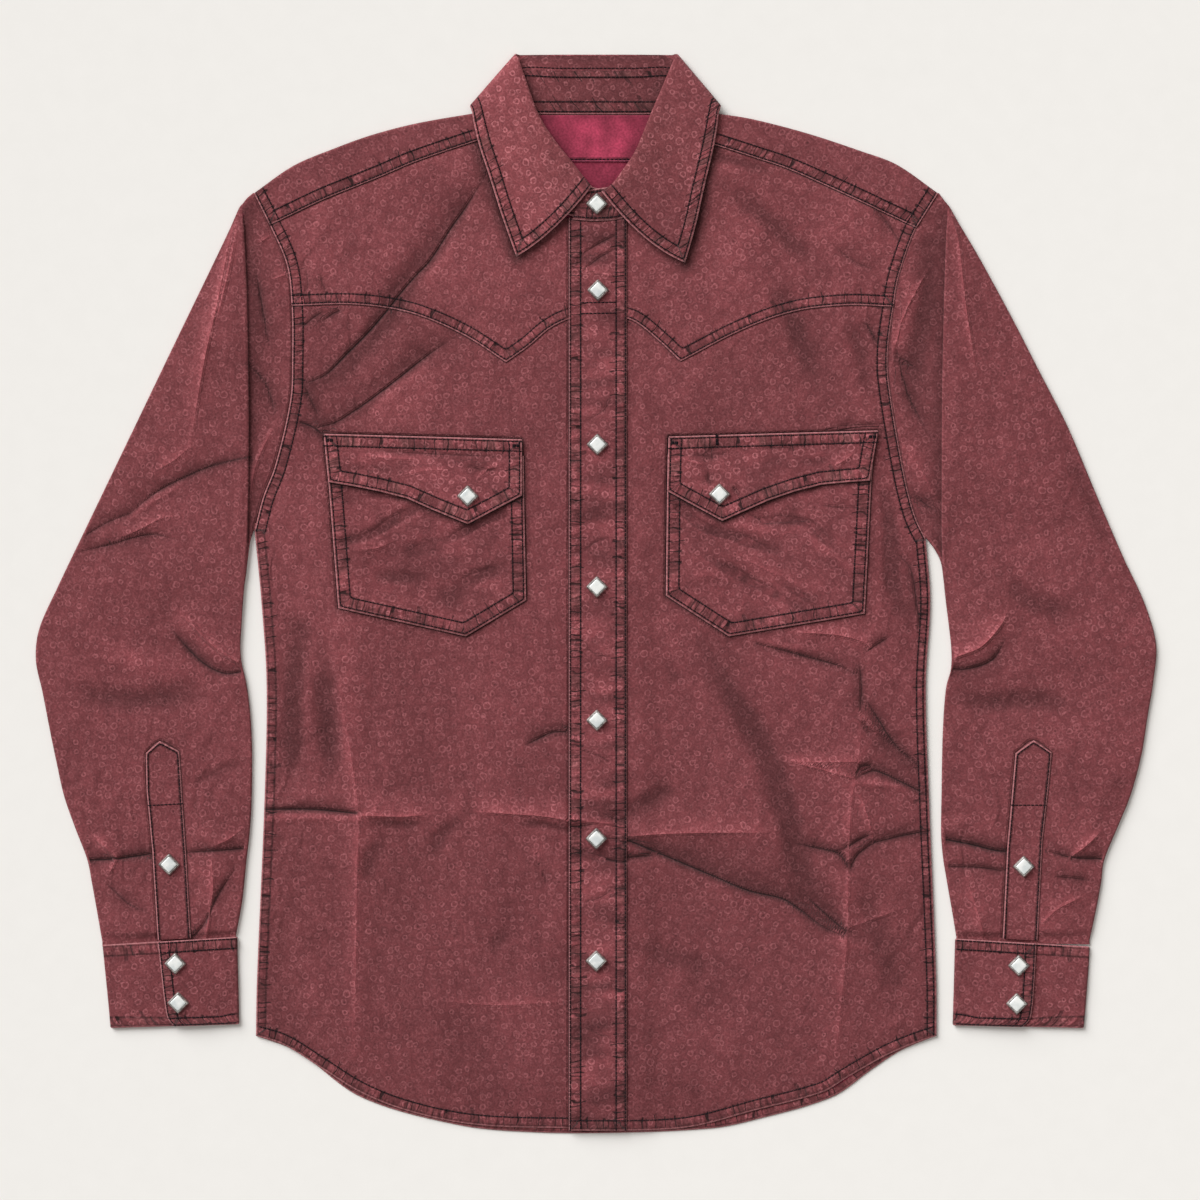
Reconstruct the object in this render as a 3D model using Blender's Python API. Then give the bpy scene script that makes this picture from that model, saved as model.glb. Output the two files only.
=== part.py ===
"""Long-sleeved western snap shirt, closed and laid flat on its back.

The collar points along +Y, the front faces +Z and the back rests on the plane Z = 0. Every table is in
millimetres from the middle of the laid-out shirt; `MM` turns them into metres. "right" and "left" are the
wearer's, so the right side lies at -X and the left front, with the placket, laps over the right one.

Three ways of making a piece cover the whole shirt:
  sheet   a flat-cut piece draped on the layer below it, cut to its outline from one shared lattice, so that
          stacked pieces keep an even gap;
  ribbon  a piece that wraps round (yoke, sleeve, cuff, collar), given by the middle of its wall and thickened;
  snap    a diamond snap cap, a rim and its pearl inlay.
"""

from collections import namedtuple

import bmesh
import bpy
import numpy as np
from mathutils.geometry import delaunay_2d_cdt

MM = 0.001

# Driving dimensions, in millimetres.
CLOTH = 1.1  # wall of the shirting
COLLAR_WALL = 1.3  # collar and cuffs, two plies with interlining
SEAM = 0.3  # distance between pieces at a seam, and between layers
LAYER = CLOTH + SEAM  # height that one more layer adds
AIR = 1.9  # most air between back and front
AIR_REACH = 45.0  # distance from an edge at which that air is reached
PLACKET_EDGE = -21.4  # free edge of the left front, at -X of the centre line
PLACKET_WIDTH = 43.2
UNDERLAP_EDGE = 20.4  # edge of the right front, hidden under the left one
LAP_END = 32.0  # past this X the left front starts to come down from the right one
LAP_RUN = 16.0
LATTICE = 24.0  # spacing of the lattice that draped sheets share
TURN = 1.0  # how far a fold of cloth takes to turn over
YOKE_INSET = 0.6  # the shoulder fold of the yoke starts this far inside the armhole
SNAP_SIDE = 12.0  # side of the square snap cap, worn as a diamond
SNAP_RISE = 3.2
PEARL_SIDE = 9.4

# Colours as linear RGB, with roughness and metallic value.
Finish = namedtuple("Finish", "red green blue roughness metallic")
FINISHES = {
    "shirting": Finish(0.165, 0.048, 0.062, 0.85, 0.0),
    "shirting_inside": Finish(0.42, 0.035, 0.095, 0.80, 0.0),
    "snap_rim": Finish(0.45, 0.43, 0.41, 0.30, 1.0),
    "pearl": Finish(0.80, 0.81, 0.79, 0.25, 0.0),
}

# Edges shared by neighbouring pieces, each side of the shirt in its own place.
SHOULDER_FOLD = {
    "right": [(-257.5, 300.0), (-228.0, 320.5), (-197.4, 333.5), (-169.3, 343.6), (-135.8, 352.3), (-93.0, 359.6)],
    "left": [(255.2, 300.0), (224.2, 321.5), (197.4, 331.6), (157.1, 344.9), (117.1, 355.2), (90.0, 359.6)],
}
SHOULDER_SEAM = {
    "right": [(-245.6, 276.0), (-202.9, 296.0), (-162.6, 312.2), (-135.8, 323.6), (-84.0, 341.0)],
    "left": [(238.9, 274.0), (197.4, 293.4), (143.9, 317.5), (114.0, 327.5), (81.0, 338.0)],
}
ARMHOLE = {
    "right": [(-257.5, 300.0), (-245.6, 276.0), (-232.9, 246.4), (-229.2, 215.6), (-228.8, 175.0), (-230.2, 145.0),
              (-241.6, 95.6), (-250.6, 72.0), (-257.0, 47.0)],
    "left": [(255.2, 300.0), (238.9, 274.0), (226.0, 238.0), (221.9, 214.9), (217.8, 183.0), (218.4, 158.0),
             (229.9, 89.6), (238.0, 58.0), (246.0, 41.0)],
}
YOKE_SEAM = {
    "right": [(-229.2, 215.6), (-182.9, 216.4), (-142.9, 210.9), (-102.6, 194.8), (-68.4, 173.1)],
    "left": [(221.9, 214.9), (187.8, 215.9), (147.6, 211.3), (107.4, 196.9), (62.2, 173.7)],
}
YOKE_CENTRE = {  # the hump of the yoke seam between its two points
    "right": [(-68.4, 173.1), (-50.6, 185.8), (-36.4, 197.9), (-21.4, 205.3), (0.0, 208.9), (UNDERLAP_EDGE, 205.6)],
    "left": [(62.2, 173.7), (45.2, 189.8), (27.1, 203.9), (13.0, 207.4), (0.0, 208.9), (PLACKET_EDGE, 205.3)],
}
SIDE_SEAM = {
    "right": [(-257.0, 47.0), (-252.0, -4.9), (-248.0, -67.1), (-249.4, -150.0), (-255.2, -289.1), (-256.0, -331.6)],
    "left": [(246.0, 41.0), (249.5, -4.9), (246.2, -69.4), (248.8, -159.8), (254.0, -289.0), (254.2, -331.6)],
}
FRONT_HEM = {
    "right": [(-256.0, -331.6), (-235.4, -338.2), (-204.5, -357.4), (-180.9, -372.2), (-151.9, -384.8),
              (-113.6, -394.9), (-77.2, -399.4), (-21.0, -400.8), (UNDERLAP_EDGE, -401.4)],
    "left": [(254.2, -331.6), (232.1, -339.4), (214.1, -347.6), (186.8, -363.1), (168.7, -373.9), (114.1, -388.5),
             (77.6, -398.4), (50.5, -401.8), (0.0, -402.4), (PLACKET_EDGE, -402.0)],
}
BACK_HEM = [(-256.0, -331.6), (-224.6, -343.9), (-177.4, -377.6), (-104.6, -398.5), (-50.0, -403.9), (15.4, -404.4),
            (85.1, -401.1), (114.1, -395.6), (175.9, -377.6), (205.0, -357.4), (226.9, -343.0), (254.2, -331.6)]
FRONT_NECK = {
    "right": [(-84.0, 341.0), (-60.5, 320.5), (-43.5, 296.0), (-24.5, 281.0), (0.0, 278.0), (UNDERLAP_EDGE, 278.5)],
    "left": [(81.0, 338.0), (59.5, 319.5), (42.0, 295.5), (24.5, 281.0), (0.0, 278.0), (PLACKET_EDGE, 278.5)],
}
NECK_SEAM_Y = 358.6  # back neck seam
COLLAR_PAD_START = 285.0  # the back starts to rise here over the collar fall folded beneath it
COLLAR_PAD_FULL = 316.0
COLLAR_PAD_HALF_WIDTH = 98.0

POCKET = {
    "right": [(-202.6, 105.0), (-201.4, 83.3), (-194.0, -11.1), (-98.6, -32.2), (-53.3, -5.1), (-54.8, 72.4),
              (-55.2, 103.0)],
    "left": [(207.0, 107.0), (205.4, 86.3), (200.2, -15.2), (98.4, -32.2), (51.2, -1.7), (52.1, 76.6),
             (52.6, 104.0)],
}
FLAP = {
    "right": [(-205.1, 119.6), (-201.4, 83.3), (-182.9, 80.3), (-163.1, 76.3), (-142.9, 71.2), (-122.6, 62.2),
              (-97.1, 51.8), (-56.4, 73.3), (-56.4, 115.4)],
    "left": [(210.3, 122.1), (203.8, 84.4), (187.8, 83.3), (167.6, 81.4), (147.6, 76.3), (127.5, 69.4),
             (93.4, 54.2), (52.1, 76.6), (53.2, 117.5)],
}
SLEEVE_PLACKET = {
    "right": [(-327.8, -110.5), (-338.2, -119.6), (-337.6, -148.1), (-333.4, -192.4), (-329.2, -259.6),
              (-304.4, -258.0), (-307.5, -202.1), (-311.3, -147.1), (-313.1, -118.3)],
    "left": [(326.6, -109.9), (340.3, -119.1), (337.6, -147.1), (333.3, -185.3), (329.6, -260.0), (303.6, -258.6),
             (307.0, -190.1), (310.6, -147.1), (313.0, -119.6)],
}
NECK_FACING = [(-62.0, NECK_SEAM_Y - 0.2), (-60.0, 336.0), (-54.0, 323.5), (54.0, 323.5), (60.0, 336.0),
               (62.0, NECK_SEAM_Y - 0.2)]

# The largest folds of the front: a line, half the width of the swell on it, and its height (negative: a trough).
Fold = namedtuple("Fold", "name line half_width height")
FRONT_FOLDS = [
    Fold("chest_drag_right", [(-103.0, 272.0), (-152.0, 220.0), (-216.0, 149.0)], 24.0, -1.0),
    Fold("chest_roll_right", [(-128.0, 280.0), (-175.0, 228.0)], 26.0, 0.7),
    Fold("pocket_drag_right", [(-102.0, 197.0), (-153.0, 152.0), (-203.0, 126.0)], 22.0, -0.8),
    Fold("chest_drag_left", [(127.0, 253.0), (158.0, 219.0), (176.0, 150.0)], 22.0, -0.8),
    Fold("waist_crease_right", [(-249.0, -160.0), (-163.0, -163.0), (-26.0, -169.0)], 20.0, 0.9),
    Fold("press_line_right", [(-197.0, -31.0), (-179.0, -162.0), (-180.0, -346.0)], 20.0, 0.7),
    Fold("placket_drag_left", [(24.0, -186.0), (90.0, -211.0), (147.0, -232.0), (187.0, -259.0)], 22.0, 1.0),
    Fold("waist_crease_left", [(24.0, -182.0), (134.0, -178.0)], 20.0, 0.7),
    Fold("press_line_left", [(200.0, -60.0), (190.0, -130.0), (187.0, -201.0), (176.0, -351.0)], 20.0, 0.8),
    Fold("side_roll_left", [(90.0, -44.0), (131.0, -121.0), (168.0, -237.0)], 26.0, -0.9),
]
SLEEVE_FOLDS = [
    Fold("forearm_crease_right", [(-386.0, -199.0), (-352.0, -201.0)], 26.0, 0.8),
    Fold("forearm_crease_right_inner", [(-292.0, -198.0), (-264.0, -196.0)], 26.0, 0.7),
    Fold("elbow_drag_right", [(-398.0, 24.0), (-330.0, 62.0), (-270.0, 86.0)], 28.0, -0.8),
    Fold("elbow_roll_right", [(-404.0, -22.0), (-330.0, 14.0)], 30.0, 0.9),
    Fold("forearm_crease_left", [(384.0, -199.0), (352.0, -203.0)], 26.0, 0.8),
    Fold("forearm_crease_left_inner", [(292.0, -192.0), (262.0, -188.0)], 26.0, 0.7),
    Fold("elbow_drag_left", [(396.0, 20.0), (330.0, 50.0), (268.0, 44.0)], 28.0, -0.8),
    Fold("elbow_roll_left", [(404.0, -24.0), (330.0, 6.0)], 30.0, 0.9),
]

# A sleeve is a tube of rings that fan out from the armhole to the cuff. Each ring runs from the outer fold to the
# underarm fold; `bow` blends it towards the armhole curve, and `lift` raises the middle of its upper layer.
Ring = namedtuple("Ring", "outer_x outer_y inner_x inner_y bow lift")
SLEEVE_RINGS = {
    "right": [
        Ring(-258.2, 300.2, -257.8, 47.0, 1.00, 0.1),
        Ring(-262.5, 296.5, -260.4, 38.0, 0.55, 0.0),
        Ring(-265.6, 292.6, -262.0, 26.0, 0.10, 0.0),
        Ring(-268.6, 289.0, -263.4, 14.0, 0.04, 2.6),
        Ring(-275.2, 274.0, -264.6, 6.0, 0.02, 2.4),
        Ring(-290.0, 243.0, -265.8, -8.0, 0.0, 1.4),
        Ring(-314.0, 193.5, -266.8, -24.0, 0.0, 0.8),
        Ring(-338.0, 143.5, -267.6, -40.0, 0.0, 0.6),
        Ring(-362.0, 93.6, -266.6, -52.0, 0.0, 0.6),
        Ring(-386.0, 43.7, -263.4, -66.0, 0.0, 0.6),
        Ring(-405.0, 4.0, -261.0, -82.0, 0.0, 0.6),
        Ring(-418.6, -27.0, -259.6, -98.0, 0.0, 0.6),
        Ring(-421.0, -50.0, -258.9, -114.0, 0.0, 0.6),
        Ring(-416.0, -74.0, -258.8, -130.0, 0.0, 0.6),
        Ring(-410.2, -103.9, -259.0, -148.0, 0.0, 0.6),
        Ring(-405.2, -128.0, -259.6, -166.0, 0.0, 0.6),
        Ring(-399.8, -152.0, -261.0, -183.0, 0.0, 0.6),
        Ring(-391.4, -176.0, -262.8, -198.0, 0.0, 0.6),
        Ring(-382.4, -199.7, -264.4, -214.0, 0.0, 0.6),
        Ring(-378.8, -218.0, -266.0, -229.0, 0.0, 0.6),
        Ring(-375.0, -239.0, -268.4, -243.0, 0.0, 0.6),
        Ring(-371.2, -261.0, -271.0, -256.8, 0.0, 0.6),
    ],
    "left": [
        Ring(256.0, 300.2, 246.8, 41.0, 1.00, 0.1),
        Ring(258.5, 296.5, 252.0, 34.0, 0.55, 0.0),
        Ring(261.6, 292.6, 257.2, 24.0, 0.10, 0.0),
        Ring(264.4, 289.0, 259.4, 10.0, 0.04, 2.6),
        Ring(270.6, 278.0, 260.2, 2.0, 0.02, 2.4),
        Ring(286.0, 252.0, 261.6, -10.0, 0.0, 1.4),
        Ring(311.0, 206.0, 263.6, -26.0, 0.0, 0.8),
        Ring(332.0, 165.0, 265.2, -42.0, 0.0, 0.6),
        Ring(352.0, 126.0, 265.0, -56.0, 0.0, 0.6),
        Ring(374.0, 74.0, 261.4, -70.0, 0.0, 0.6),
        Ring(394.0, 27.5, 259.8, -86.0, 0.0, 0.6),
        Ring(410.0, -7.0, 258.9, -102.0, 0.0, 0.6),
        Ring(418.8, -38.0, 258.4, -118.0, 0.0, 0.6),
        Ring(417.0, -64.0, 258.1, -134.0, 0.0, 0.6),
        Ring(412.0, -95.0, 257.9, -150.0, 0.0, 0.6),
        Ring(407.6, -122.0, 257.6, -166.0, 0.0, 0.6),
        Ring(399.4, -152.0, 257.6, -182.0, 0.0, 0.6),
        Ring(389.6, -176.0, 259.0, -198.0, 0.0, 0.6),
        Ring(380.0, -199.7, 261.4, -213.0, 0.0, 0.6),
        Ring(377.4, -218.0, 264.0, -228.0, 0.0, 0.6),
        Ring(373.4, -239.0, 266.6, -243.0, 0.0, 0.6),
        Ring(369.0, -259.5, 269.0, -257.8, 0.0, 0.6),
    ],
}
SLEEVE_EDGE_MID = 2.7  # middle of the upper wall's height next to a fold

# A cuff is a band round the wrist; each station is one line across it, from the sleeve seam to the free edge.
CuffLine = namedtuple("CuffLine", "left_x left_y right_x right_y lap_x")
CUFF = {
    "right": [
        CuffLine(-370.4, -263.3, -270.4, -257.3, -329.4),
        CuffLine(-369.0, -277.0, -270.2, -273.0, -327.8),
        CuffLine(-367.4, -293.0, -269.8, -290.0, -326.0),
        CuffLine(-365.8, -309.0, -269.4, -306.5, -324.0),
        CuffLine(-364.9, -319.5, -269.2, -317.0, -321.8),
        CuffLine(-364.4, -325.7, -269.1, -322.8, -317.0),
    ],
    "left": [
        CuffLine(268.7, -258.6, 368.5, -264.6, 328.6),
        CuffLine(268.2, -275.0, 367.6, -280.0, 328.0),
        CuffLine(267.8, -291.0, 366.4, -296.0, 327.0),
        CuffLine(267.3, -307.0, 365.2, -311.0, 325.8),
        CuffLine(267.0, -318.0, 364.4, -320.5, 323.6),
        CuffLine(266.8, -323.6, 363.9, -325.7, 318.0),
    ],
}
CUFF_UNDERLAP = 17.0  # how far the cuff's other end reaches under the lap

# Collar stand: neck seam to upper edge, from the end that laps on top, round +X, the back and -X, to the end below.
StandLine = namedtuple("StandLine", "seam_x seam_y top_x top_y mid")
COLLAR_STAND = [
    StandLine(-18.6, 279.8, -13.5, 301.0, 7.3),
    StandLine(0.0, 278.6, 0.0, 303.0, 7.3),
    StandLine(20.5, 281.6, 12.5, 306.0, 7.1),
    StandLine(38.6, 297.4, 20.5, 318.0, 6.5),
    StandLine(57.6, 321.6, 31.5, 336.0, 5.8),
    StandLine(69.0, 341.0, 42.5, 360.0, 5.6),
    StandLine(75.0, 353.0, 51.5, 384.0, 5.4),
    StandLine(76.5, 361.0, 57.0, 396.0, 3.9),
    StandLine(67.0, 359.9, 51.0, 402.6, 2.5),
    StandLine(36.0, 359.3, 28.0, 402.8, 2.4),
    StandLine(0.0, 359.2, 0.0, 402.9, 2.4),
    StandLine(-36.0, 359.3, -29.0, 402.8, 2.4),
    StandLine(-69.0, 359.9, -53.0, 402.6, 2.5),
    StandLine(-78.5, 361.0, -59.0, 396.0, 3.9),
    StandLine(-77.0, 353.0, -53.5, 384.0, 5.3),
    StandLine(-71.0, 341.0, -45.0, 359.0, 5.3),
    StandLine(-58.6, 321.8, -33.5, 339.0, 5.3),
    StandLine(-40.6, 297.8, -20.5, 320.0, 5.4),
    StandLine(-22.0, 283.4, -9.5, 307.0, 5.8),
    StandLine(12.0, 280.0, 9.0, 301.0, 5.8),
]

# Collar fall: fold edge to cut edge, from the right point round the back to the left point, with the wall's middle.
FallLine = namedtuple("FallLine", "fold_x fold_y cut_x cut_y fold_mid cut_mid bow")
COLLAR_FALL = [
    FallLine(-4.2, 304.4, -60.8, 252.1, 10.2, 5.9, -5.0),
    FallLine(-10.2, 311.6, -65.6, 265.6, 10.0, 6.2, -4.0),
    FallLine(-18.6, 322.5, -72.4, 285.0, 9.7, 6.9, -2.0),
    FallLine(-32.6, 340.1, -81.4, 313.4, 9.4, 7.4, 0.0),
    FallLine(-43.9, 358.5, -88.4, 334.6, 9.0, 7.6, 0.0),
    FallLine(-52.6, 381.5, -92.6, 352.0, 8.4, 7.6, 0.0),
    FallLine(-58.4, 398.5, -94.0, 361.0, 7.2, 6.9, 0.0),
    FallLine(-61.2, 403.9, -95.4, 364.8, 4.3, 4.2, 0.0),
    FallLine(-58.4, 403.7, -91.0, 360.4, 1.0, 1.0, 0.0),
    FallLine(-50.0, 403.8, -79.0, 350.4, 0.66, 0.66, 0.0),
    FallLine(-25.0, 404.0, -40.0, 345.0, 0.66, 0.66, 0.0),
    FallLine(0.0, 404.0, 0.0, 343.0, 0.66, 0.66, 0.0),
    FallLine(25.0, 404.0, 40.0, 345.0, 0.66, 0.66, 0.0),
    FallLine(50.0, 403.8, 77.0, 350.4, 0.66, 0.66, 0.0),
    FallLine(56.0, 403.7, 87.6, 360.4, 1.0, 1.0, 0.0),
    FallLine(59.4, 403.9, 92.4, 364.8, 4.3, 4.2, 0.0),
    FallLine(57.0, 399.5, 91.0, 361.0, 7.2, 6.9, 0.0),
    FallLine(49.4, 381.5, 89.6, 350.0, 8.4, 7.6, 0.0),
    FallLine(40.1, 360.0, 86.4, 331.0, 9.0, 7.6, 0.0),
    FallLine(28.4, 331.6, 79.1, 300.4, 9.5, 7.3, 0.0),
    FallLine(18.6, 316.6, 74.0, 277.0, 9.8, 6.7, -2.0),
    FallLine(11.0, 306.6, 69.4, 260.0, 10.1, 6.1, -4.5),
    FallLine(3.0, 300.6, 65.6, 247.5, 10.3, 5.9, -7.0),
]
FALL_SHARES = (0.0, 0.3, 0.6, 1.0)

# Snap caps: node name, centre, and the layer that carries each.
Snap = namedtuple("Snap", "name x y on")
SNAPS = [
    Snap("collar", -0.4, 291.4, "stand"),
    Snap("placket_1", 0.4, 226.9, "placket"),
    Snap("placket_2", 0.0, 111.4, "placket"),
    Snap("placket_3", -0.4, 4.9, "placket"),
    Snap("placket_4", -0.4, -94.9, "placket"),
    Snap("placket_5", -0.8, -183.4, "placket"),
    Snap("placket_6", -0.8, -274.9, "placket"),
    Snap("flap_right", -97.0, 72.8, "flap_right"),
    Snap("flap_left", 91.3, 74.2, "flap_left"),
    Snap("sleeve_right", -320.6, -202.9, "sleeve_placket"),
    Snap("sleeve_left", 319.1, -204.4, "sleeve_placket"),
    Snap("cuff_right_upper", -316.1, -277.1, "cuff"),
    Snap("cuff_right_lower", -313.9, -306.4, "cuff"),
    Snap("cuff_left_upper", 315.4, -278.6, "cuff"),
    Snap("cuff_left_lower", 313.9, -307.1, "cuff"),
]


def clear_scene():
    """Removes the objects that the file opened with."""
    for obj in list(bpy.data.objects):
        bpy.data.objects.remove(obj, do_unlink=True)


def material(slot):
    """The material of a finish, made once."""
    made = bpy.data.materials.get(slot)
    if made is None:
        finish = FINISHES[slot]
        made = bpy.data.materials.new(slot)
        made.use_nodes = True
        shader = made.node_tree.nodes["Principled BSDF"]
        shader.inputs["Base Color"].default_value = (finish.red, finish.green, finish.blue, 1.0)
        shader.inputs["Roughness"].default_value = finish.roughness
        shader.inputs["Metallic"].default_value = finish.metallic
    return made


def add_object(name, points, faces, slot):
    """A mesh object from points in millimetres."""
    mesh = bpy.data.meshes.new(name)
    mesh.from_pydata([tuple(float(value) * MM for value in point) for point in points], [], faces)
    mesh.materials.append(material(slot))
    mesh.validate()
    obj = bpy.data.objects.new(name, mesh)
    bpy.context.scene.collection.objects.link(obj)
    return obj


def shade_smooth(obj, angle=0.7):
    """Smooth shading, with edges sharper than the angle left sharp."""
    obj.data.shade_smooth()
    obj.data.set_sharp_from_angle(angle=angle)


# Curves and surfaces.


def smooth(share):
    """0 below 0, 1 above 1, and an even S between them."""
    share = np.clip(share, 0.0, 1.0)
    return share * share * (3.0 - 2.0 * share)


def curve(points, step=26.0):
    """A Catmull-Rom curve through the points, with a point about every `step` millimetres."""
    knots = np.array(points, float)
    padded = np.vstack([2 * knots[0] - knots[1], knots, 2 * knots[-1] - knots[-2]])
    out = []
    for p0, p1, p2, p3 in zip(padded, padded[1:], padded[2:], padded[3:]):
        count = max(1, round(float(np.linalg.norm(p2 - p1)) / step))
        for t in np.arange(count) / count:
            out.append(0.5 * (2 * p1 + (p2 - p0) * t + (2 * p0 - 5 * p1 + 4 * p2 - p3) * t**2
                              + (3 * p1 - p0 - 3 * p2 + p3) * t**3))
    return np.vstack([out, knots[-1]])


def resampled(line, shares):
    """Points of a line at the given shares of its length."""
    line = np.asarray(line, float)
    along = np.concatenate([[0.0], np.cumsum(np.linalg.norm(np.diff(line, axis=0), axis=1))])
    return np.stack([np.interp(np.asarray(shares) * along[-1], along, line[:, axis]) for axis in (0, 1)], axis=1)


def part_of(line, start, end):
    """The stretch of a line from the point nearest to `start` to the one nearest to `end`."""
    line = np.asarray(line, float)
    first = int(np.linalg.norm(line - start, axis=1).argmin())
    last = int(np.linalg.norm(line - end, axis=1).argmin())
    return line[first : last + 1] if first <= last else line[last : first + 1][::-1]


def distance_to_line(x, y, line):
    """Distance from each point to a line of straight stretches."""
    best = np.full(np.shape(x), np.inf)
    for (x0, y0), (x1, y1) in zip(line, line[1:]):
        dx, dy = x1 - x0, y1 - y0
        along = np.clip(((x - x0) * dx + (y - y0) * dy) / (dx * dx + dy * dy), 0.0, 1.0)
        best = np.minimum(best, np.hypot(x - x0 - along * dx, y - y0 - along * dy))
    return best


def fold_relief(x, y, folds):
    """Height that the folds add: a round swell of each fold's half width, along its line."""
    total = np.zeros(np.shape(x))
    for fold in folds:
        off = np.clip(distance_to_line(x, y, fold.line) / fold.half_width, 0.0, 1.0)
        total = total + fold.height * np.cos(off * np.pi / 2) ** 2
    return total


def collar_pad(x, y):
    """How far the back of the shirt is raised by the collar fall that lies folded beneath it."""
    along = smooth((y - COLLAR_PAD_START) / (COLLAR_PAD_FULL - COLLAR_PAD_START))
    across = 1.0 - smooth((np.abs(x) - COLLAR_PAD_HALF_WIDTH) / 40.0)
    return (COLLAR_WALL + SEAM) * along * across


def front_height(x, y):
    """Height of the front's underside: back, gap, air that swells away from the edges, pad and folds."""
    outline = [side for key in ("right", "left") for side in (SIDE_SEAM[key], ARMHOLE[key], SHOULDER_FOLD[key])]
    edge = np.minimum.reduce([distance_to_line(x, y, line) for line in [*outline, BACK_HEM]])
    air = AIR * smooth(edge / AIR_REACH)
    relief = fold_relief(x, y, FRONT_FOLDS) * smooth(edge / 30.0)
    return CLOTH + SEAM + np.maximum(air + relief, 0.0) + collar_pad(x, y)


def lapped_height(x, y):
    """Height of the left front's underside, one layer up where it laps over the right front."""
    return front_height(x, y) + LAYER * (1.0 - smooth((x - LAP_END) / LAP_RUN))


class Lattice:
    """A cloth surface sampled at the nodes of one square lattice and flat on each of its triangles.

    Every sheet cut from it has the lattice's lines as edges, so sheets laid on each other stay parallel.
    """

    def __init__(self, height):
        self.xs = np.arange(-12, 13) * LATTICE
        self.ys = np.arange(-18, 19) * LATTICE
        grid_x, grid_y = np.meshgrid(self.xs, self.ys, indexing="ij")
        self.nodes = height(grid_x, grid_y)

    def at(self, x, y):
        """Height at any point, from the triangle of the lattice that it lies in."""
        across = np.clip((x - self.xs[0]) / LATTICE, 0, len(self.xs) - 1.001)
        up = np.clip((y - self.ys[0]) / LATTICE, 0, len(self.ys) - 1.001)
        i, j = np.floor(across).astype(int), np.floor(up).astype(int)
        a, b = across - i, up - j
        low, high = self.nodes[i, j], self.nodes[i + 1, j + 1]
        beside, above = self.nodes[i + 1, j], self.nodes[i, j + 1]
        return np.where(a >= b, low + a * (beside - low) + b * (high - beside),
                        low + b * (above - low) + a * (high - above))

    def edges_near(self, outline):
        """The lattice's nodes and edges round an outline, for cutting a sheet."""
        low = np.floor((outline.min(axis=0) - [self.xs[0], self.ys[0]]) / LATTICE).astype(int)
        high = np.ceil((outline.max(axis=0) - [self.xs[0], self.ys[0]]) / LATTICE).astype(int)
        columns, rows = range(low[0], high[0] + 1), range(low[1], high[1] + 1)
        index = {(i, j): n for n, (i, j) in enumerate((i, j) for i in columns for j in rows)}
        points = [(self.xs[0] + i * LATTICE, self.ys[0] + j * LATTICE) for i, j in index]
        edges = [(n, index[(i + di, j + dj)]) for (i, j), n in index.items()
                 for di, dj in ((1, 0), (0, 1), (1, 1)) if (i + di, j + dj) in index]
        return points, edges


class InnerPoints:
    """Points spread inside an outline where the collar pad rises, clear of its edge, with no lines between them."""

    def edges_near(self, outline):
        """The points of a lattice that lie inside, above the start of the pad."""
        grid = np.stack(np.meshgrid(np.arange(-10, 11) * 24.0, np.arange(260.0, 360.0, 18.0)), axis=-1).reshape(-1, 2)
        clear = distance_to_line(grid[:, 0], grid[:, 1], [*outline, outline[0]]) > 7.0
        return [tuple(point) for point in grid[within(grid, outline) & clear]], []


class Plane:
    """A level surface, for sheets that need no lattice."""

    def __init__(self, height):
        self.height = height

    def at(self, x, y):
        """The same height everywhere."""
        return np.full(np.shape(x), self.height)

    def edges_near(self, outline):
        """No inner points."""
        return [], []


# Pieces.


def without_repeats(outline):
    """The outline without points closer than 0.6 mm, turning anticlockwise."""
    kept = [outline[0]]
    for point in outline[1:]:
        if np.linalg.norm(point - kept[-1]) > 0.6:
            kept.append(point)
    if np.linalg.norm(kept[0] - kept[-1]) < 0.6:
        kept.pop()
    kept = np.array(kept)
    x, y = kept[:, 0], kept[:, 1]
    area = np.sum(x * np.roll(y, -1) - y * np.roll(x, -1))
    return kept if area > 0 else kept[::-1]


def within(points, outline):
    """Which points lie inside an outline: those with an odd number of its edges to their right."""
    x, y = points[:, :1], points[:, 1:]
    (x0, y0), (x1, y1) = outline.T, np.roll(outline, -1, axis=0).T
    rise = np.where(y1 == y0, 1e-9, y1 - y0)
    crossed = ((y0 > y) != (y1 > y)) & (x < x0 + (y - y0) / rise * (x1 - x0))
    return crossed.sum(axis=1) % 2 == 1


def flat_cut(outline, surface):
    """Points and triangles of a piece laid out flat, with the surface's own lines as edges inside the outline."""
    outline = without_repeats(np.vstack(outline))
    nodes, edges = surface.edges_near(outline)
    start = len(nodes)
    points = [*nodes, *map(tuple, outline)]
    border = list(range(start, len(points)))
    rim = list(zip(border, border[1:] + border[:1]))
    flat, _, triangles, _, _, _ = delaunay_2d_cdt(points, edges + rim, [], 0, 0.01, False)
    spot = np.array([corner[:2] for corner in flat])
    corners = np.array(triangles)
    kept = within(spot[corners].mean(axis=1), outline)
    inside = [tuple(face) for face in corners[kept].tolist()]
    used = sorted({corner for face in inside for corner in face})
    number = {corner: n for n, corner in enumerate(used)}
    return spot[used], [tuple(number[corner] for corner in face) for face in inside]


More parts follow.
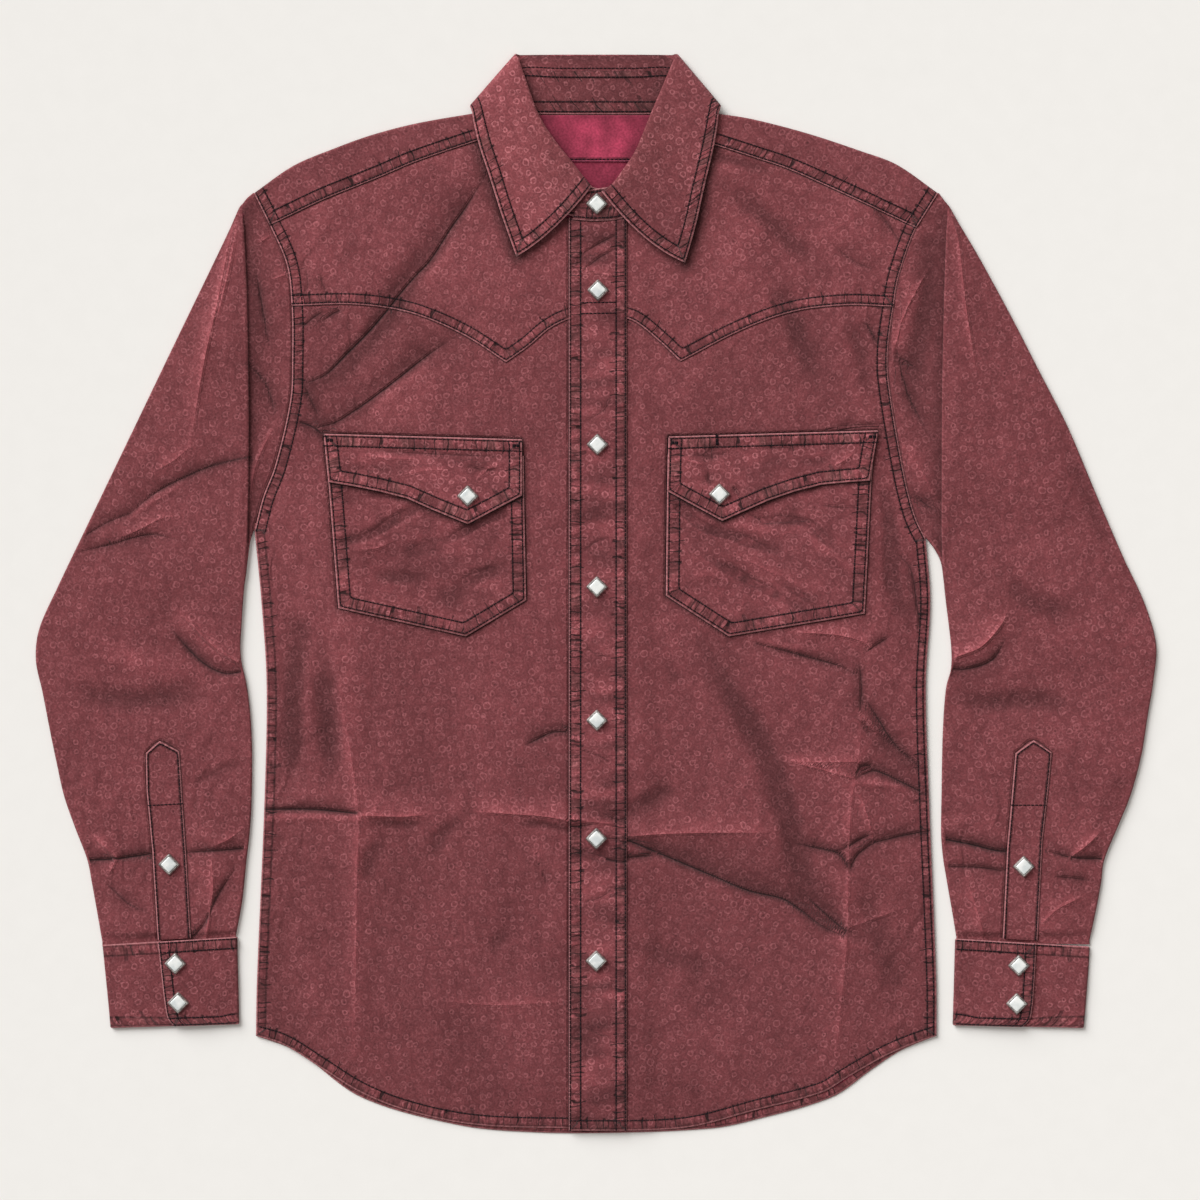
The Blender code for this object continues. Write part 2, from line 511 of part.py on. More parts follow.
def sheet(name, outline, surface, level, slot, wall=CLOTH):
    """A piece of cloth cut to an outline and draped on a surface, its underside `level` above it."""
    spot, inside = flat_cut(outline, surface)
    x, y = spot.T
    low = surface.at(x, y) + level
    count = len(spot)
    directed = {(a, b) for face in inside for a, b in zip(face, face[1:] + face[:1])}
    rim = [(a, b, b + count, a + count) for a, b in directed if (b, a) not in directed]
    under = [face[::-1] for face in inside]
    over = [tuple(corner + count for corner in face) for face in inside]
    corners = np.vstack([np.stack([x, y, low], axis=1), np.stack([x, y, low + wall], axis=1)])
    obj = add_object(name, corners, [*under, *over, *rim], slot)
    shade_smooth(obj)
    return obj


def grid_faces(grid):
    """The points of a grid in one row, and its four-cornered faces."""
    rows, columns = grid.shape[:2]
    faces = [(corner, corner + 1, corner + columns + 1, corner + columns)
             for corner in (i * columns + j for i in range(rows - 1) for j in range(columns - 1))]
    return grid.reshape(-1, 3), faces


def ribbon(name, patches, slot, wall=CLOTH):
    """A wrapped piece: patches of the middle of its wall, merged where they meet and thickened."""
    points, faces = [], []
    for spots, corners in patches:
        faces += [tuple(len(points) + corner for corner in face) for face in corners]
        points.extend(spots)
    obj = add_object(name, points, faces, slot)
    work = bmesh.new()
    work.from_mesh(obj.data)
    bmesh.ops.remove_doubles(work, verts=work.verts, dist=0.01 * MM)
    bmesh.ops.recalc_face_normals(work, faces=work.faces)
    work.to_mesh(obj.data)
    work.free()
    shade_smooth(obj)
    thick = obj.modifiers.new("wall", "SOLIDIFY")
    thick.thickness = wall * MM
    thick.offset = 0.0
    thick.use_even_offset = True
    thick.use_quality_normals = True
    return obj


def make_fronts():
    """Both front panels with their yokes, the placket, the pockets and the pocket flaps."""
    under = Lattice(front_height)
    over = Lattice(lapped_height)
    step = np.array([0.0, SEAM])
    for side, surface, centre in (("right", under, UNDERLAP_EDGE), ("left", over, PLACKET_EDGE)):
        inward = np.array([SEAM if side == "right" else -SEAM, 0.0])
        armhole = curve(ARMHOLE[side], 34.0)
        yoke = np.vstack([curve(YOKE_SEAM[side]), curve(YOKE_CENTRE[side])])
        upper_armhole = part_of(armhole, SHOULDER_SEAM[side][0], YOKE_SEAM[side][0])
        lower_armhole = part_of(armhole, YOKE_SEAM[side][0], ARMHOLE[side][-1])
        panel = [yoke - step, curve(FRONT_HEM[side])[::-1], curve(SIDE_SEAM[side])[::-1],
                 lower_armhole[::-1] + inward]
        sheet(f"front_{side}", panel, surface, 0.0, "shirting")
        bodice = [curve(SHOULDER_SEAM[side]) - step, curve(FRONT_NECK[side]), yoke[::-1],
                  upper_armhole[::-1] + inward]
        sheet(f"front_yoke_{side}", bodice, surface, 0.0, "shirting")
        sheet(f"pocket_{side}", [np.array(POCKET[side])], surface, LAYER, "shirting")
        sheet(f"pocket_flap_{side}", [np.array(FLAP[side])], surface, 2 * LAYER, "shirting")
        assert abs(yoke[-1][0] - centre) < SEAM
    right_edge = PLACKET_EDGE + PLACKET_WIDTH
    band = np.array([(PLACKET_EDGE, 277.9), (PLACKET_EDGE, -402.3), (0.0, -402.4), (right_edge - 1.4, -402.3),
                     (right_edge, 200.0), (right_edge, 277.9)])
    sheet("placket", [band], over, LAYER, "shirting")
    return under, over


def make_back():
    """The back panel, flat on the ground, the neck facing and the back yoke, which wraps over the shoulders."""
    seam = np.vstack([curve(YOKE_SEAM["right"]), curve(YOKE_CENTRE["right"][:5]),
                      curve(YOKE_CENTRE["left"][:5])[::-1], curve(YOKE_SEAM["left"])[::-1]])
    sides = {side: part_of(curve(ARMHOLE[side], 34.0), YOKE_SEAM[side][0], ARMHOLE[side][-1]) for side in ("right", "left")}
    panel = [seam - (0.0, SEAM), sides["left"], curve(SIDE_SEAM["left"]), curve(BACK_HEM)[::-1],
             curve(SIDE_SEAM["right"])[::-1], sides["right"][::-1]]
    sheet("back", panel, Plane(0.0), 0.0, "shirting")
    facing_height = COLLAR_WALL + SEAM + LAYER
    sheet("neck_facing", [np.array(NECK_FACING)], Plane(facing_height), 0.0, "shirting_inside")
    ribbon("back_yoke", back_yoke_patches(seam), "shirting")


def back_yoke_patches(seam):
    """The back yoke: a flat part behind, and for each shoulder a part that goes over the fold to the front seam."""
    wraps, folds, armholes = [], {}, {}
    for side in ("right", "left"):
        front = curve(SHOULDER_SEAM[side])
        fold = resampled(curve(SHOULDER_FOLD[side]), np.linspace(0.0, 1.0, len(front)))
        inset = YOKE_INSET if side == "right" else -YOKE_INSET
        front[0, 0] += inset
        fold[0, 0] += inset
        inward = (front - fold) / np.linalg.norm(front - fold, axis=1)[:, None]
        root = fold + TURN * inward
        level = CLOTH / 2 + collar_pad(root[:, 0], root[:, 1])
        end = front_height(front[:, 0], front[:, 1]) + CLOTH / 2
        crest = np.maximum(level + 2.1, np.minimum(end, level + 2.6))
        lines = [np.column_stack([root, level]),
                 np.column_stack([fold + 0.3 * TURN * inward, level + 0.3 * (crest - level)]),
                 np.column_stack([fold, (level + crest) / 2]),
                 np.column_stack([fold + 0.3 * TURN * inward, level + 0.7 * (crest - level)]),
                 np.column_stack([root, crest])]
        for share in (0.34, 0.67, 1.0):
            across = root + (front - root) * share
            height = front_height(across[:, 0], across[:, 1]) + CLOTH / 2
            lines.append(np.column_stack([across, np.maximum(height, crest + (end - crest) * share)]))
        wraps.append(grid_faces(np.array(lines)))
        folds[side] = root
        armhole = part_of(curve(ARMHOLE[side], 34.0), YOKE_SEAM[side][0], ARMHOLE[side][0])
        armholes[side] = armhole[:-1] + (inset, 0.0)
    across = np.linspace(1.0, 0.0, 9)[1:-1, None]
    neck = folds["right"][-1] * across + folds["left"][-1] * (1.0 - across)
    neck[:, 1] = NECK_SEAM_Y
    outline = [seam, armholes["left"], folds["left"], neck[::-1], folds["right"][::-1], armholes["right"][::-1]]
    spot, faces = flat_cut(outline, InnerPoints())
    height = CLOTH / 2 + collar_pad(spot[:, 0], spot[:, 1])
    return [(np.column_stack([spot, height]), faces), *wraps]


def sleeve_rings(side):
    """Points on the middle of a sleeve's wall, one row for each ring.

    A ring starts at the underarm seam on the lower layer, turns up round the underarm fold, crosses on top to the
    outer fold and comes back below to the seam. The first ring has the armhole's own points.
    """
    armhole = curve(ARMHOLE[side], 34.0)
    along = np.concatenate([[0.0], np.cumsum(np.linalg.norm(np.diff(armhole, axis=0), axis=1))])
    shares = (along / along[-1])[1:-1]
    away = np.array([-1.0 if side == "right" else 1.0, 0.0])
    rows = []
    for ring in SLEEVE_RINGS[side]:
        outer, inner = np.array([ring.outer_x, ring.outer_y]), np.array([ring.inner_x, ring.inner_y])
        outward = (outer - inner) / np.linalg.norm(outer - inner)
        chord = outer + (inner - outer) * shares[:, None]
        straight = armhole[0] + (armhole[-1] - armhole[0]) * shares[:, None]
        curved = armhole[1:-1] + away * SEAM
        line = curved if ring.bow == 1.0 else chord + (curved - straight) * ring.bow
        swell = smooth(np.minimum(shares, 1.0 - shares) / 0.22)
        relief = fold_relief(line[:, 0], line[:, 1], SLEEVE_FOLDS) if ring.bow < 0.5 else 0.0
        top = np.column_stack([line, SLEEVE_EDGE_MID + swell * (ring.lift + relief)])
        low = np.column_stack([line, np.full(len(line), CLOTH / 2)])

        def turn(end, way):
            """The fold at one end of a ring, from the lower layer up: its outside lies on the outline."""
            edge = end - way * outward * CLOTH / 2
            root = edge - way * outward * TURN
            middle = (CLOTH / 2 + SLEEVE_EDGE_MID) / 2
            return np.array([(*root, CLOTH / 2), (*edge, middle), (*root, SLEEVE_EDGE_MID)])

        # The underarm seam is a slit in the lower layer, just beyond the fold.
        slit = low[-1] + (low[-2] - low[-1]) * (SEAM + 0.1) / np.linalg.norm(low[-2] - low[-1])
        rows.append(np.vstack([low[-1:], turn(inner, -1.0), top[::-1], turn(outer, 1.0)[::-1], low[:-1], slit[None]]))
    return np.array(rows)


def make_sleeves():
    """Both sleeves with their pointed plackets."""
    for side in ("right", "left"):
        ribbon(f"sleeve_{side}", [grid_faces(sleeve_rings(side))], "shirting")
        top = SLEEVE_EDGE_MID + 0.6 + CLOTH / 2 + SEAM
        sheet(f"sleeve_placket_{side}", [np.array(SLEEVE_PLACKET[side])], Plane(top + 0.2), 0.0, "shirting")


def cuff_lines(side):
    """Points on the middle of a cuff's wall, a row for each line across it, from the lap's free end round to the end
    below it."""
    half = COLLAR_WALL / 2
    layer = COLLAR_WALL + SEAM
    rows = []
    for line in CUFF[side]:
        near, far = (line.right_x, line.right_y), (line.left_x, line.left_y)
        if side == "left":
            near, far = far, near
        way = 1.0 if near[0] > far[0] else -1.0
        ends = np.array([far, near])

        def place(x, height):
            """A point at this X on the line."""
            share = (x - ends[0][0]) / (ends[1][0] - ends[0][0])
            return x, ends[0][1] + share * (ends[1][1] - ends[0][1]), height

        lap = line.lap_x
        top = half + 2 * layer + 0.5
        row = [place(lap, top), place(lap + way * 9.0, top), place(lap + way * (CUFF_UNDERLAP + 4.0), top),
               place(lap + way * 36.0, half + layer + 0.9), place(near[0] - way * 1.2, half + layer + 0.7),
               place(near[0], half + 1.15), place(near[0] - way * 1.2, half), place((near[0] + far[0]) / 2, half),
               place(far[0] + way * 1.2, half), place(far[0], half + 1.15),
               place(far[0] + way * 1.2, half + layer + 0.4), place((far[0] + lap) / 2, half + layer + 0.3),
               place(lap, half + layer), place(lap + way * CUFF_UNDERLAP, half + layer)]
        rows.append(row)
    return np.array(rows)


def make_cuffs():
    """Both cuffs, each a band whose ends lap on top."""
    for side in ("right", "left"):
        ribbon(f"cuff_{side}", [grid_faces(cuff_lines(side))], "shirting", COLLAR_WALL)


def make_collar():
    """The collar stand and the collar fall, each one strip round the neck."""
    across = np.array([0.0, 0.5, 1.0])
    stand = [[(line.seam_x + (line.top_x - line.seam_x) * share, line.seam_y + (line.top_y - line.seam_y) * share,
               line.mid) for share in across] for line in COLLAR_STAND]
    ribbon("collar_stand", [grid_faces(np.array(stand))], "shirting")
    fall = [[(line.fold_x + (line.cut_x - line.fold_x) * share,
              line.fold_y + (line.cut_y - line.fold_y) * share + 4.0 * line.bow * share * (1.0 - share),
              line.fold_mid + (line.cut_mid - line.fold_mid) * share) for share in FALL_SHARES]
            for line in COLLAR_FALL]
    ribbon("collar_fall", [grid_faces(np.array(fall))], "shirting", COLLAR_WALL)


def diamond(side, x, y, z):
    """The corners of a square turned to stand on a point."""
    half = side / 2**0.5
    return [(x + half * dx, y + half * dy, z) for dx, dy in ((1, 0), (0, 1), (-1, 0), (0, -1))]


def tapered(name, rings, slot):
    """A closed solid from a stack of rings, the first and last one capped."""
    count = len(rings[0])
    faces = [tuple(range(count))[::-1]]
    for level in range(len(rings) - 1):
        low = level * count
        faces += [(low + n, low + (n + 1) % count, low + count + (n + 1) % count, low + count + n)
                  for n in range(count)]
    faces.append(tuple(range((len(rings) - 1) * count, len(rings) * count)))
    return add_object(name, [point for ring in rings for point in ring], faces, slot)


def make_snap(name, x, y, base):
    """A diamond snap cap: a bevelled rim with a seat, and the pearl inlay set in it."""
    seat = base + 1.2
    crest = base + SNAP_RISE - 0.9
    rings = [diamond(SNAP_SIDE - 1.0, x, y, base), diamond(SNAP_SIDE, x, y, base + 0.7),
             diamond(SNAP_SIDE - 0.8, x, y, base + 1.7), diamond(PEARL_SIDE + 1.6, x, y, crest),
             diamond(PEARL_SIDE + 0.7, x, y, crest), diamond(PEARL_SIDE + 0.7, x, y, seat)]
    tapered(f"snap_rim_{name}", rings, "snap_rim")
    rings = [diamond(PEARL_SIDE, x, y, seat + SEAM), diamond(PEARL_SIDE, x, y, crest + 0.1),
             diamond(PEARL_SIDE - 2.2, x, y, base + SNAP_RISE)]
    tapered(f"snap_pearl_{name}", rings, "pearl")


def highest_under(surface, x, y):
    """The highest point of a surface under a snap cap."""
    half = SNAP_SIDE / 2**0.5
    reach = np.linspace(-half, half, 9)
    grid_x, grid_y = np.meshgrid(x + reach, y + reach)
    return float(surface.at(grid_x, grid_y).max())


def make_snaps(under, over):
    """Every snap, seated on the layer that carries it."""
    for snap in SNAPS:
        base = {
            "stand": COLLAR_STAND[0].mid + CLOTH / 2,
            "placket": highest_under(over, snap.x, snap.y) + LAYER + CLOTH,
            "flap_right": highest_under(under, snap.x, snap.y) + 2 * LAYER + CLOTH,
            "flap_left": highest_under(over, snap.x, snap.y) + 2 * LAYER + CLOTH,
            "sleeve_placket": SLEEVE_EDGE_MID + 0.8 + 1.5 * CLOTH + SEAM,
            "cuff": 2 * COLLAR_WALL + 2 * SEAM + 0.5 + COLLAR_WALL,
        }[snap.on]
        make_snap(snap.name, snap.x, snap.y, base + SEAM)


def main():
    """Builds the shirt from the ground up."""
    clear_scene()
    make_back()
    under, over = make_fronts()
    make_sleeves()
    make_cuffs()
    make_collar()
    make_snaps(under, over)


main()
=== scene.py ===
"""Dresses the western snap shirt, laid flat on its back.

Every table is in millimetres from the middle of the laid-out shirt; `MM` turns them into metres. The collar
points along +Y and the front faces +Z. "right" and "left" are the wearer's, so the right side lies at -X.
Each class makes one sub-assembly: the front panels, pockets, back, sleeves, cuffs, collar and snap caps.
"""

from __future__ import annotations

import logging
from collections.abc import Callable, Iterable, Sequence
from dataclasses import dataclass, field
from enum import Enum
from typing import NamedTuple

import bpy
import numpy as np
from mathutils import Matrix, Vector


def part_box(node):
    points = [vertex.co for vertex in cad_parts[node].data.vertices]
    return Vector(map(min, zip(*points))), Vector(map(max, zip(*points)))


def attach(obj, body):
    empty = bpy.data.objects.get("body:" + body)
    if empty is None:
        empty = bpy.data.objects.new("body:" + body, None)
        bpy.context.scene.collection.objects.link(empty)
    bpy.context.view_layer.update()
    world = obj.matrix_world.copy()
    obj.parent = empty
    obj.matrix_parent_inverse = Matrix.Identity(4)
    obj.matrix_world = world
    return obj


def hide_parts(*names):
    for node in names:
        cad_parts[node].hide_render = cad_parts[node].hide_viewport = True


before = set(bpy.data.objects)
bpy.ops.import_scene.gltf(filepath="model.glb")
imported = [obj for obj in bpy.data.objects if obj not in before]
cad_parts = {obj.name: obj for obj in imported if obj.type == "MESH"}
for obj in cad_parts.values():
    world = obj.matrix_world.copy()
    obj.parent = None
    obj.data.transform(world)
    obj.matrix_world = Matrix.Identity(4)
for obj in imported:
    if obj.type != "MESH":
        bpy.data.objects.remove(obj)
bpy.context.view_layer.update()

logging.basicConfig(level=logging.INFO, format="%(message)s")
log = logging.getLogger("shirt")

Array = np.ndarray
Field = Callable[[Array, Array], Array]  # a value for each place x, y
MM = 0.001
SIDES = ("right", "left")

# Driving dimensions, in millimetres, as in the solids.
CLOTH = 1.1  # wall of the shirting
COLLAR_WALL = 1.3  # collar and cuffs, two plies with interlining
SEAM = 0.3  # distance between layers
LAYER = CLOTH + SEAM  # height that one more layer adds
AIR = 1.9  # most air between back and front
AIR_REACH = 45.0  # distance from an edge at which that air is reached
PLACKET_EDGE = -21.4  # free edge of the left front
PLACKET_WIDTH = 43.2
PLACKET_ENDS = (-402.3, 281.0)
UNDERLAP_EDGE = 20.4  # edge of the right front, hidden under the left one
LAP_END = 32.0  # past this X the left front starts to come down from the right one
LAP_RUN = 16.0
SNAP_SIDE = 12.0
PEARL_SIDE = 8.8
TUCK = 1.2  # how far an edge reaches under the piece that laps over it
GRADING = (0.35, 0.8, 1.4, 2.1, 3.0, 4.1, 5.4, 6.8, 8.0, 9.2, 10.6)  # grid lines next to a sewn edge

# Stitches, in millimetres.
STITCH = 3.0  # a stitch's length, and the distance from one to the next
THREAD = 0.46  # half of a stitch's width
THREAD_LIFT = 0.10  # how high a stitch's middle lies above the cloth

# Edges shared by neighbouring pieces, each side of the shirt in its own place.
SHOULDER_FOLD = {
    "right": [(-257.5, 300), (-228, 320.5), (-197.4, 333.5), (-169.3, 343.6), (-135.8, 352.3), (-93, 359.6)],
    "left": [(255.2, 300), (224.2, 321.5), (197.4, 331.6), (157.1, 344.9), (117.1, 355.2), (90, 359.6)],
}
SHOULDER_SEAM = {
    "right": [(-245.6, 276), (-202.9, 296), (-162.6, 312.2), (-135.8, 323.6), (-84, 341)],
    "left": [(238.9, 274), (197.4, 293.4), (143.9, 317.5), (114, 327.5), (81, 338)],
}
ARMHOLE = {
    "right": [(-257.5, 300), (-245.6, 276), (-232.9, 246.4), (-229.2, 215.6), (-228.8, 175), (-230.2, 145),
        (-241.6, 95.6), (-250.6, 72), (-257, 47)],
    "left": [(255.2, 300), (238.9, 274), (226, 238), (221.9, 214.9), (217.8, 183), (218.4, 158),
        (229.9, 89.6), (238, 58), (246, 41)],
}
YOKE_SEAM = {
    "right": [(-229.2, 215.6), (-182.9, 216.4), (-142.9, 210.9), (-102.6, 194.8), (-68.4, 173.1)],
    "left": [(221.9, 214.9), (187.8, 215.9), (147.6, 211.3), (107.4, 196.9), (62.2, 173.7)],
}
YOKE_CENTRE = {  # the hump of the yoke seam between its two points
    "right": [(-68.4, 173.1), (-50.6, 185.8), (-36.4, 197.9), (-21.4, 205.3), (0, 208.9),
        (UNDERLAP_EDGE, 205.6)],
    "left": [(62.2, 173.7), (45.2, 189.8), (27.1, 203.9), (13, 207.4), (0, 208.9), (PLACKET_EDGE, 205.3)],
}
SIDE_SEAM = {
    "right": [(-257, 47), (-252, -4.9), (-248, -67.1), (-249.4, -150), (-255.2, -289.1), (-256, -331.6)],
    "left": [(246, 41), (249.5, -4.9), (246.2, -69.4), (248.8, -159.8), (254, -289), (254.2, -331.6)],
}
FRONT_HEM = {
    "right": [(-256, -331.6), (-235.4, -338.2), (-204.5, -357.4), (-180.9, -372.2), (-151.9, -384.8),
        (-113.6, -394.9), (-77.2, -399.4), (-21, -400.8), (UNDERLAP_EDGE, -401.4)],
    "left": [(254.2, -331.6), (232.1, -339.4), (214.1, -347.6), (186.8, -363.1), (168.7, -373.9),
        (114.1, -388.5), (77.6, -398.4), (50.5, -401.8), (0, -402.4), (PLACKET_EDGE, -402)],
}
BACK_HEM = [(-256, -331.6), (-224.6, -343.9), (-177.4, -377.6), (-104.6, -398.5), (-50, -403.9),
    (15.4, -404.4), (85.1, -401.1), (114.1, -395.6), (175.9, -377.6), (205, -357.4), (226.9, -343),
    (254.2, -331.6)]
FRONT_NECK = {
    "right": [(-84, 341), (-60.5, 320.5), (-43.5, 296), (-24.5, 281), (0, 278), (UNDERLAP_EDGE, 278.5)],
    "left": [(81, 338), (59.5, 319.5), (42, 295.5), (24.5, 281), (0, 278), (PLACKET_EDGE, 278.5)],
}
NECK_SEAM_Y = 358.6  # back neck seam
COLLAR_PAD_START = 285.0  # the back starts to rise here over the collar fall folded beneath it
COLLAR_PAD_FULL = 316.0
COLLAR_PAD_HALF_WIDTH = 98.0
COLLAR_BACK = 350.0  # past this Y the collar lies behind the neck

POCKET = {
    "right": [(-202.6, 105), (-201.4, 83.3), (-194, -11.1), (-98.6, -32.2), (-53.3, -5.1), (-54.8, 72.4),
        (-55.2, 103)],
    "left": [(207, 107), (205.4, 86.3), (200.2, -15.2), (98.4, -32.2), (51.2, -1.7), (52.1, 76.6),
        (52.6, 104)],
}
FLAP = {
    "right": [(-205.1, 119.6), (-201.4, 83.3), (-182.9, 80.3), (-163.1, 76.3), (-142.9, 71.2), (-122.6, 62.2),
        (-97.1, 51.8), (-56.4, 73.3), (-56.4, 115.4)],
    "left": [(210.3, 122.1), (203.8, 84.4), (187.8, 83.3), (167.6, 81.4), (147.6, 76.3), (127.5, 69.4),
        (93.4, 54.2), (52.1, 76.6), (53.2, 117.5)],
}
SLEEVE_PLACKET = {
    "right": [(-327.8, -110.5), (-338.2, -119.6), (-337.6, -148.1), (-333.4, -192.4), (-329.2, -259.6),
        (-304.4, -258), (-307.5, -202.1), (-311.3, -147.1), (-313.1, -118.3)],
    "left": [(326.6, -109.9), (340.3, -119.1), (337.6, -147.1), (333.3, -185.3), (329.6, -260),
        (303.6, -258.6), (307, -190.1), (310.6, -147.1), (313, -119.6)],
}
NECK_FACING = [(-62, NECK_SEAM_Y - 0.2), (-60, 336), (-54, 323.5), (54, 323.5), (60, 336),
    (62, NECK_SEAM_Y - 0.2)]


class Fold(NamedTuple):
    """A large fold: its line, half the width of its swell, and its height (negative: a trough)."""

    line: Sequence[tuple[float, float]]
    half_width: float
    height: float


FRONT_FOLDS = [
    Fold([(-103, 272), (-152, 220), (-216, 149)], 24, -1.0),
    Fold([(-128, 280), (-175, 228)], 26, 0.7),
    Fold([(-102, 197), (-153, 152), (-203, 126)], 22, -0.8),
    Fold([(127, 253), (158, 219), (176, 150)], 22, -0.8),
    Fold([(-249, -160), (-163, -163), (-26, -169)], 20, 0.9),
    Fold([(-197, -31), (-179, -162), (-180, -346)], 20, 0.7),
    Fold([(24, -186), (90, -211), (147, -232), (187, -259)], 22, 1.0),
    Fold([(24, -182), (134, -178)], 20, 0.7),
    Fold([(200, -60), (190, -130), (187, -201), (176, -351)], 20, 0.8),
    Fold([(90, -44), (131, -121), (168, -237)], 26, -0.9),
]
SLEEVE_FOLDS = [
    Fold([(-386, -199), (-352, -201)], 26, 0.8),
    Fold([(-292, -198), (-264, -196)], 26, 0.7),
    Fold([(-398, 24), (-330, 62), (-270, 86)], 28, -0.8),
    Fold([(-404, -22), (-330, 14)], 30, 0.9),
    Fold([(384, -199), (352, -203)], 26, 0.8),
    Fold([(292, -192), (262, -188)], 26, 0.7),
    Fold([(396, 20), (330, 50), (268, 44)], 28, -0.8),
    Fold([(404, -24), (330, 6)], 30, 0.9),
]

# A sleeve is a tube of rings that fan out from the armhole to the cuff. Each row is a ring's outer fold
# (x, y), its underarm fold (x, y), how much it bows like the armhole, and how far the middle of its upper
# layer is lifted.
SLEEVE_RINGS = {
    "right": [
        (-258.2, 300.2, -257.8, 47, 1, 0.1), (-262.5, 296.5, -260.4, 38, 0.55, 0),
        (-265.6, 292.6, -262, 26, 0.1, 0), (-268.6, 289, -263.4, 14, 0.04, 2.6),
        (-275.2, 274, -264.6, 6, 0.02, 2.4), (-290, 243, -265.8, -8, 0, 1.4),
        (-314, 193.5, -266.8, -24, 0, 0.8), (-338, 143.5, -267.6, -40, 0, 0.6),
        (-362, 93.6, -266.6, -52, 0, 0.6), (-386, 43.7, -263.4, -66, 0, 0.6), (-405, 4, -261, -82, 0, 0.6),
        (-418.6, -27, -259.6, -98, 0, 0.6), (-421, -50, -258.9, -114, 0, 0.6),
        (-416, -74, -258.8, -130, 0, 0.6), (-410.2, -103.9, -259, -148, 0, 0.6),
        (-405.2, -128, -259.6, -166, 0, 0.6), (-399.8, -152, -261, -183, 0, 0.6),
        (-391.4, -176, -262.8, -198, 0, 0.6), (-382.4, -199.7, -264.4, -214, 0, 0.6),
        (-378.8, -218, -266, -229, 0, 0.6), (-375, -239, -268.4, -243, 0, 0.6),
        (-371.2, -261, -271, -256.8, 0, 0.6),
    ],
    "left": [
        (256, 300.2, 246.8, 41, 1, 0.1), (258.5, 296.5, 252, 34, 0.55, 0), (261.6, 292.6, 257.2, 24, 0.1, 0),
        (264.4, 289, 259.4, 10, 0.04, 2.6), (270.6, 278, 260.2, 2, 0.02, 2.4), (286, 252, 261.6, -10, 0, 1.4),
        (311, 206, 263.6, -26, 0, 0.8), (332, 165, 265.2, -42, 0, 0.6), (352, 126, 265, -56, 0, 0.6),
        (374, 74, 261.4, -70, 0, 0.6), (394, 27.5, 259.8, -86, 0, 0.6), (410, -7, 258.9, -102, 0, 0.6),
        (418.8, -38, 258.4, -118, 0, 0.6), (417, -64, 258.1, -134, 0, 0.6), (412, -95, 257.9, -150, 0, 0.6),
        (407.6, -122, 257.6, -166, 0, 0.6), (399.4, -152, 257.6, -182, 0, 0.6),
        (389.6, -176, 259, -198, 0, 0.6), (380, -199.7, 261.4, -213, 0, 0.6),
        (377.4, -218, 264, -228, 0, 0.6), (373.4, -239, 266.6, -243, 0, 0.6),
        (369, -259.5, 269, -257.8, 0, 0.6),
    ],
}
SLEEVE_EDGE_MID = 2.7  # middle of the upper wall's height next to a fold

# A cuff is a band round the wrist. Each row is one line across it, from the sleeve seam to the free edge: its
# two ends (x, y) and the x of the lap's edge.
CUFF = {
    "right": [
        (-370.4, -263.3, -270.4, -257.3, -329.4), (-369, -277, -270.2, -273, -327.8),
        (-367.4, -293, -269.8, -290, -326), (-365.8, -309, -269.4, -306.5, -324),
        (-364.9, -319.5, -269.2, -317, -321.8), (-364.4, -325.7, -269.1, -322.8, -317),
    ],
    "left": [
        (268.7, -258.6, 368.5, -264.6, 328.6), (268.2, -275, 367.6, -280, 328),
        (267.8, -291, 366.4, -296, 327), (267.3, -307, 365.2, -311, 325.8), (267, -318, 364.4, -320.5, 323.6),
        (266.8, -323.6, 363.9, -325.7, 318),
    ],
}
CUFF_UNDERLAP = 17.0  # how far the cuff's other end reaches under the lap

# Collar stand, from the end that laps on top, round +X, the back and -X, to the end below. Each row: the neck
# seam (x, y), the upper edge (x, y), and the height of the wall's middle.
COLLAR_STAND = [
    (-18.6, 279.8, -13.5, 301, 7.3), (0, 278.6, 0, 303, 7.3), (20.5, 281.6, 12.5, 306, 7.1),
    (38.6, 297.4, 20.5, 318, 6.5), (57.6, 321.6, 31.5, 336, 5.8), (69, 341, 42.5, 360, 5.6),
    (75, 353, 51.5, 384, 5.4), (76.5, 361, 57, 396, 3.9), (67, 359.9, 51, 402.6, 2.5),
    (36, 359.3, 28, 402.8, 2.4), (0, 359.2, 0, 402.9, 2.4), (-36, 359.3, -29, 402.8, 2.4),
    (-69, 359.9, -53, 402.6, 2.5), (-78.5, 361, -59, 396, 3.9), (-77, 353, -53.5, 384, 5.3),
    (-71, 341, -45, 359, 5.3), (-58.6, 321.8, -33.5, 339, 5.3), (-40.6, 297.8, -20.5, 320, 5.4),
    (-22, 283.4, -9.5, 307, 5.8), (12, 280, 9, 301, 5.8),
]

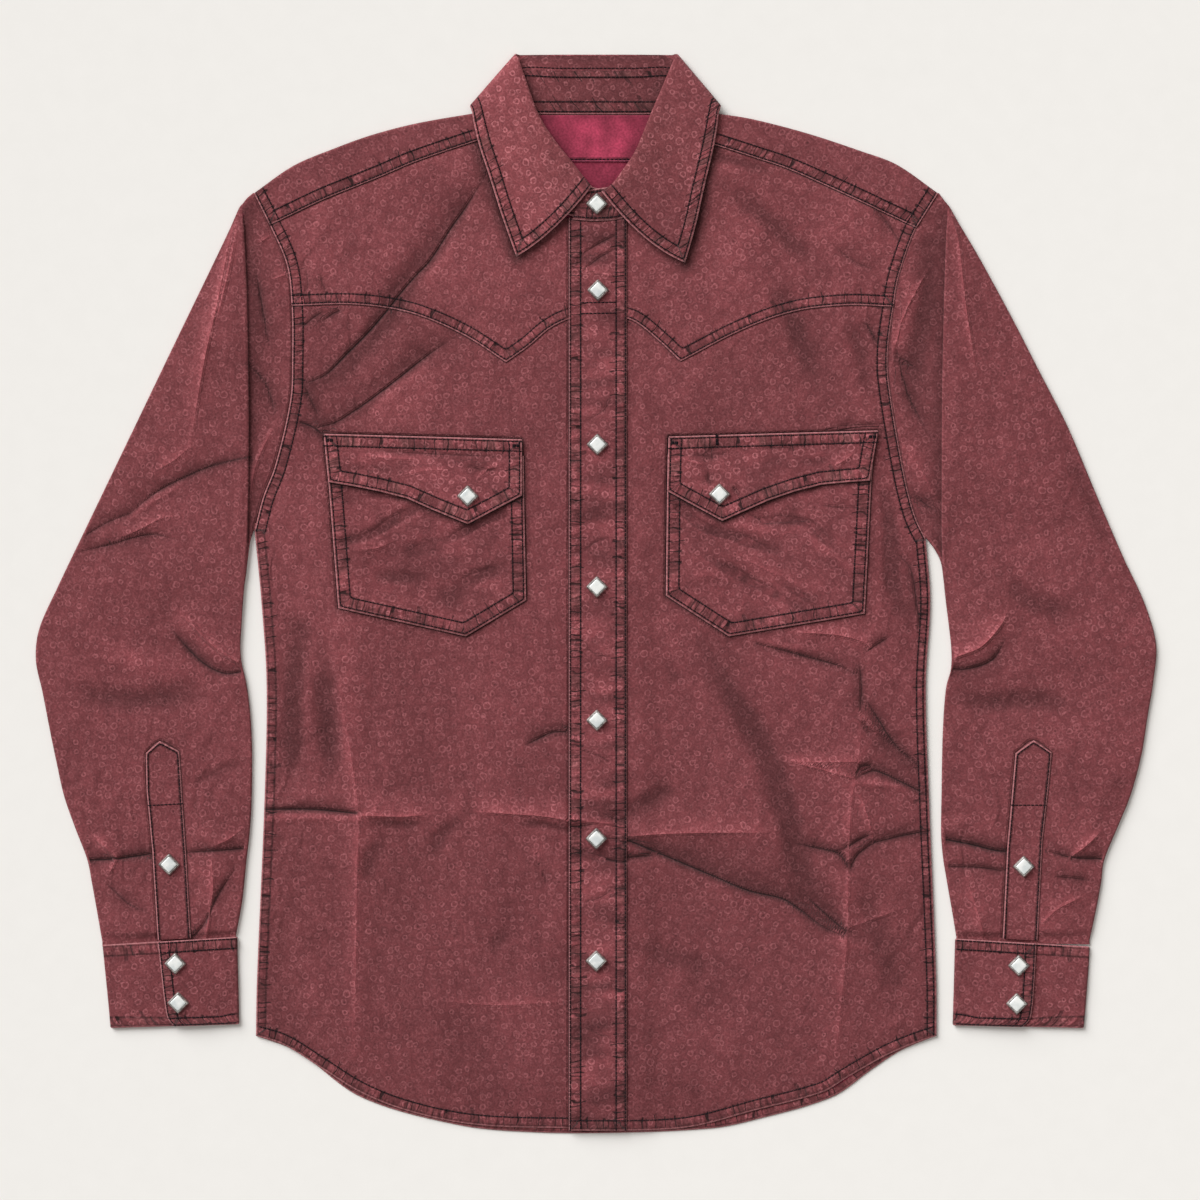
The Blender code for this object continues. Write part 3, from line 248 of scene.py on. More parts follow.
# Collar fall, from the right point round the back to the left point. Each row: the fold (x, y), the cut edge
# (x, y), the height of the wall's middle at the fold and at the cut edge, and how far the row bows.
COLLAR_FALL = [
    (-4.2, 304.4, -60.8, 252.1, 10.2, 5.9, -5), (-10.2, 311.6, -65.6, 265.6, 10, 6.2, -4),
    (-18.6, 322.5, -72.4, 285, 9.7, 6.9, -2), (-32.6, 340.1, -81.4, 313.4, 9.4, 7.4, 0),
    (-43.9, 358.5, -88.4, 334.6, 9, 7.6, 0), (-52.6, 381.5, -92.6, 352, 8.4, 7.6, 0),
    (-58.4, 398.5, -94, 361, 7.2, 6.9, 0), (-61.2, 403.9, -95.4, 364.8, 4.3, 4.2, 0),
    (-58.4, 403.7, -91, 360.4, 1, 1, 0), (-50, 403.8, -79, 350.4, 0.66, 0.66, 0),
    (-25, 404, -40, 345, 0.66, 0.66, 0), (0, 404, 0, 343, 0.66, 0.66, 0), (25, 404, 40, 345, 0.66, 0.66, 0),
    (50, 403.8, 77, 350.4, 0.66, 0.66, 0), (56, 403.7, 87.6, 360.4, 1, 1, 0),
    (59.4, 403.9, 92.4, 364.8, 4.3, 4.2, 0), (57, 399.5, 91, 361, 7.2, 6.9, 0),
    (49.4, 381.5, 89.6, 350, 8.4, 7.6, 0), (40.1, 360, 86.4, 331, 9, 7.6, 0),
    (28.4, 331.6, 79.1, 300.4, 9.5, 7.3, 0), (18.6, 316.6, 74, 277, 9.8, 6.7, -2),
    (11, 306.6, 69.4, 260, 10.1, 6.1, -4.5), (3, 300.6, 65.6, 247.5, 10.3, 5.9, -7),
]


class Snap(NamedTuple):
    """A snap cap: its name and its centre."""

    name: str
    x: float
    y: float


SNAPS = [
    Snap("collar", -0.4, 291.4),
    Snap("placket_1", 0.4, 226.9),
    Snap("placket_2", 0.0, 111.4),
    Snap("placket_3", -0.4, 4.9),
    Snap("placket_4", -0.4, -94.9),
    Snap("placket_5", -0.8, -183.4),
    Snap("placket_6", -0.8, -274.9),
    Snap("flap_right", -97.0, 72.8),
    Snap("flap_left", 91.3, 74.2),
    Snap("sleeve_right", -320.6, -202.9),
    Snap("sleeve_left", 319.1, -204.4),
    Snap("cuff_right_upper", -316.1, -277.1),
    Snap("cuff_right_lower", -313.9, -306.4),
    Snap("cuff_left_upper", 315.4, -278.6),
    Snap("cuff_left_lower", 313.9, -307.1),
]


class CreaseForm(Enum):
    """How a crease rises from its line."""

    ROLL = "roll"
    CREST = "crest"


class Crease(NamedTuple):
    """A listed crease: its line, its height (below 0: a trough), and its reach to the left and right.

    `start` and `end` say how strong it still is at its two ends, from 0 to 1.
    """

    line: Sequence[tuple[float, float]]
    height: float
    left: float
    right: float
    start: float = 0.0
    end: float = 0.0
    form: CreaseForm = CreaseForm.CREST


ROLL = CreaseForm.ROLL


def crease_table(rows: Sequence[tuple]) -> list[Crease]:
    """The creases of a table's rows."""
    return [Crease(*row) for row in rows]


BODY_CREASES = crease_table([
    # Wearer's left: the drag from the placket to the side, and the star where it meets the press line.
    ([(21, -184), (54, -198), (85, -211), (114, -223), (139, -229), (152, -237), (168, -249), (186, -258)],
     -1.5, 11, 1.5, 1, 0.5),
    ([(21, -182), (49, -180), (92, -179), (137, -179)], 0.85, 7, 1.6, 1, 0.1),
    ([(21, -198), (45, -196)], -1.1, 1.6, 2, 1, 0),
    ([(9, -167), (21, -164)], -0.7, 2, 1.5, 1, 0.2),
    ([(79, -37), (87, -57), (108, -88), (123, -112), (131, -131), (140, -157), (145, -179), (152, -205),
      (160, -231), (173, -244)], -1, 15, 15, 0.2, 0.3, ROLL),
    ([(86, -48), (108, -84), (122, -108), (131, -128), (140, -156), (146, -179), (153, -205), (161, -231),
      (173, -244)], -0.9, 6, 6, 0.1, 0.5, ROLL),
    ([(138, -124), (157, -126), (189, -126), (197, -126)], 0.8, 1.8, 3, 0.1, 0.8),
    ([(138, -124), (157, -129), (176, -134), (193, -139)], 0.7, 3, 1.5, 0.1, 1),
    ([(193, -139), (197, -130), (203, -129), (209, -131)], -1, 1.6, 1.6, 0.6, 0.3),
    ([(193, -139), (203, -134), (209, -133), (225, -140), (241, -148)], -1.3, 3.5, 1.5, 0.4, 1),
    ([(193, -142), (217, -143), (241, -151)], 0.7, 3, 5, 0.6, 0.4, ROLL),
    ([(196, -89), (197, -109), (193, -140), (190, -157), (188, -205), (187, -255), (185, -278), (182, -312),
      (177, -359)], 0.45, 1.6, 1.6, 0.4, 0.3),
    ([(196, -89), (201, -95), (209, -105)], 1, 1.5, 1.5, 0.7, 0.4),
    ([(196, -93), (201, -100), (207, -108)], -1, 3.5, 3.5, 0.5, 0.3, ROLL),
    ([(199, -76), (209, -92), (223, -113), (241, -129)], -1.2, 1.8, 7, 0.2, 0.7),
    ([(196, -50), (198, -70), (197, -88)], -0.9, 2.5, 4, 0.2, 0.8),
    ([(120, -38), (140, -43), (162, -49), (180, -54), (192, -60)], -1.1, 3.5, 1.5, 0.5, 0.4),
    ([(112, -33), (135, -39), (165, -44)], 0.8, 5, 5, 0.2, 0.2, ROLL),
    ([(144, -29), (179, -31), (199, -36), (205, -41)], 0.9, 4, 2, 0.1, 0.9),
    ([(204, -42), (220, -32)], -0.8, 1.6, 2, 0.9, 0.1),
    ([(150, -188), (170, -192), (181, -195), (188, -205)], -1.2, 3, 1.6, 0.4, 0.9),
    ([(182, -193), (196, -185), (204, -181)], -1, 1.6, 1.6, 0.3, 0.6),
    ([(207, -187), (227, -182), (248, -178)], -1.1, 3.5, 1.6, 0.9, 0.9),
    ([(190, -205), (195, -196), (207, -187)], -1, 1.8, 2.5, 0.8, 0.9),
    ([(197, -151), (203, -170), (207, -186)], 0.8, 1.5, 1.5, 0.1, 0.9),
    ([(189, -250), (228, -236)], 0.5, 5, 2, 0.4, 0),
    ([(155, -226), (173, -242), (187, -254)], -1.2, 3, 1.5, 0.2, 0.9),
    ([(173, -246), (185, -260)], 0.8, 3.5, 3.5, 0.3, 0.9, ROLL),
    ([(64, -71), (58, -62), (49, -49)], -0.5, 8, 8, 0.1, 0.1, ROLL),
    ([(28, -262), (60, -275), (96, -282)], -0.5, 12, 12, 0.2, 0.1, ROLL),
    ([(196, -215), (214, -262), (226, -310)], -0.5, 14, 14, 0.2, 0.2, ROLL),
    ([(27, -162), (43, -153), (61, -144)], -0.8, 11, 11, 0.6, 0, ROLL),
    # Wearer's left chest and side.
    ([(129, 243), (152, 190), (163, 153)], -0.9, 13, 13, 0.1, 0.3, ROLL),
    ([(186, 213), (197, 183), (204, 145)], -0.6, 10, 10, 0.2, 0.2, ROLL),
    ([(174, 125), (216, 127)], -0.5, 4, 4, 0.1, 0.3),
    ([(207, -103), (240, -129)], -0.6, 4, 4, 0.1, 0.6),
    ([(227, 28), (235, 18), (240, -12), (244, -35)], -0.9, 3, 6, 0.5, 0.2),
    ([(216, 72), (220, 40), (220, 14), (228, -14)], -1.5, 10, 8, 0.3, 0.3, ROLL),
    ([(96, 306), (118, 288), (146, 262), (170, 240)], -0.8, 12, 12, 0.2, 0.2, ROLL),
    ([(88, 328), (110, 322), (134, 314)], -0.8, 7, 7, 0.6, 0.1, ROLL),
    # Wearer's right: the cross made by the press line and the waist crease.
    ([(-196, -37), (-191, -81), (-184, -125), (-179, -166), (-180, -206), (-181, -281), (-182, -346)], 0.45,
     1.8, 1.6, 0.2, 0.4),
    ([(-204, -37), (-203, -80), (-199, -120), (-196, -150)], -1.1, 15, 15, 0.2, 0, ROLL),
    ([(-249, -162), (-212, -162), (-179, -165)], -1.4, 3.5, 1.5, 1, 0.9),
    ([(-249, -167), (-212, -167), (-181, -169)], 0.7, 4, 7, 0.8, 0.6, ROLL),
    ([(-179, -166), (-147, -167), (-121, -165)], 0.9, 5, 1.6, 0.7, 0),
    ([(-170, -171), (-148, -173), (-126, -172)], -0.8, 4, 7, 0.5, 0, ROLL),
    ([(-96, -163), (-65, -165), (-38, -167), (-22, -170)], 1, 6, 1.6, 0, 1),
    ([(-60, -172), (-40, -173), (-22, -177)], -0.9, 4, 6, 0, 1, ROLL),
    ([(-22, -104), (-33, -104), (-44, -109), (-56, -115)], -1.1, 2, 3, 1, 0),
    ([(-46, -195), (-43, -205), (-36, -222)], -0.5, 3, 6, 0.1, 0.1),
    ([(-98, -166), (-118, -183), (-122, -203)], -0.6, 9, 9, 0.5, 0, ROLL),
    ([(-160, -183), (-170, -200), (-173, -223)], -0.7, 10, 10, 0.2, 0.1, ROLL),
    ([(-46, -183), (-43, -203), (-39, -219)], 0.4, 4, 3, 0.1, 0.1),
    ([(-65, -252), (-82, -271)], -0.5, 10, 10, 0.1, 0.1, ROLL),
    ([(-222, -27), (-228, -76), (-230, -125), (-241, -144)], -1.1, 14, 14, 0.6, 0.2, ROLL),
    ([(-126, -304), (-81, -308), (-30, -306)], 0.5, 5, 4, 0.1, 0.6),
    # Wearer's right chest: the drag from the collar to the armhole.
    ([(-84, 312), (-98, 290), (-110, 273), (-125.5, 249), (-136, 238), (-148, 224)], -1.3, 1.6, 9, 0.2, 1),
    ([(-148, 224), (-159, 210), (-172, 195), (-189, 178), (-203, 164), (-216, 158)], -1.5, 9, 1.6, 1, 0.4),
    ([(-100, 268), (-126, 234), (-140, 219)], 0.5, 12, 12, 0.1, 0.3, ROLL),
    ([(-168, 206), (-186, 187), (-204, 171)], 0.5, 12, 12, 0.3, 0.2, ROLL),
    ([(-106, 192), (-119, 184), (-134, 173), (-149, 161), (-170, 145), (-186, 134), (-198, 127), (-207, 125)],
     -1.3, 1.6, 7, 0.1, 0.6),
    ([(-122, 174), (-149, 152), (-172, 135)], 0.5, 12, 12, 0.1, 0.1, ROLL),
    ([(-222, 128), (-214, 125), (-207, 120)], -1.3, 1.8, 4, 0.8, 0.8),
    ([(-219, 201), (-212, 207), (-204, 212)], -0.8, 1.6, 3, 0.9, 0.1),
    ([(-206, 204), (-197, 210), (-189, 213)], -0.8, 1.6, 3, 0.3, 0.1),
    ([(-208, 239), (-206, 232), (-203, 226)], -0.6, 1.6, 2.5, 0.1, 0.7),
    ([(-219, 244), (-217, 234), (-218, 225)], -0.5, 2, 2, 0.2, 0.4),
    ([(-220, 158), (-213, 141), (-208, 132)], -0.8, 3, 1.6, 0.4, 0.3),
    ([(200, 205), (204, 198), (209, 189)], -0.9, 1.6, 3, 0.1, 0.9),
    ([(206, 292), (217, 278), (225, 266)], -0.7, 3, 1.8, 0.1, 0.8),
    ([(176, 262), (190, 250), (210, 241)], -0.5, 6, 3, 0.1, 0.2),
])
PLACKET_CREASES = crease_table([
    ([(-21, -168), (-4, -171), (21, -173)], 0.7, 3, 2, 0.9, 0.5),
    ([(-21, -174), (-8, -174), (0, -172)], -0.8, 1.6, 2, 0.9, 0.2),
    ([(8, -166), (14, -170), (21, -168)], -0.8, 2, 1.6, 0.3, 0.9),
    ([(6, -183), (14, -184), (21, -187)], -1, 2, 1.6, 0.4, 1),
    ([(-18, -191), (-8, -195), (6, -199), (21, -201)], -1.3, 3, 1.6, 0.8, 0.9),
    ([(16, 269), (2, 262), (-14, 252)], -0.8, 2, 3.5, 0.4, 0.2),
    ([(14, 258), (0, 250), (-12, 240)], -0.7, 2.5, 3.5, 0.3, 0.2),
    ([(16, 264), (4, 257), (-8, 248)], 0.5, 4, 4, 0.3, 0.2, ROLL),
    ([(-14, 246), (4, 239), (16, 236)], 0.5, 3, 3, 0.2, 0.4),
    ([(-10, 128), (6, 138), (12, 152)], -0.4, 5, 3, 0.1, 0.1),
    ([(-12, 30), (2, 40), (13, 42)], -0.4, 4, 3, 0.1, 0.2),
    ([(-12, -38), (0, -46), (13, -48)], -0.5, 3, 4, 0.2, 0.2),
    ([(-13, -118), (2, -122), (14, -130)], -0.4, 4, 3, 0.2, 0.1),
    ([(-12, -232), (2, -228), (13, -220)], -0.5, 3, 4, 0.2, 0.1),
    ([(-12, -322), (0, -330), (13, -334)], -0.4, 4, 4, 0.1, 0.2),
])
POCKET_CREASES = {
    "right": crease_table([
        ([(-188, 38), (-172, 42), (-158, 50), (-142, 59), (-126, 66)], -1.2, 8, 5, 0.7, 0.3, ROLL),
        ([(-150, 30), (-132, 33), (-112, 38)], -0.8, 10, 10, 0.2, 0.2, ROLL),
        ([(-117, 38), (-100, 45), (-84, 54), (-70, 58)], -1.1, 7, 4, 0.3, 0.7, ROLL),
        ([(-104, 5), (-90, 12), (-69, 20)], -1, 8, 8, 0.1, 0.1, ROLL),
        ([(-176, 72), (-160, 74), (-140, 72)], -0.7, 5, 5, 0.1, 0.1, ROLL),
        ([(-170, 16), (-150, 10), (-130, 12)], -0.7, 9, 6, 0.1, 0.1, ROLL),
        ([(-184, 33), (-165, 34), (-150, 41)], 0.5, 5, 3, 0.1, 0.1),
        ([(-130, 0), (-112, -2), (-96, 2)], -0.4, 10, 10, 0.1, 0.1, ROLL),
        ([(-120, 66), (-104, 60), (-92, 64)], 0.4, 4, 5, 0.1, 0.1),
    ]),
    "left": crease_table([
        ([(60, 63), (83, 47), (102, 42), (119, 35), (136, 31)], -1.3, 7, 4, 0.8, 0.2, ROLL),
        ([(80, 27), (102, 15), (121, 5), (144, -8), (152, -12)], -1.3, 7, 4, 0.3, 0.4, ROLL),
        ([(136, 56), (161, 51), (169, 42), (182, 31)], -0.9, 6, 4, 0.4, 0.3, ROLL),
        ([(136, 8), (152, -1), (164, -8)], -0.8, 6, 6, 0.2, 0.2, ROLL),
        ([(94, 55), (123, 47), (148, 45)], 0.6, 5, 6, 0.2, 0.2, ROLL),
        ([(112, 60), (126, 54), (144, 54), (162, 50)], -0.8, 2.5, 1.8, 0.2, 0.1),
        ([(155, 44), (175, 29), (191, 17)], 0.7, 5, 6, 0.3, 0.3, ROLL),
        ([(166, 66), (182, 64), (192, 64)], -0.5, 3, 3, 0.1, 0.5),
        ([(70, 12), (84, 14), (96, 10)], 0.5, 6, 6, 0.1, 0.1, ROLL),
        ([(104, 30), (122, 20), (142, 10)], 0.6, 5, 4, 0.1, 0.1),
    ]),
}
FLAP_CREASES = {
    "right": crease_table([
        ([(-190, 93), (-172, 93), (-154, 91)], -0.6, 6, 4, 0.3, 0.1, ROLL),
        ([(-172, 107), (-140, 105), (-96, 103), (-66, 102)], -0.6, 2.5, 3.5, 0.2, 0.2),
        ([(-186, 104), (-150, 101), (-120, 100)], 0.5, 3, 3, 0.1, 0.1),
        ([(-150, 88), (-128, 92), (-108, 92)], 0.4, 3, 3, 0.1, 0.1),
        ([(-92, 84), (-80, 94), (-68, 98)], 0.5, 4, 3, 0.1, 0.1),
        ([(-100, 96), (-84, 92), (-70, 92)], -0.5, 3, 3, 0.1, 0.1),
    ]),
    "left": crease_table([
        ([(88, 110), (85, 105), (81, 99)], -0.8, 1.5, 2.5, 0.9, 0.1),
        ([(61, 102), (72, 98), (83, 96)], 0.6, 1.5, 2, 0.6, 0.2),
        ([(83, 91), (83, 86), (86, 80)], -0.6, 1.6, 1.6, 0.2, 0.2),
        ([(100, 80), (104, 77), (107, 72)], -0.7, 1.8, 1.8, 0.2, 0.4),
        ([(150, 99), (164, 98), (178, 101)], -0.6, 5, 5, 0.1, 0.1, ROLL),
        ([(176, 95), (184, 99), (192, 105)], 0.6, 2.5, 2.5, 0.1, 0.3),
        ([(66, 104), (80, 103), (100, 104)], -0.5, 2, 3, 0.2, 0.1),
        ([(112, 108), (140, 109), (172, 112)], -0.4, 3, 2, 0.1, 0.2),
    ]),
}
SLEEVE_CREASES = {
    "right": crease_table([
        ([(-272, 279), (-276, 263), (-285, 216), (-294, 176), (-301, 136), (-305, 110)], 0.9, 2, 6, 0.6, 0.2),
        ([(-261, 102), (-287, 96), (-309, 87), (-330, 76), (-350, 60)], -1, 3, 1.6, 0.7, 0.4),
        ([(-308, 83), (-329, 72), (-350, 56)], 0.8, 4, 4, 0.3, 0.8, ROLL),
        ([(-350, 60), (-367, 53), (-385, 43), (-398, 38)], -0.7, 2, 4, 0.8, 0.1),
        ([(-312, 58), (-327, 56), (-343, 48), (-363, 39)], 0.7, 3, 2, 0.2, 0.1),
        ([(-392, 30), (-367, 36), (-334, 44), (-312, 39)], -0.9, 2, 5, 0.3, 0.1),
        ([(-305, 110), (-318, 99), (-332, 92)], 0.6, 3, 2, 0.5, 0.1),
        ([(-263, -54), (-277, -47), (-294, -33), (-307, -19), (-319, -9)], 1.3, 6, 1.8, 1, 0),
        ([(-262, -58), (-280, -60), (-298, -50), (-322, -24)], -1.2, 1.8, 7, 0.9, 0.1),
        ([(-398, -74), (-350, -80), (-318, -78), (-290, -70)], -0.9, 14, 14, 0.1, 0.1, ROLL),
        ([(-378, -37), (-345, -52), (-300, -60)], 0.8, 14, 14, 0.2, 0.2, ROLL),
        ([(-382, -200), (-361, -199), (-333, -195), (-325, -193)], -1.4, 3.5, 1.6, 1, 0.5),
        ([(-305, -194), (-287, -193), (-262, -191)], -1.1, 3.5, 1.6, 0.6, 1),
        ([(-379, -180), (-370, -188), (-360, -198)], 1, 1.6, 3, 0, 0.8),
        ([(-360, -198), (-366, -211)], 0.9, 1.5, 2.5, 0.8, 0.2),
        ([(-289, -200), (-288, -222), (-293, -257)], 0.9, 1.6, 2.2, 0.3, 1),
        ([(-271, -206), (-284, -226), (-294, -247), (-302, -257)], -1, 4, 1.8, 0.1, 0.8),
        ([(-371, -214), (-352, -232), (-336, -240)], -0.7, 5, 5, 0.1, 0.3),
        ([(-266, -176), (-276, -184), (-290, -190)], 0.7, 4, 4, 0.4, 0.1),
        ([(-262, -125), (-285, -134), (-305, -146)], -0.6, 7, 7, 0.2, 0, ROLL),
        ([(-270, 276), (-276, 242), (-286, 200)], 0.7, 2.4, 2.4, 0.3, 0),
        ([(-256, 242), (-251, 214), (-247, 190)], -0.9, 3, 3, 0.3, 0.6),
        ([(-254, 262), (-246, 268)], 0.6, 3, 3, 0.2, 0.6),
        ([(-244, 235), (-233, 239)], 0.6, 3, 3, 0.1, 0.8),
        ([(-262, 172), (-249, 158), (-240, 130)], -0.8, 4, 3, 0.6, 0.2),
        ([(-240, 130), (-256, 96), (-262, 60)], 0.7, 4, 4, 0.2, 0.4),
    ]),
    "left": crease_table([
        ([(262, 290), (267, 276), (270, 266), (276, 214), (286, 150)], 0.8, 2, 4, 0.9, 0),
        ([(248, 262), (246, 222), (240, 180), (240, 140)], -1.2, 12, 12, 0.4, 0.2, ROLL),
        ([(224, 178), (233, 173), (241, 167)], -0.8, 2, 3, 0.6, 0.1),
        ([(262, -51), (270, -47), (287, -40), (303, -22), (309, -8)], 1.2, 6, 1.8, 1, 0),
        ([(262, -56), (276, -57), (296, -50), (306, -34)], -1.1, 1.8, 6, 0.8, 0.1),
        ([(262, -76), (290, -82), (330, -80), (364, -88)], -1, 13, 13, 0.2, 0.1, ROLL),
        ([(300, 12), (330, -8), (366, -16)], -0.7, 13, 13, 0.1, 0, ROLL),
        ([(258, -184), (279, -188), (300, -193), (320, -194)], -1.5, 3.5, 1.6, 1, 0.6),
        ([(262, -205), (290, -206), (312, -210)], -0.9, 3, 1.6, 0.8, 0.3),
        ([(340, -194), (356, -198), (380, -199)], -1.2, 3.5, 1.6, 0.4, 1),
        ([(378, -177), (368, -187), (354, -198)], 1.1, 1.6, 3, 0.1, 0.7),
        ([(334, -246), (345, -236), (366, -226)], 0.7, 6, 5, 0.8, 0.1),
        ([(340, -212), (360, -214), (372, -216)], -0.7, 4, 4, 0.2, 0.2),
        ([(277, -215), (285, -240), (289, -256)], 0.6, 3, 3, 0.1, 0.9),
        ([(352, 120), (372, 66), (396, 20)], -0.6, 14, 14, 0.1, 0.1, ROLL),
        ([(252, 250), (230, 209), (220, 172)], 1, 6, 3, 0.1, 0.3),
        ([(224, 184), (233, 149), (248, 120)], -0.9, 4, 4, 0.6, 0.2),
        ([(228, 236), (236, 222)], 0.5, 3, 3, 0.2, 0.2),
        ([(222, 120), (240, 96), (255, 70)], 0.8, 4, 4, 0.2, 0.4),
        ([(236, 74), (254, 61)], -0.8, 3, 3, 0.4, 0.2),
    ]),
}


FINEST = 2.4  # least reach of a crease, as fine as the grids can hold
ROUND = 1.4  # radius of a crease's edge
FAR = 60.0  # stands for the distance to a seam or a crease where there is none near


# Curves and fields, all in millimetres.


def smooth(share: Array) -> Array:
    """0 below 0, 1 above 1, and an even S between them."""
    share = np.clip(share, 0.0, 1.0)
    return share * share * (3.0 - 2.0 * share)


def curve(points: Sequence, step: float = 3.0) -> Array:
    """A smooth curve through points of any dimension.

    Each stretch is a cubic whose slope at a knot is the slope between its two neighbours.

    Args:
        points: The knots.
        step: Distance between points of the result.

    Returns:
        The points, one row each.
    """
    knots = np.array(points, float)
    gaps = np.maximum(np.linalg.norm(np.diff(knots, axis=0), axis=1), 1e-6)
    at = np.concatenate([[0.0], np.cumsum(gaps)])
    slope = np.empty_like(knots)
    slope[1:-1] = (knots[2:] - knots[:-2]) / (at[2:] - at[:-2])[:, None]
    slope[0], slope[-1] = (knots[1] - knots[0]) / gaps[0], (knots[-1] - knots[-2]) / gaps[-1]
    out = []
    for i, gap in enumerate(gaps):
        t = (np.arange(max(1, round(gap / step))) / max(1, round(gap / step)))[:, None]
        out.append((1 + 2 * t) * (1 - t) ** 2 * knots[i] + t * (1 - t) ** 2 * gap * slope[i]
                   + t * t * (3 - 2 * t) * knots[i + 1] + t * t * (t - 1) * gap * slope[i + 1])
    return np.vstack([*out, knots[-1]])


def lengths(line: Array) -> Array:
    """How far along a line each of its points lies."""
    return np.concatenate([[0.0], np.cumsum(np.linalg.norm(np.diff(line, axis=0), axis=1))])


def resampled(line: Array, shares: Array) -> Array:
    """Points of a line at the given shares of its length."""
    line = np.asarray(line, float)
    along = lengths(line)
    return np.stack([np.interp(np.asarray(shares) * along[-1], along, line[:, axis])
                     for axis in range(line.shape[1])], axis=1)


def part_of(line: Array, start: Sequence, end: Sequence) -> Array:
    """The stretch of a line from the point nearest to `start` to the one nearest to `end`."""
    first = int(np.linalg.norm(line - np.array(start), axis=1).argmin())
    last = int(np.linalg.norm(line - np.array(end), axis=1).argmin())
    return line[first : last + 1] if first <= last else line[last : first + 1][::-1]


def share_of(line: Array, point: Sequence) -> float:
    """The share of a line's length at which it passes a point."""
    along = lengths(line)
    return float(along[np.linalg.norm(line - np.array(point), axis=1).argmin()] / along[-1])


def nearest(x: Array, y: Array, line: Array) -> tuple[Array, Array]:
    """Where points lie against a line.

    Args:
        x: Places across.
        y: Places up.
        line: The line, as straight stretches.

    Returns:
        The distance, positive to the line's left, and how far along the line its nearest point lies.
    """
    best, side, run = np.full(np.shape(x), np.inf), np.ones(np.shape(x)), np.zeros(np.shape(x))
    passed = 0.0
    for (x0, y0), (x1, y1) in zip(line, line[1:]):
        dx, dy = x1 - x0, y1 - y0
        length = max(float(np.hypot(dx, dy)), 1e-9)
        along = np.clip(((x - x0) * dx + (y - y0) * dy) / length**2, 0.0, 1.0)
        off_x, off_y = x - x0 - along * dx, y - y0 - along * dy
        gap = np.hypot(off_x, off_y)
        closer = gap < best
        best = np.where(closer, gap, best)
        side = np.where(closer, np.where(dx * off_y - dy * off_x >= 0, 1.0, -1.0), side)
        run = np.where(closer, passed + along * length, run)
        passed += length
    return best * side, run


def swell(x: Array, y: Array, cell: float, seed: int) -> Array:
    """A soft random field from -1 to 1: values at the nodes of a turned lattice, blended by an S curve."""
    table = np.random.default_rng(seed).uniform(-1.0, 1.0, (64, 64))
    turn = 0.5 + seed
    across = (x * np.cos(turn) + y * np.sin(turn)) / cell + 1000.0
    up = (y * np.cos(turn) - x * np.sin(turn)) / cell + 1000.0
    i, j = np.floor(across).astype(int), np.floor(up).astype(int)
    a, b = smooth(across - i), smooth(up - j)

    def node(di: int, dj: int) -> Array:
        """The value at one corner of each point's cell."""
        return table[(i + di) % 64, (j + dj) % 64]

    return (node(0, 0) * (1 - a) + node(1, 0) * a) * (1 - b) + (node(0, 1) * (1 - a) + node(1, 1) * a) * b


def fade(crease: Crease, share: Array) -> Array:
    """How strong a crease is at shares of its length: its own height within, less towards its ends."""
    return np.minimum(crease.start + (1 - crease.start) * smooth(share / 0.35),
                      crease.end + (1 - crease.end) * smooth((1 - share) / 0.35))


def crease_lines(x: Array, y: Array, creases: Sequence[Crease]) -> dict[str, Array]:
    """How points lie against the nearest sharp crease, for the fine line of painted shade and highlight that
    the finish draws along it.

    Args:
        x: Places across.
        y: Places up.
        creases: The creases. Rolls have no line.

    Returns:
        "line", the signed distance, which grows faster past 2 mm so that two neighbours don't meet in a false
        line, and "press", the crease's height there, which is 0 past its ends.
    """
    line, press = np.full(np.shape(x), FAR), np.zeros(np.shape(x))
    for crease in creases:
        if crease.form is CreaseForm.ROLL:
            continue
        path = curve(crease.line, 4.0)
        (low_x, low_y), (high_x, high_y) = path.min(axis=0) - 9.0, path.max(axis=0) + 9.0
        near = (x > low_x) & (x < high_x) & (y > low_y) & (y < high_y)
        off, run = nearest(x[near], y[near], path)
        share = run / lengths(path)[-1]
        past = (share <= 0.0) | (share >= 1.0)
        strength = crease.height * fade(crease, share) * np.where(past, np.exp(-((off / 2.0) ** 2)), 1.0)
        closer = np.abs(off) < np.abs(line[near])
        line[near] = np.where(closer, off, line[near])
        press[near] = np.where(closer, strength, press[near])
    return {"line": line * (1.0 + (line / 2.4) ** 4), "press": press}


def shadow_line(path: Sequence, depth: float = -1.1) -> Crease:
    """A painted shadow line on the cloth below, along the edge of a piece that lies on it; the finish darkens
    it there and bumps it down a little.
    """
    return Crease(path, depth, 1.0, 1.0, 1.0, 1.0)


def hump(share: Array) -> Array:
    """A squared cosine: 1 in the middle, 0 past its reach."""
    return np.cos(np.clip(np.abs(share), 0.0, 1.0) * np.pi / 2) ** 2


def fold_relief(x: Array, y: Array, folds: Sequence[Fold]) -> Array:
    """Height that large folds add."""
    return sum(fold.height * hump(nearest(x, y, fold.line)[0] / fold.half_width) for fold in folds)


def crease_relief(x: Array, y: Array, creases: Sequence[Crease]) -> Array:
    """Height that creases add.

    A roll is a squared cosine over its reach. A crest falls off as exp(-d / reach) from a slightly rounded
    edge. Both fade towards their ends.
    """
    total = np.zeros(np.shape(x))
    for crease in creases:
        line = curve(crease.line, 9.0)
        off, run = nearest(x, y, line)
        share = run / lengths(line)[-1]
        reach = np.maximum(np.where(off > 0, crease.left, crease.right), FINEST)
        if crease.form is CreaseForm.ROLL:
            form = hump(off / reach)
        else:
            form = np.exp(-(np.hypot(off, ROUND) - ROUND) / reach)
        total += crease.height * form * fade(crease, share)
    return total


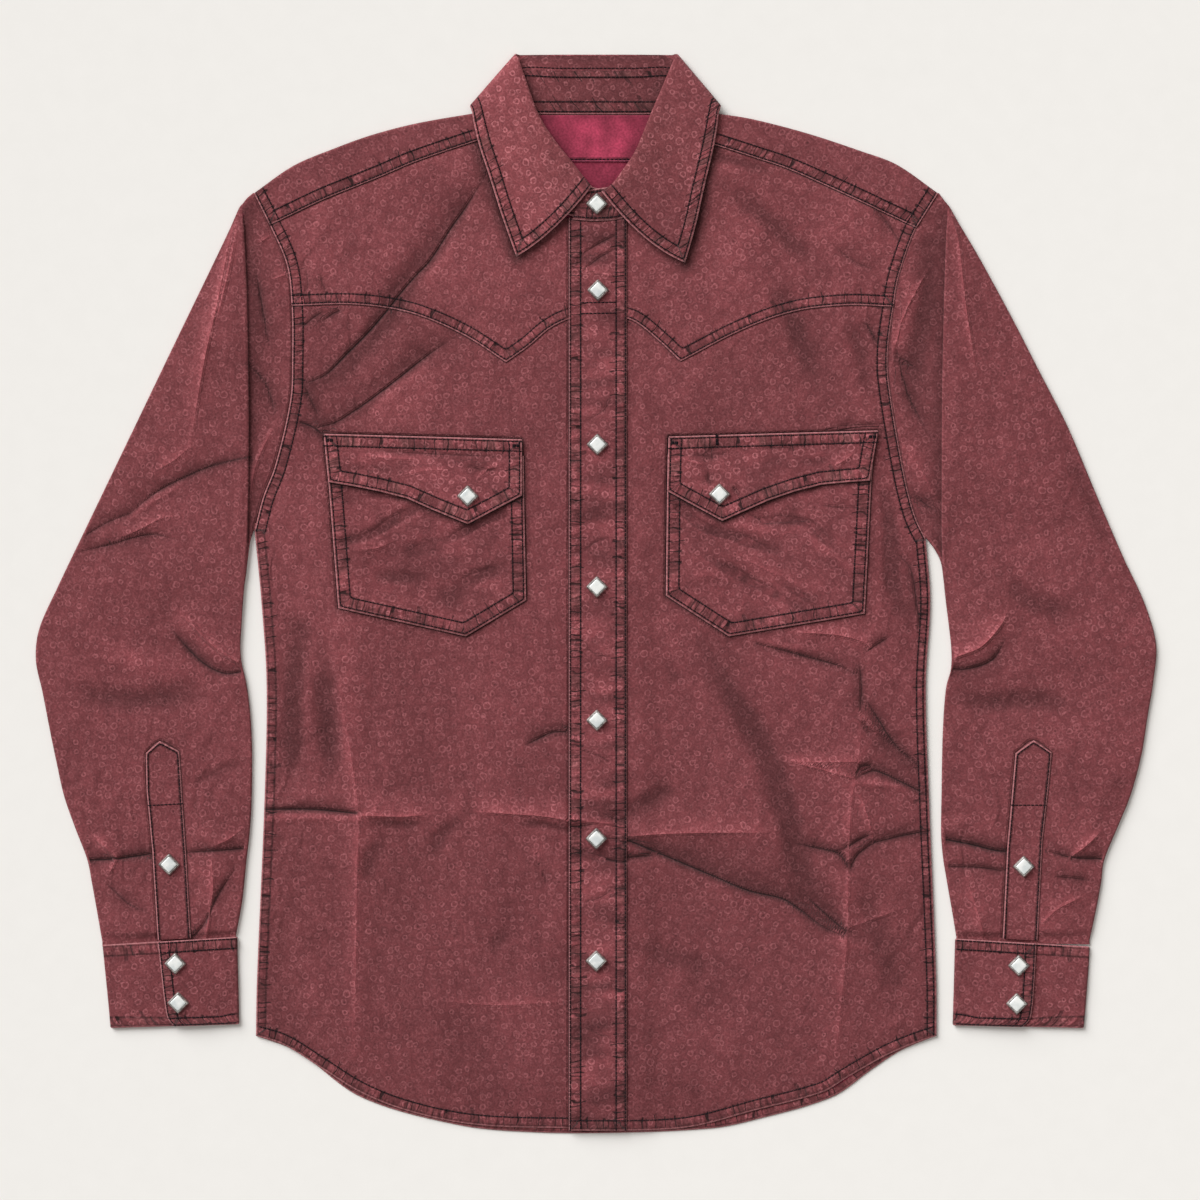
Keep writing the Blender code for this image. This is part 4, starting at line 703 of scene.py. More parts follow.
def edge_shadow(x: Array, y: Array, edges: Sequence[Crease], reach: float) -> Array:
    """Where painted shadow darkens a cloth beside the edges of the pieces that lie on it: 1 at the edges,
    falling off evenly over the reach.
    """
    gap = np.minimum.reduce([np.abs(nearest(x, y, np.array(edge.line, float))[0]) for edge in edges])
    return np.exp(-((gap / reach) ** 2))


def collar_fold() -> list[Crease]:
    """The painted shadow line that the folded edge of the collar lays on the cloth below."""
    return [shadow_line([line[:2] for line in COLLAR_FALL])]


def collar_edges() -> list[Crease]:
    """The painted shadow lines that the two wings of the collar lay on the cloth below."""
    cut = [line[2:4] for line in COLLAR_FALL]
    ends = [[line[:2], line[2:4]] for line in (COLLAR_FALL[0], COLLAR_FALL[-1])]
    return [shadow_line(cut[:7]), shadow_line(cut[-7:]), *map(shadow_line, ends)]


def body_rumple(x: Array, y: Array) -> Array:
    """Fine wrinkles on the body: most at the sides, the armholes and the waist, least beside the placket."""
    side = np.exp(-np.maximum(250.0 - np.abs(x), 0.0) / 38.0)
    waist = np.exp(-(((y + 150.0) / 120.0) ** 2))
    chest = np.exp(-(((y - 180.0) / 90.0) ** 2)) * smooth(np.abs(x) / 150.0)
    return 0.10 + 0.45 * side + 0.15 * waist * smooth(np.abs(x) / 120.0) + 0.22 * chest


def collar_pad(x: Array, y: Array) -> Array:
    """How far the back is raised by the collar fall folded beneath it."""
    along = smooth((y - COLLAR_PAD_START) / (COLLAR_PAD_FULL - COLLAR_PAD_START))
    return (COLLAR_WALL + SEAM) * along * (1.0 - smooth((np.abs(x) - COLLAR_PAD_HALF_WIDTH) / 40.0))


@dataclass
class Drape:
    """The surface that the front lies on: the air over the back, with its folds, creases and unevenness.

    It is worked out once at the nodes of a fine lattice and read between them, so all layers stay parallel.
    """

    spacing: float = 1.2
    reach_x: float = 285.0
    low_y: float = -415.0
    high_y: float = 375.0
    calm: float = 11.0  # radius round a snap cap in which the cloth stays level
    rough: tuple[float, ...] = (62.0, 27.0, 11.0)  # sizes of the unevenness
    heights: tuple[float, ...] = (0.75, 0.50, 0.13)
    depth: float = 2.0  # how much deeper the creases are pressed than their table says
    nodes: Array = field(init=False)
    # painted shade and highlight of the folds and creases, with a lighter chest patch and a darkening towards
    # the hem
    tone: Array = field(init=False)

    def __post_init__(self) -> None:
        """Samples the surface."""
        x, y = np.meshgrid(np.arange(-self.reach_x, self.reach_x, self.spacing),
                           np.arange(self.low_y, self.high_y, self.spacing), indexing="ij")
        sides = [curve(table[side], 8.0) for side in SIDES for table in (SIDE_SEAM, ARMHOLE, SHOULDER_FOLD)]
        edge = np.minimum.reduce([np.abs(nearest(x, y, line)[0]) for line in [*sides, curve(BACK_HEM, 8.0)]])
        folds = fold_relief(x, y, FRONT_FOLDS)
        snaps = np.minimum.reduce([np.hypot(x - snap.x, y - snap.y) for snap in SNAPS])
        level = 1.0 - np.exp(-((snaps / self.calm) ** 2))
        uneven = sum(height * swell(1.5 * x, 0.75 * y, cell, n)
                     for n, (cell, height) in enumerate(zip(self.rough, self.heights)))
        creases = self.depth * crease_relief(x, y, BODY_CREASES) * level
        relief = (folds * smooth(edge / 30.0) + creases * smooth(edge / 7.0)
                  + uneven * level * smooth(edge / 16.0))
        self.nodes = (CLOTH + SEAM + np.maximum(AIR * smooth(edge / AIR_REACH) + relief, 0.0)
                      + collar_pad(x, y))
        # A lighter patch on the wearer's right chest.
        lighter_chest = 0.9 * np.exp(-(((x + 155.0) / 60.0) ** 2) - ((y - 146.0) / 28.0) ** 2)
        # Darker towards the hem.
        darker_to_hem = -0.4 * smooth((-60.0 - y) / 200.0)
        # Painted shade and highlight: the creases, folds and unevenness darken the troughs and lighten the
        # ridges.
        self.tone = np.clip(creases + 0.5 * folds + 0.3 * uneven, -2.0, 1.6) + lighter_chest + darker_to_hem

    def read(self, table: Array, x: Array, y: Array) -> Array:
        """A value between the nodes, blended in a straight line each way."""
        across = np.clip((x + self.reach_x) / self.spacing, 0, table.shape[0] - 1.001)
        up = np.clip((y - self.low_y) / self.spacing, 0, table.shape[1] - 1.001)
        i, j = np.floor(across).astype(int), np.floor(up).astype(int)
        a, b = across - i, up - j
        return ((table[i, j] * (1 - a) + table[i + 1, j] * a) * (1 - b)
                + (table[i, j + 1] * (1 - a) + table[i + 1, j + 1] * a) * b)

    def shade(self, x: Array, y: Array) -> Array:
        """The painted shade and highlight of its folds and creases, with a lighter patch on the chest and a
        darkening towards the hem.
        """
        return self.read(self.tone, x, y)

    def level(self, side: str) -> Callable[[Array, Array], Array]:
        """The height of one front's underside."""
        return self.under if side == "right" else self.over

    def under(self, x: Array, y: Array) -> Array:
        """Height of the right front's underside."""
        return self.read(self.nodes, x, y)

    def over(self, x: Array, y: Array) -> Array:
        """Height of the left front's underside, one layer up where it laps over the right front."""
        return self.under(x, y) + LAYER * (1.0 - smooth((x - LAP_END) / LAP_RUN))


# Cloth shells.


@dataclass(frozen=True)
class Seam:
    """A sewn edge of a piece.

    Attributes:
        path: The edge, with the piece on its left.
        rows: How far in from the edge each row of stitches runs.
        welt: How far in the turned edge reaches, where the cloth is thicker and puckered.
    """

    path: Array
    rows: tuple[float, ...]
    welt: float


def inset(line: Array, distance: float) -> Array:
    """A line moved to its left, without the points that a corner folds back."""
    line = resampled(line, np.linspace(0.0, 1.0, max(4, round(lengths(line)[-1] / 1.5))))
    along = np.gradient(line, axis=0)
    along /= np.linalg.norm(along, axis=1)[:, None]
    moved = line + distance * np.stack([-along[:, 1], along[:, 0]], axis=1)
    gap = np.abs(nearest(moved[:, 0], moved[:, 1], line)[0])
    return moved[gap > distance - 0.12]


def closest(shape: tuple[int, ...], seams: Iterable[tuple[Array, Array, float]]) -> dict[str, Array]:
    """The fields of the seam closest to each point, from every seam's distances, runs and welt."""
    edge, run, welt = (np.full(shape, value) for value in (FAR, 0.0, 1.0))
    for off, along, reach in seams:
        closer = off < edge
        edge = np.where(closer, off, edge)
        run = np.where(closer, along, run)
        welt = np.where(closer, reach, welt)
    return {"edge": edge, "run": run, "welt": welt}


def seam_fields(x: Array, y: Array, seams: Sequence[Seam]) -> dict[str, Array]:
    """Distance in from the nearest sewn edge, the run along it, and how far in its welt reaches."""
    found = [(*nearest(x, y, seam.path), seam.welt) for seam in seams]
    return closest(np.shape(x), [(np.abs(off), along, reach) for off, along, reach in found])


def seam_thickness(fields: dict[str, Array], rows: Sequence[float], wall: float) -> Array:
    """The wall of a sewn piece: puffed and puckered in the welt, drawn in at stitches, thinner past it."""
    edge, welt, run = fields["edge"], fields["welt"], fields["run"]
    inside = 1.0 - smooth((edge - welt) / 2.0)
    share = np.clip(edge / welt, 0.0, 1.0)
    pucker = (swell(run, 0 * run, 4.3, 7) + 0.6 * swell(run, edge, 2.9, 8)) * np.sin(np.pi * share)
    pull = sum(np.exp(-((edge - row) / 0.8) ** 2) for row in rows) if rows else 0.0
    return (wall - 0.22 * (1.0 - inside) + inside * (0.16 * np.sin(np.pi * share) + 0.16 * pucker)
            - 0.2 * pull * inside)


def stations(length: float, step: float, marks: Sequence[float] = (), near: bool = True,
             far: bool = True) -> Array:
    """Shares of a length for grid lines: close together at sewn edges, even elsewhere, one on every mark."""
    fixed = [0.0, length, *[mark * length for mark in marks]]
    fine = [offset for offset in GRADING if offset < length * 0.4]
    fixed += fine if near else []
    fixed += [length - offset for offset in fine] if far else []
    fixed = np.unique(np.round(fixed, 2))
    fixed = fixed[np.concatenate([[True], np.diff(fixed) > 0.2])]
    fixed[-1] = length
    spans = [np.linspace(a, b, max(1, round((b - a) / step)) + 1)[:-1] for a, b in zip(fixed, fixed[1:])]
    return np.append(np.concatenate(spans), length) / length


def patch(bottom: Array, top: Array, start: Array, end: Array, across: Array, up: Array) -> Array:
    """A grid between four sides: the blend of opposite sides, less the blend of the corners."""
    low, high = resampled(bottom, across)[:, None], resampled(top, across)[:, None]
    first, last = resampled(start, up)[None], resampled(end, up)[None]
    u, v = across[:, None, None], up[None, :, None]
    corners = ((1 - u) * (1 - v) * bottom[0] + u * (1 - v) * bottom[-1] + (1 - u) * v * top[0]
               + u * v * top[-1])
    return (1 - v) * low + v * high + (1 - u) * first + u * last - corners


def grid_normals(grid: Array) -> Array:
    """The unit normal at each point of a grid: the first direction crossed with the second."""
    normal = np.cross(np.gradient(grid, axis=0), np.gradient(grid, axis=1))
    return normal / np.maximum(np.linalg.norm(normal, axis=2, keepdims=True), 1e-9)


def facing_up(grid: Array) -> Array:
    """The grid, turned over if its highest part faces down."""
    flat = grid if grid.shape[2] == 3 else np.dstack([grid, np.zeros(grid.shape[:2])])
    normal = grid_normals(flat)[:, :, 2]
    high = flat[:, :, 2] >= np.quantile(flat[:, :, 2], 0.9)
    return grid if normal[high].mean() > 0 else grid[::-1]


@dataclass
class Shell:
    """A closed wall of cloth between an outer and an inner grid.

    The outer grid is kept whole. The inner one is thinned to every few lines, and its edge joins the outer
    edge point by point, so that the shell is closed.
    """

    outer: Array
    inner: Array
    thin: tuple[int, int] = (5, 5)
    lined: bool = False  # whether its outer side shows the crimson inside of the cloth
    points: Array = field(init=False)
    faces: list = field(init=False)
    source: Array = field(init=False)
    outer_faces: int = field(init=False)

    def __post_init__(self) -> None:
        """Numbers the points and lists the faces."""
        rows, columns = self.outer.shape[:2]
        number = np.arange(rows * columns).reshape(rows, columns)
        corners = [number[:-1, :-1], number[1:, :-1], number[1:, 1:], number[:-1, 1:]]
        quads = np.stack(corners, -1).reshape(-1, 4)
        kept_rows = sorted({*range(0, rows, self.thin[0]), rows - 1})
        kept_columns = sorted({*range(0, columns, self.thin[1]), columns - 1})
        used = np.zeros((rows, columns), bool)
        used[np.ix_(kept_rows, kept_columns)] = True
        used[[0, -1]] = used[:, [0, -1]] = True
        below = np.full((rows, columns), -1)
        below[used] = rows * columns + np.arange(used.sum())
        cells = [self.cell(below, a, b, c, d) for a, b in zip(kept_rows, kept_rows[1:])
                 for c, d in zip(kept_columns, kept_columns[1:])]
        ring = [*[(i, 0) for i in range(rows - 1)], *[(rows - 1, j) for j in range(columns - 1)],
                *[(i, columns - 1) for i in range(rows - 1, 0, -1)],
                *[(0, j) for j in range(columns - 1, 0, -1)]]
        rim = [(int(number[p]), int(below[p]), int(below[q]), int(number[q]))
               for p, q in zip(ring, ring[1:] + ring[:1])]
        self.points = np.vstack([self.outer.reshape(-1, 3), self.inner[used]])
        self.source = np.concatenate([number.ravel(), number[used]])
        self.outer_faces = len(quads)
        self.faces = [*map(tuple, quads.tolist()), *cells, *rim]

    @staticmethod
    def cell(below: Array, a: int, b: int, c: int, d: int) -> tuple[int, ...]:
        """One face of the inner side, with every point of the edge where it lies on the edge."""
        rows, columns = below.shape
        low = below[a, c:d] if a == 0 else below[a, c : c + 1]
        right = below[a:b, d] if d == columns - 1 else below[a : a + 1, d]
        high = below[b, d:c:-1] if b == rows - 1 else below[b, d : d + 1]
        left = below[b:a:-1, c] if c == 0 else below[b : b + 1, c]
        return tuple(int(n) for n in np.concatenate([low, right, high, left]))


def lowest(height: Array, reach: int = 5) -> Array:
    """The least value within a few grid lines each way, so that a thinned side stays below every dip."""
    padded = np.pad(height, reach, mode="edge")
    window = (2 * reach + 1, 2 * reach + 1)
    return np.lib.stride_tricks.sliding_window_view(padded, window).min(axis=(2, 3))


def side_distance(grid: Array, axis: int, at_end: bool) -> Array:
    """How far each point of a grid lies from one of its sides, along the grid's own lines."""
    flipped = np.flip(grid, axis) if at_end else grid
    steps = np.linalg.norm(np.diff(flipped, axis=axis), axis=2)
    nought = np.zeros_like(np.take(steps, [0], axis=axis))
    run = np.concatenate([nought, np.cumsum(steps, axis=axis)], axis=axis)
    return np.flip(run, axis) if at_end else run


def rim_distance(grid: Array) -> Array:
    """How far each point of a grid lies from the grid's edge, along the grid's own lines."""
    return np.minimum.reduce([side_distance(grid, axis, at_end) for axis in (0, 1)
                              for at_end in (False, True)])


def rounding(rim: Array, wall: float) -> Array:
    """How much of a wall its rounded edge takes away, from the distance to the edge."""
    return 0.5 * wall * np.exp(-((rim / 0.5) ** 1.5))


def ripple(grid: Array, cell: float, seed: int) -> Array:
    """The soft random field of swell over a grid, seen from above."""
    return swell(grid[:, :, 0], grid[:, :, 1], cell, seed)


def left_of(side: str, line: Array) -> Array:
    """A line that has the piece on its left: as given for the right side, turned about for the left."""
    return line if side == "right" else line[::-1]


def inset_row(grid: Array, axis: int, at_end: bool, distance: float, plain: Array | None = None) -> Array:
    """The line on a grid that keeps a distance from a side, measured on a plainer grid if there is one."""
    run = side_distance(grid if plain is None else plain, axis, at_end)
    lines = grid if axis == 1 else grid.transpose(1, 0, 2)
    runs = run if axis == 1 else run.T
    out = []
    for line, along in zip(lines, runs):
        order = np.argsort(along)
        out.append([np.interp(distance, along[order], line[order, n]) for n in range(line.shape[1])])
    return np.array(out)


def stretches(row: Array, keep: Array) -> list[Array]:
    """The parts of a row in which every point is to be kept."""
    parts = np.split(np.arange(len(row)), np.flatnonzero(np.diff(keep.astype(int))) + 1)
    return [row[part] for part in parts if keep[part[0]] and len(part) > 3]


def grid_seams(grid: Array, sides: Sequence[tuple[int, bool, float]]) -> dict[str, Array]:
    """Seam fields of a wrapped piece, from its own grid lines.

    Args:
        grid: The piece's outer points.
        sides: For each sewn side, the grid axis that leads away from it, whether it is at the end, and its
            welt.

    Returns:
        The same fields as seam_fields.
    """
    return closest(grid.shape[:2], [
        (side_distance(grid, axis, at_end), side_distance(grid, 1 - axis, False), reach)
        for axis, at_end, reach in sides])


def shifted(fields: dict[str, Array], where: Array, by: float) -> None:
    """Moves a seam's edge further in, in the part of a grid where it holds; the cloth outside it is plain."""
    moved = fields["edge"][where] - by
    fields["edge"][where] = np.where(moved < 0.0, FAR, moved)


# Finishes.


FLOAT, VECTOR = "NodeSocketFloat", "NodeSocketVector"
Socket = bpy.types.NodeSocket
Colour = tuple[float, float, float]


class Graph:
    """Short hands for wiring a shader's nodes. A value is a number, a colour, or another node's output."""

    def __init__(self, tree: bpy.types.NodeTree) -> None:
        """Starts on a node tree."""
        self.tree = tree

    def feed(self, socket: Socket, value: object) -> None:
        """Gives an input its value."""
        if isinstance(value, Socket):
            self.tree.links.new(value, socket)
        else:
            socket.default_value = value

    def add(self, kind: str, inputs: dict | None = None, **settings: object) -> bpy.types.Node:
        """A shader node with its settings and inputs."""
        node = self.tree.nodes.new(f"ShaderNode{kind}")
        for name, value in settings.items():
            setattr(node, name, value)
        for name, value in (inputs or {}).items():
            self.feed(node.inputs[name], value)
        return node

    def math(self, operation: str, *values: object) -> Socket:
        """The result of a Math node."""
        return self.add("Math", dict(enumerate(values)), operation=operation).outputs[0]

    def times(self, first: object, *others: object) -> Socket:
        """A product."""
        for other in others:
            first = self.math("MULTIPLY", first, other)
        return first

    def plus(self, first: object, second: object) -> Socket:
        """A sum."""
        return self.math("ADD", first, second)

    def less(self, first: object, second: object) -> Socket:
        """A difference."""
        return self.math("SUBTRACT", first, second)

    def gap(self, first: object, second: object) -> Socket:
        """The size of a difference."""
        return self.math("ABSOLUTE", self.less(first, second))

    def vector(self, operation: str, *values: object) -> Socket:
        """The result of a Vector Math node."""
        return self.add("VectorMath", dict(enumerate(values)), operation=operation).outputs[0]

    def scaled(self, vector: object, factor: float) -> Socket:
        """A vector times a number."""
        return self.add("VectorMath", {0: vector, "Scale": factor}, operation="SCALE").outputs[0]

    def ramp(self, value: object, low: float, high: float, start: float = 0.0, end: float = 1.0) -> Socket:
        """A soft step from one value to another between two limits."""
        limits = {"Value": value, "From Min": low, "From Max": high, "To Min": start, "To Max": end}
        return self.add("MapRange", limits, interpolation_type="SMOOTHSTEP").outputs[0]

    def fall(self, value: object, low: float, high: float, start: float = 1.0) -> Socket:
        """A soft step down to 0."""
        return self.ramp(value, low, high, start, 0.0)

    def noise(self, vector: object, scale: float, detail: float = 2.0, output: str = "Fac") -> Socket:
        """A Noise Texture."""
        return self.add("TexNoise", {"Vector": vector, "Scale": scale, "Detail": detail}).outputs[output]

    def cells(self, place: dict, jitter: float, dimensions: str) -> tuple[Socket, Sequence[Socket]]:
        """Irregular cells: the distance from each one's centre, and three random numbers for each."""
        cell = self.add("TexVoronoi", place | {"Scale": 1.0, "Randomness": jitter},
                        voronoi_dimensions=dimensions)
        return cell.outputs["Distance"], self.add("SeparateColor", {"Color": cell.outputs["Color"]}).outputs

    def mix(self, factor: object, first: object, second: object, blend: str = "MIX") -> Socket:
        """A blend of two colours."""
        colours = {n: (*value, 1) if isinstance(value, tuple) else value
                   for n, value in ((6, first), (7, second))}
        return self.add("Mix", {"Factor": factor, **colours}, data_type="RGBA", blend_type=blend).outputs[2]

    def attribute(self, name: str) -> Socket:
        """A number stored at the piece's points."""
        return self.add("Attribute", attribute_name=name).outputs["Fac"]


class Effect(Graph):
    """A node group with named inputs and outputs."""

    def __init__(self, name: str, inputs: dict[str, str], *outputs: str) -> None:
        """Makes the group and its sockets; the outputs are all numbers."""
        super().__init__(bpy.data.node_groups.new(name, "ShaderNodeTree"))
        for way, sockets in (("INPUT", inputs), ("OUTPUT", dict.fromkeys(outputs, FLOAT))):
            for title, kind in sockets.items():
                self.tree.interface.new_socket(name=title, in_out=way, socket_type=kind)
        self.given = self.tree.nodes.new("NodeGroupInput").outputs
        self.end = self.tree.nodes.new("NodeGroupOutput")

    def close(self, **results: Socket) -> bpy.types.NodeTree:
        """The group, each output wired to its result."""
        for name, result in results.items():
            self.feed(self.end.inputs[name], result)
        return self.tree


class Finish(Graph):
    """The graph of a new material."""

    def __init__(self, name: str) -> None:
        """Makes the material."""
        self.material = bpy.data.materials.new(name)
        self.material.use_nodes = True
        super().__init__(self.material.node_tree)
        self.place = self.add("TexCoord").outputs["Object"]

    def close(self, bump: tuple[Socket, float, float] | None = None, **inputs: object) -> bpy.types.Material:
        """The material, each input of its shader with its value.

        Args:
            bump: A height, how strong it shows, and what a height of 1 measures in metres.
            inputs: The shader's inputs, with _ for a space.

        Returns:
            The material.
        """
        shader = self.tree.nodes["Principled BSDF"]
        if bump:
            relief = self.add("Bump", dict(zip(("Height", "Strength", "Distance"), bump)))
            self.feed(shader.inputs["Normal"], relief.outputs[0])
        for name, value in inputs.items():
            self.feed(shader.inputs[name.replace("_", " ")], value)
        return self.material


@dataclass(frozen=True)
class RingPrint:
    """The all-over print: small hand-drawn rings in loose rows, with faint marks between them.

    The cloth is divided into cells of one spacing, each with one centre. A ring is where the distance to the
    nearest centre equals the ring's radius.
    """

    spacing: float = 7.3
    radius: float = 1.85
    spread: float = 1.3  # how much the radius varies
    line: float = 0.62
    jitter: float = 0.66

    def group(self) -> bpy.types.NodeTree:
        """The node group: from the cloth's own millimetres to the print's masks."""
        graph = Effect("ring_print", {"Cloth": VECTOR}, "Ring", "Halo", "Dot", "Squiggle")
        cloth = graph.given["Cloth"]
        wobble = graph.vector("SUBTRACT", graph.noise(cloth, 0.36, 1.5, "Color"), (0.5, 0.5, 0.5))
        place = graph.vector("ADD", cloth, graph.scaled(wobble, 2.6))
        distance, lot = graph.cells({"Vector": graph.scaled(place, 1.0 / self.spacing)}, self.jitter, "2D")
        distance = graph.times(distance, self.spacing)
        radius = graph.plus(graph.times(lot[1], self.spread), self.radius - self.spread / 2)
        off = graph.less(distance, radius)
        strength = graph.ramp(lot[0], 0.05, 0.80, 0.40, 1.0)
        ring = graph.fall(graph.math("ABSOLUTE", off), self.line * 0.25, self.line * 1.3)
        ink = graph.ramp(graph.noise(cloth, 0.42), 0.36, 0.58, 0.35, 1.0)
        halo = graph.fall(graph.gap(off, 0.95), 0.1, 0.65)
        faint = graph.fall(graph.gap(graph.noise(place, 0.48, 0.0), 0.52), 0.015, 0.070)
        here = graph.ramp(graph.noise(cloth, 0.24, 0.0), 0.42, 0.56)
        dot = graph.times(graph.fall(distance, 0.30, 0.80), graph.ramp(lot[2], 0.50, 0.75))
        return graph.close(Ring=graph.times(ring, ink, strength), Halo=graph.times(halo, strength), Dot=dot,
                           Squiggle=graph.times(faint, here))


@dataclass(frozen=True)
class ClothGrain:
    """The washed face of the cloth: patchy dye and short fibres."""

    patch: float = 0.018
    mottle: float = 0.10
    fibre: float = 0.60

    def group(self) -> bpy.types.NodeTree:
        """The node group: from the cloth's millimetres to a tone round 1 and a height."""
        graph = Effect("cloth_grain", {"Cloth": VECTOR}, "Tone", "Height")
        patchy, mottled, fibre = (graph.noise(graph.given["Cloth"], scale)
                                  for scale in (self.patch, self.mottle, self.fibre))
        tone = graph.times(graph.ramp(mottled, 0.3, 0.7, 0.90, 1.10), graph.ramp(fibre, 0.3, 0.7, 0.82, 1.18))
        return graph.close(Tone=graph.times(graph.ramp(patchy, 0.3, 0.7, 0.93, 1.07), tone), Height=fibre)


@dataclass(frozen=True)
class SeamWear:
    """What washing does to a sewn edge, with painted light and shade: a pale worn edge, puckers across the
    welt in bands of painted light and shade, and painted shade along the outer row and at the welt's end.
    """

    pitch: float = 4.6
    tuck_pitch: float = 4.2
    pale: float = 0.85
    outer_row: float = 1.75

    def group(self) -> bpy.types.NodeTree:
        """The node group: from the seam fields to masks."""
        graph = Effect("seam_wear", dict.fromkeys(("Edge", "Run", "Welt"), FLOAT),
                       "Pale", "Pucker", "Tuck", "Groove", "Grime")
        edge, run, welt = (graph.given[name] for name in ("Edge", "Run", "Welt"))
        slanted = graph.math("DIVIDE", graph.plus(run, graph.times(edge, 0.12)), self.pitch)
        place = graph.add("CombineXYZ", {"X": slanted, "Y": graph.math("DIVIDE", edge, 15.0)}).outputs[0]
        past = graph.less(edge, welt)
        inside = graph.fall(past, -0.6, 1.2)
        # Pucker bands: painted light and shade, lighter and darker by turns along the seam.
        bands = graph.ramp(graph.noise(place, 0.85, 1.5), 0.38, 0.62, -1.0, 1.0)
        fray = graph.ramp(graph.noise(graph.scaled(place, 3.0), 1.0), 0.3, 0.6, 0.45, 1.0)
        grime = graph.ramp(graph.noise(place, 0.30), 0.44, 0.62)
        # Painted shade along the outer row of stitches and at the welt's end.
        row = graph.fall(graph.gap(edge, self.outer_row), 0.1, 0.9, 0.8)
        stitch_shade = graph.math("MAXIMUM", graph.fall(graph.math("ABSOLUTE", past), 0.2, 1.3), row)
        return graph.close(Pale=graph.times(graph.fall(edge, self.pale * 0.5, self.pale * 1.5), fray),
                           Pucker=graph.times(bands, inside), Tuck=self.tuck(graph, place, past),
                           Groove=graph.times(stitch_shade, graph.ramp(welt, 1.2, 1.8)),
                           Grime=graph.times(grime, inside))

    def tuck(self, graph: Effect, place: Socket, past: Socket) -> Socket:
        """Short lines of painted shade that start at the stitches and run across the welt, each of its own
        length.
        """
        edge, run, welt = (graph.given[name] for name in ("Edge", "Run", "Welt"))
        along = graph.plus(run, graph.times(graph.noise(graph.scaled(place, 1.4), 1.0, 0.0), 5.0))
        distance, lot = graph.cells({"W": graph.math("DIVIDE", along, self.tuck_pitch)}, 1.0, "1D")
        line = graph.fall(graph.times(distance, self.tuck_pitch), 0.22, 0.75)
        reach = graph.ramp(lot[1], 0.3, 1.0, 0.6, 5.0)
        line = graph.times(line, graph.ramp(lot[0], 0.30, 0.85, 0.25, 1.0),
                           graph.fall(graph.less(past, reach), -0.8, 0.8))
        return graph.times(line, graph.times(graph.ramp(edge, 0.8, 2.2), graph.ramp(welt, 2.2, 4.0)))


@dataclass(frozen=True)
class Rumple:
    """Fine wrinkles that wearing and washing leave: sharp little ridges, longer than they are wide."""

    across: float = 0.040
    along: float = 0.018
    turns: tuple[float, float] = (0.5, -1.0)

    def group(self) -> bpy.types.NodeTree:
        """The node group: from millimetres on the shirt to a height and a tone."""
        graph = Effect("rumple", {"Place": VECTOR, "Amount": FLOAT}, "Height", "Tone")
        flat = graph.vector("MULTIPLY", graph.given["Place"], (1.0, 1.0, 0.0))
        bent = graph.vector("ADD", flat, graph.scaled(graph.noise(flat, 0.026, 0.0, "Color"), 34.0))
        where = graph.noise(flat, 0.017, 0.0)
        heights = []
        for turn, low, high in ((self.turns[0], 0.46, 0.60), (self.turns[1], 0.54, 0.40)):
            place = graph.add("Mapping", {"Vector": bent, "Rotation": (0.0, 0.0, turn),
                                          "Scale": (self.across, self.along, 0.0)}).outputs[0]
            ridge = graph.fall(graph.gap(graph.noise(place, 1.0, 0.0), 0.5), 0.0, 0.10)
            heights.append(graph.times(ridge, graph.ramp(where, low, high)))
        height = graph.times(graph.less(*heights), graph.given["Amount"])
        # Its tone is painted light and shade: a little lighter on the ridges, darker between them.
        return graph.close(Height=height, Tone=graph.plus(1.0, graph.times(height, 0.10)))


@dataclass(frozen=True)
class CreaseLine:
    """The fine line along a sharp crease or under an edge: painted shade in the bottom of a trough, and a
    crest paler from rubbing and a painted highlight.
    """

    width: float = 1.15
    lip: float = 5.0

    def group(self) -> bpy.types.NodeTree:
        """The node group: from the distance to the crease and its height to a tone and a fine height."""
        graph = Effect("crease_line", {"Line": FLOAT, "Press": FLOAT}, "Tone", "Height")
        far = graph.math("ABSOLUTE", graph.given["Line"])
        core, flank = (graph.times(graph.fall(far, 0.0, reach), graph.given["Press"])
                       for reach in (self.width, self.lip))
        # Painted shade where the press is below 0, painted highlight where it is above; the flank adds a
        # little more of each further out.
        dark = graph.times(graph.math("MINIMUM", core, 0.0), 0.44)
        pale = graph.times(graph.math("MAXIMUM", core, 0.0), 0.15)
        tone = graph.plus(graph.plus(dark, pale), graph.plus(graph.times(flank, 0.10), 1.0))
        return graph.close(Tone=graph.math("MAXIMUM", tone, 0.2),
                           Height=graph.plus(core, graph.times(flank, 1.2)))


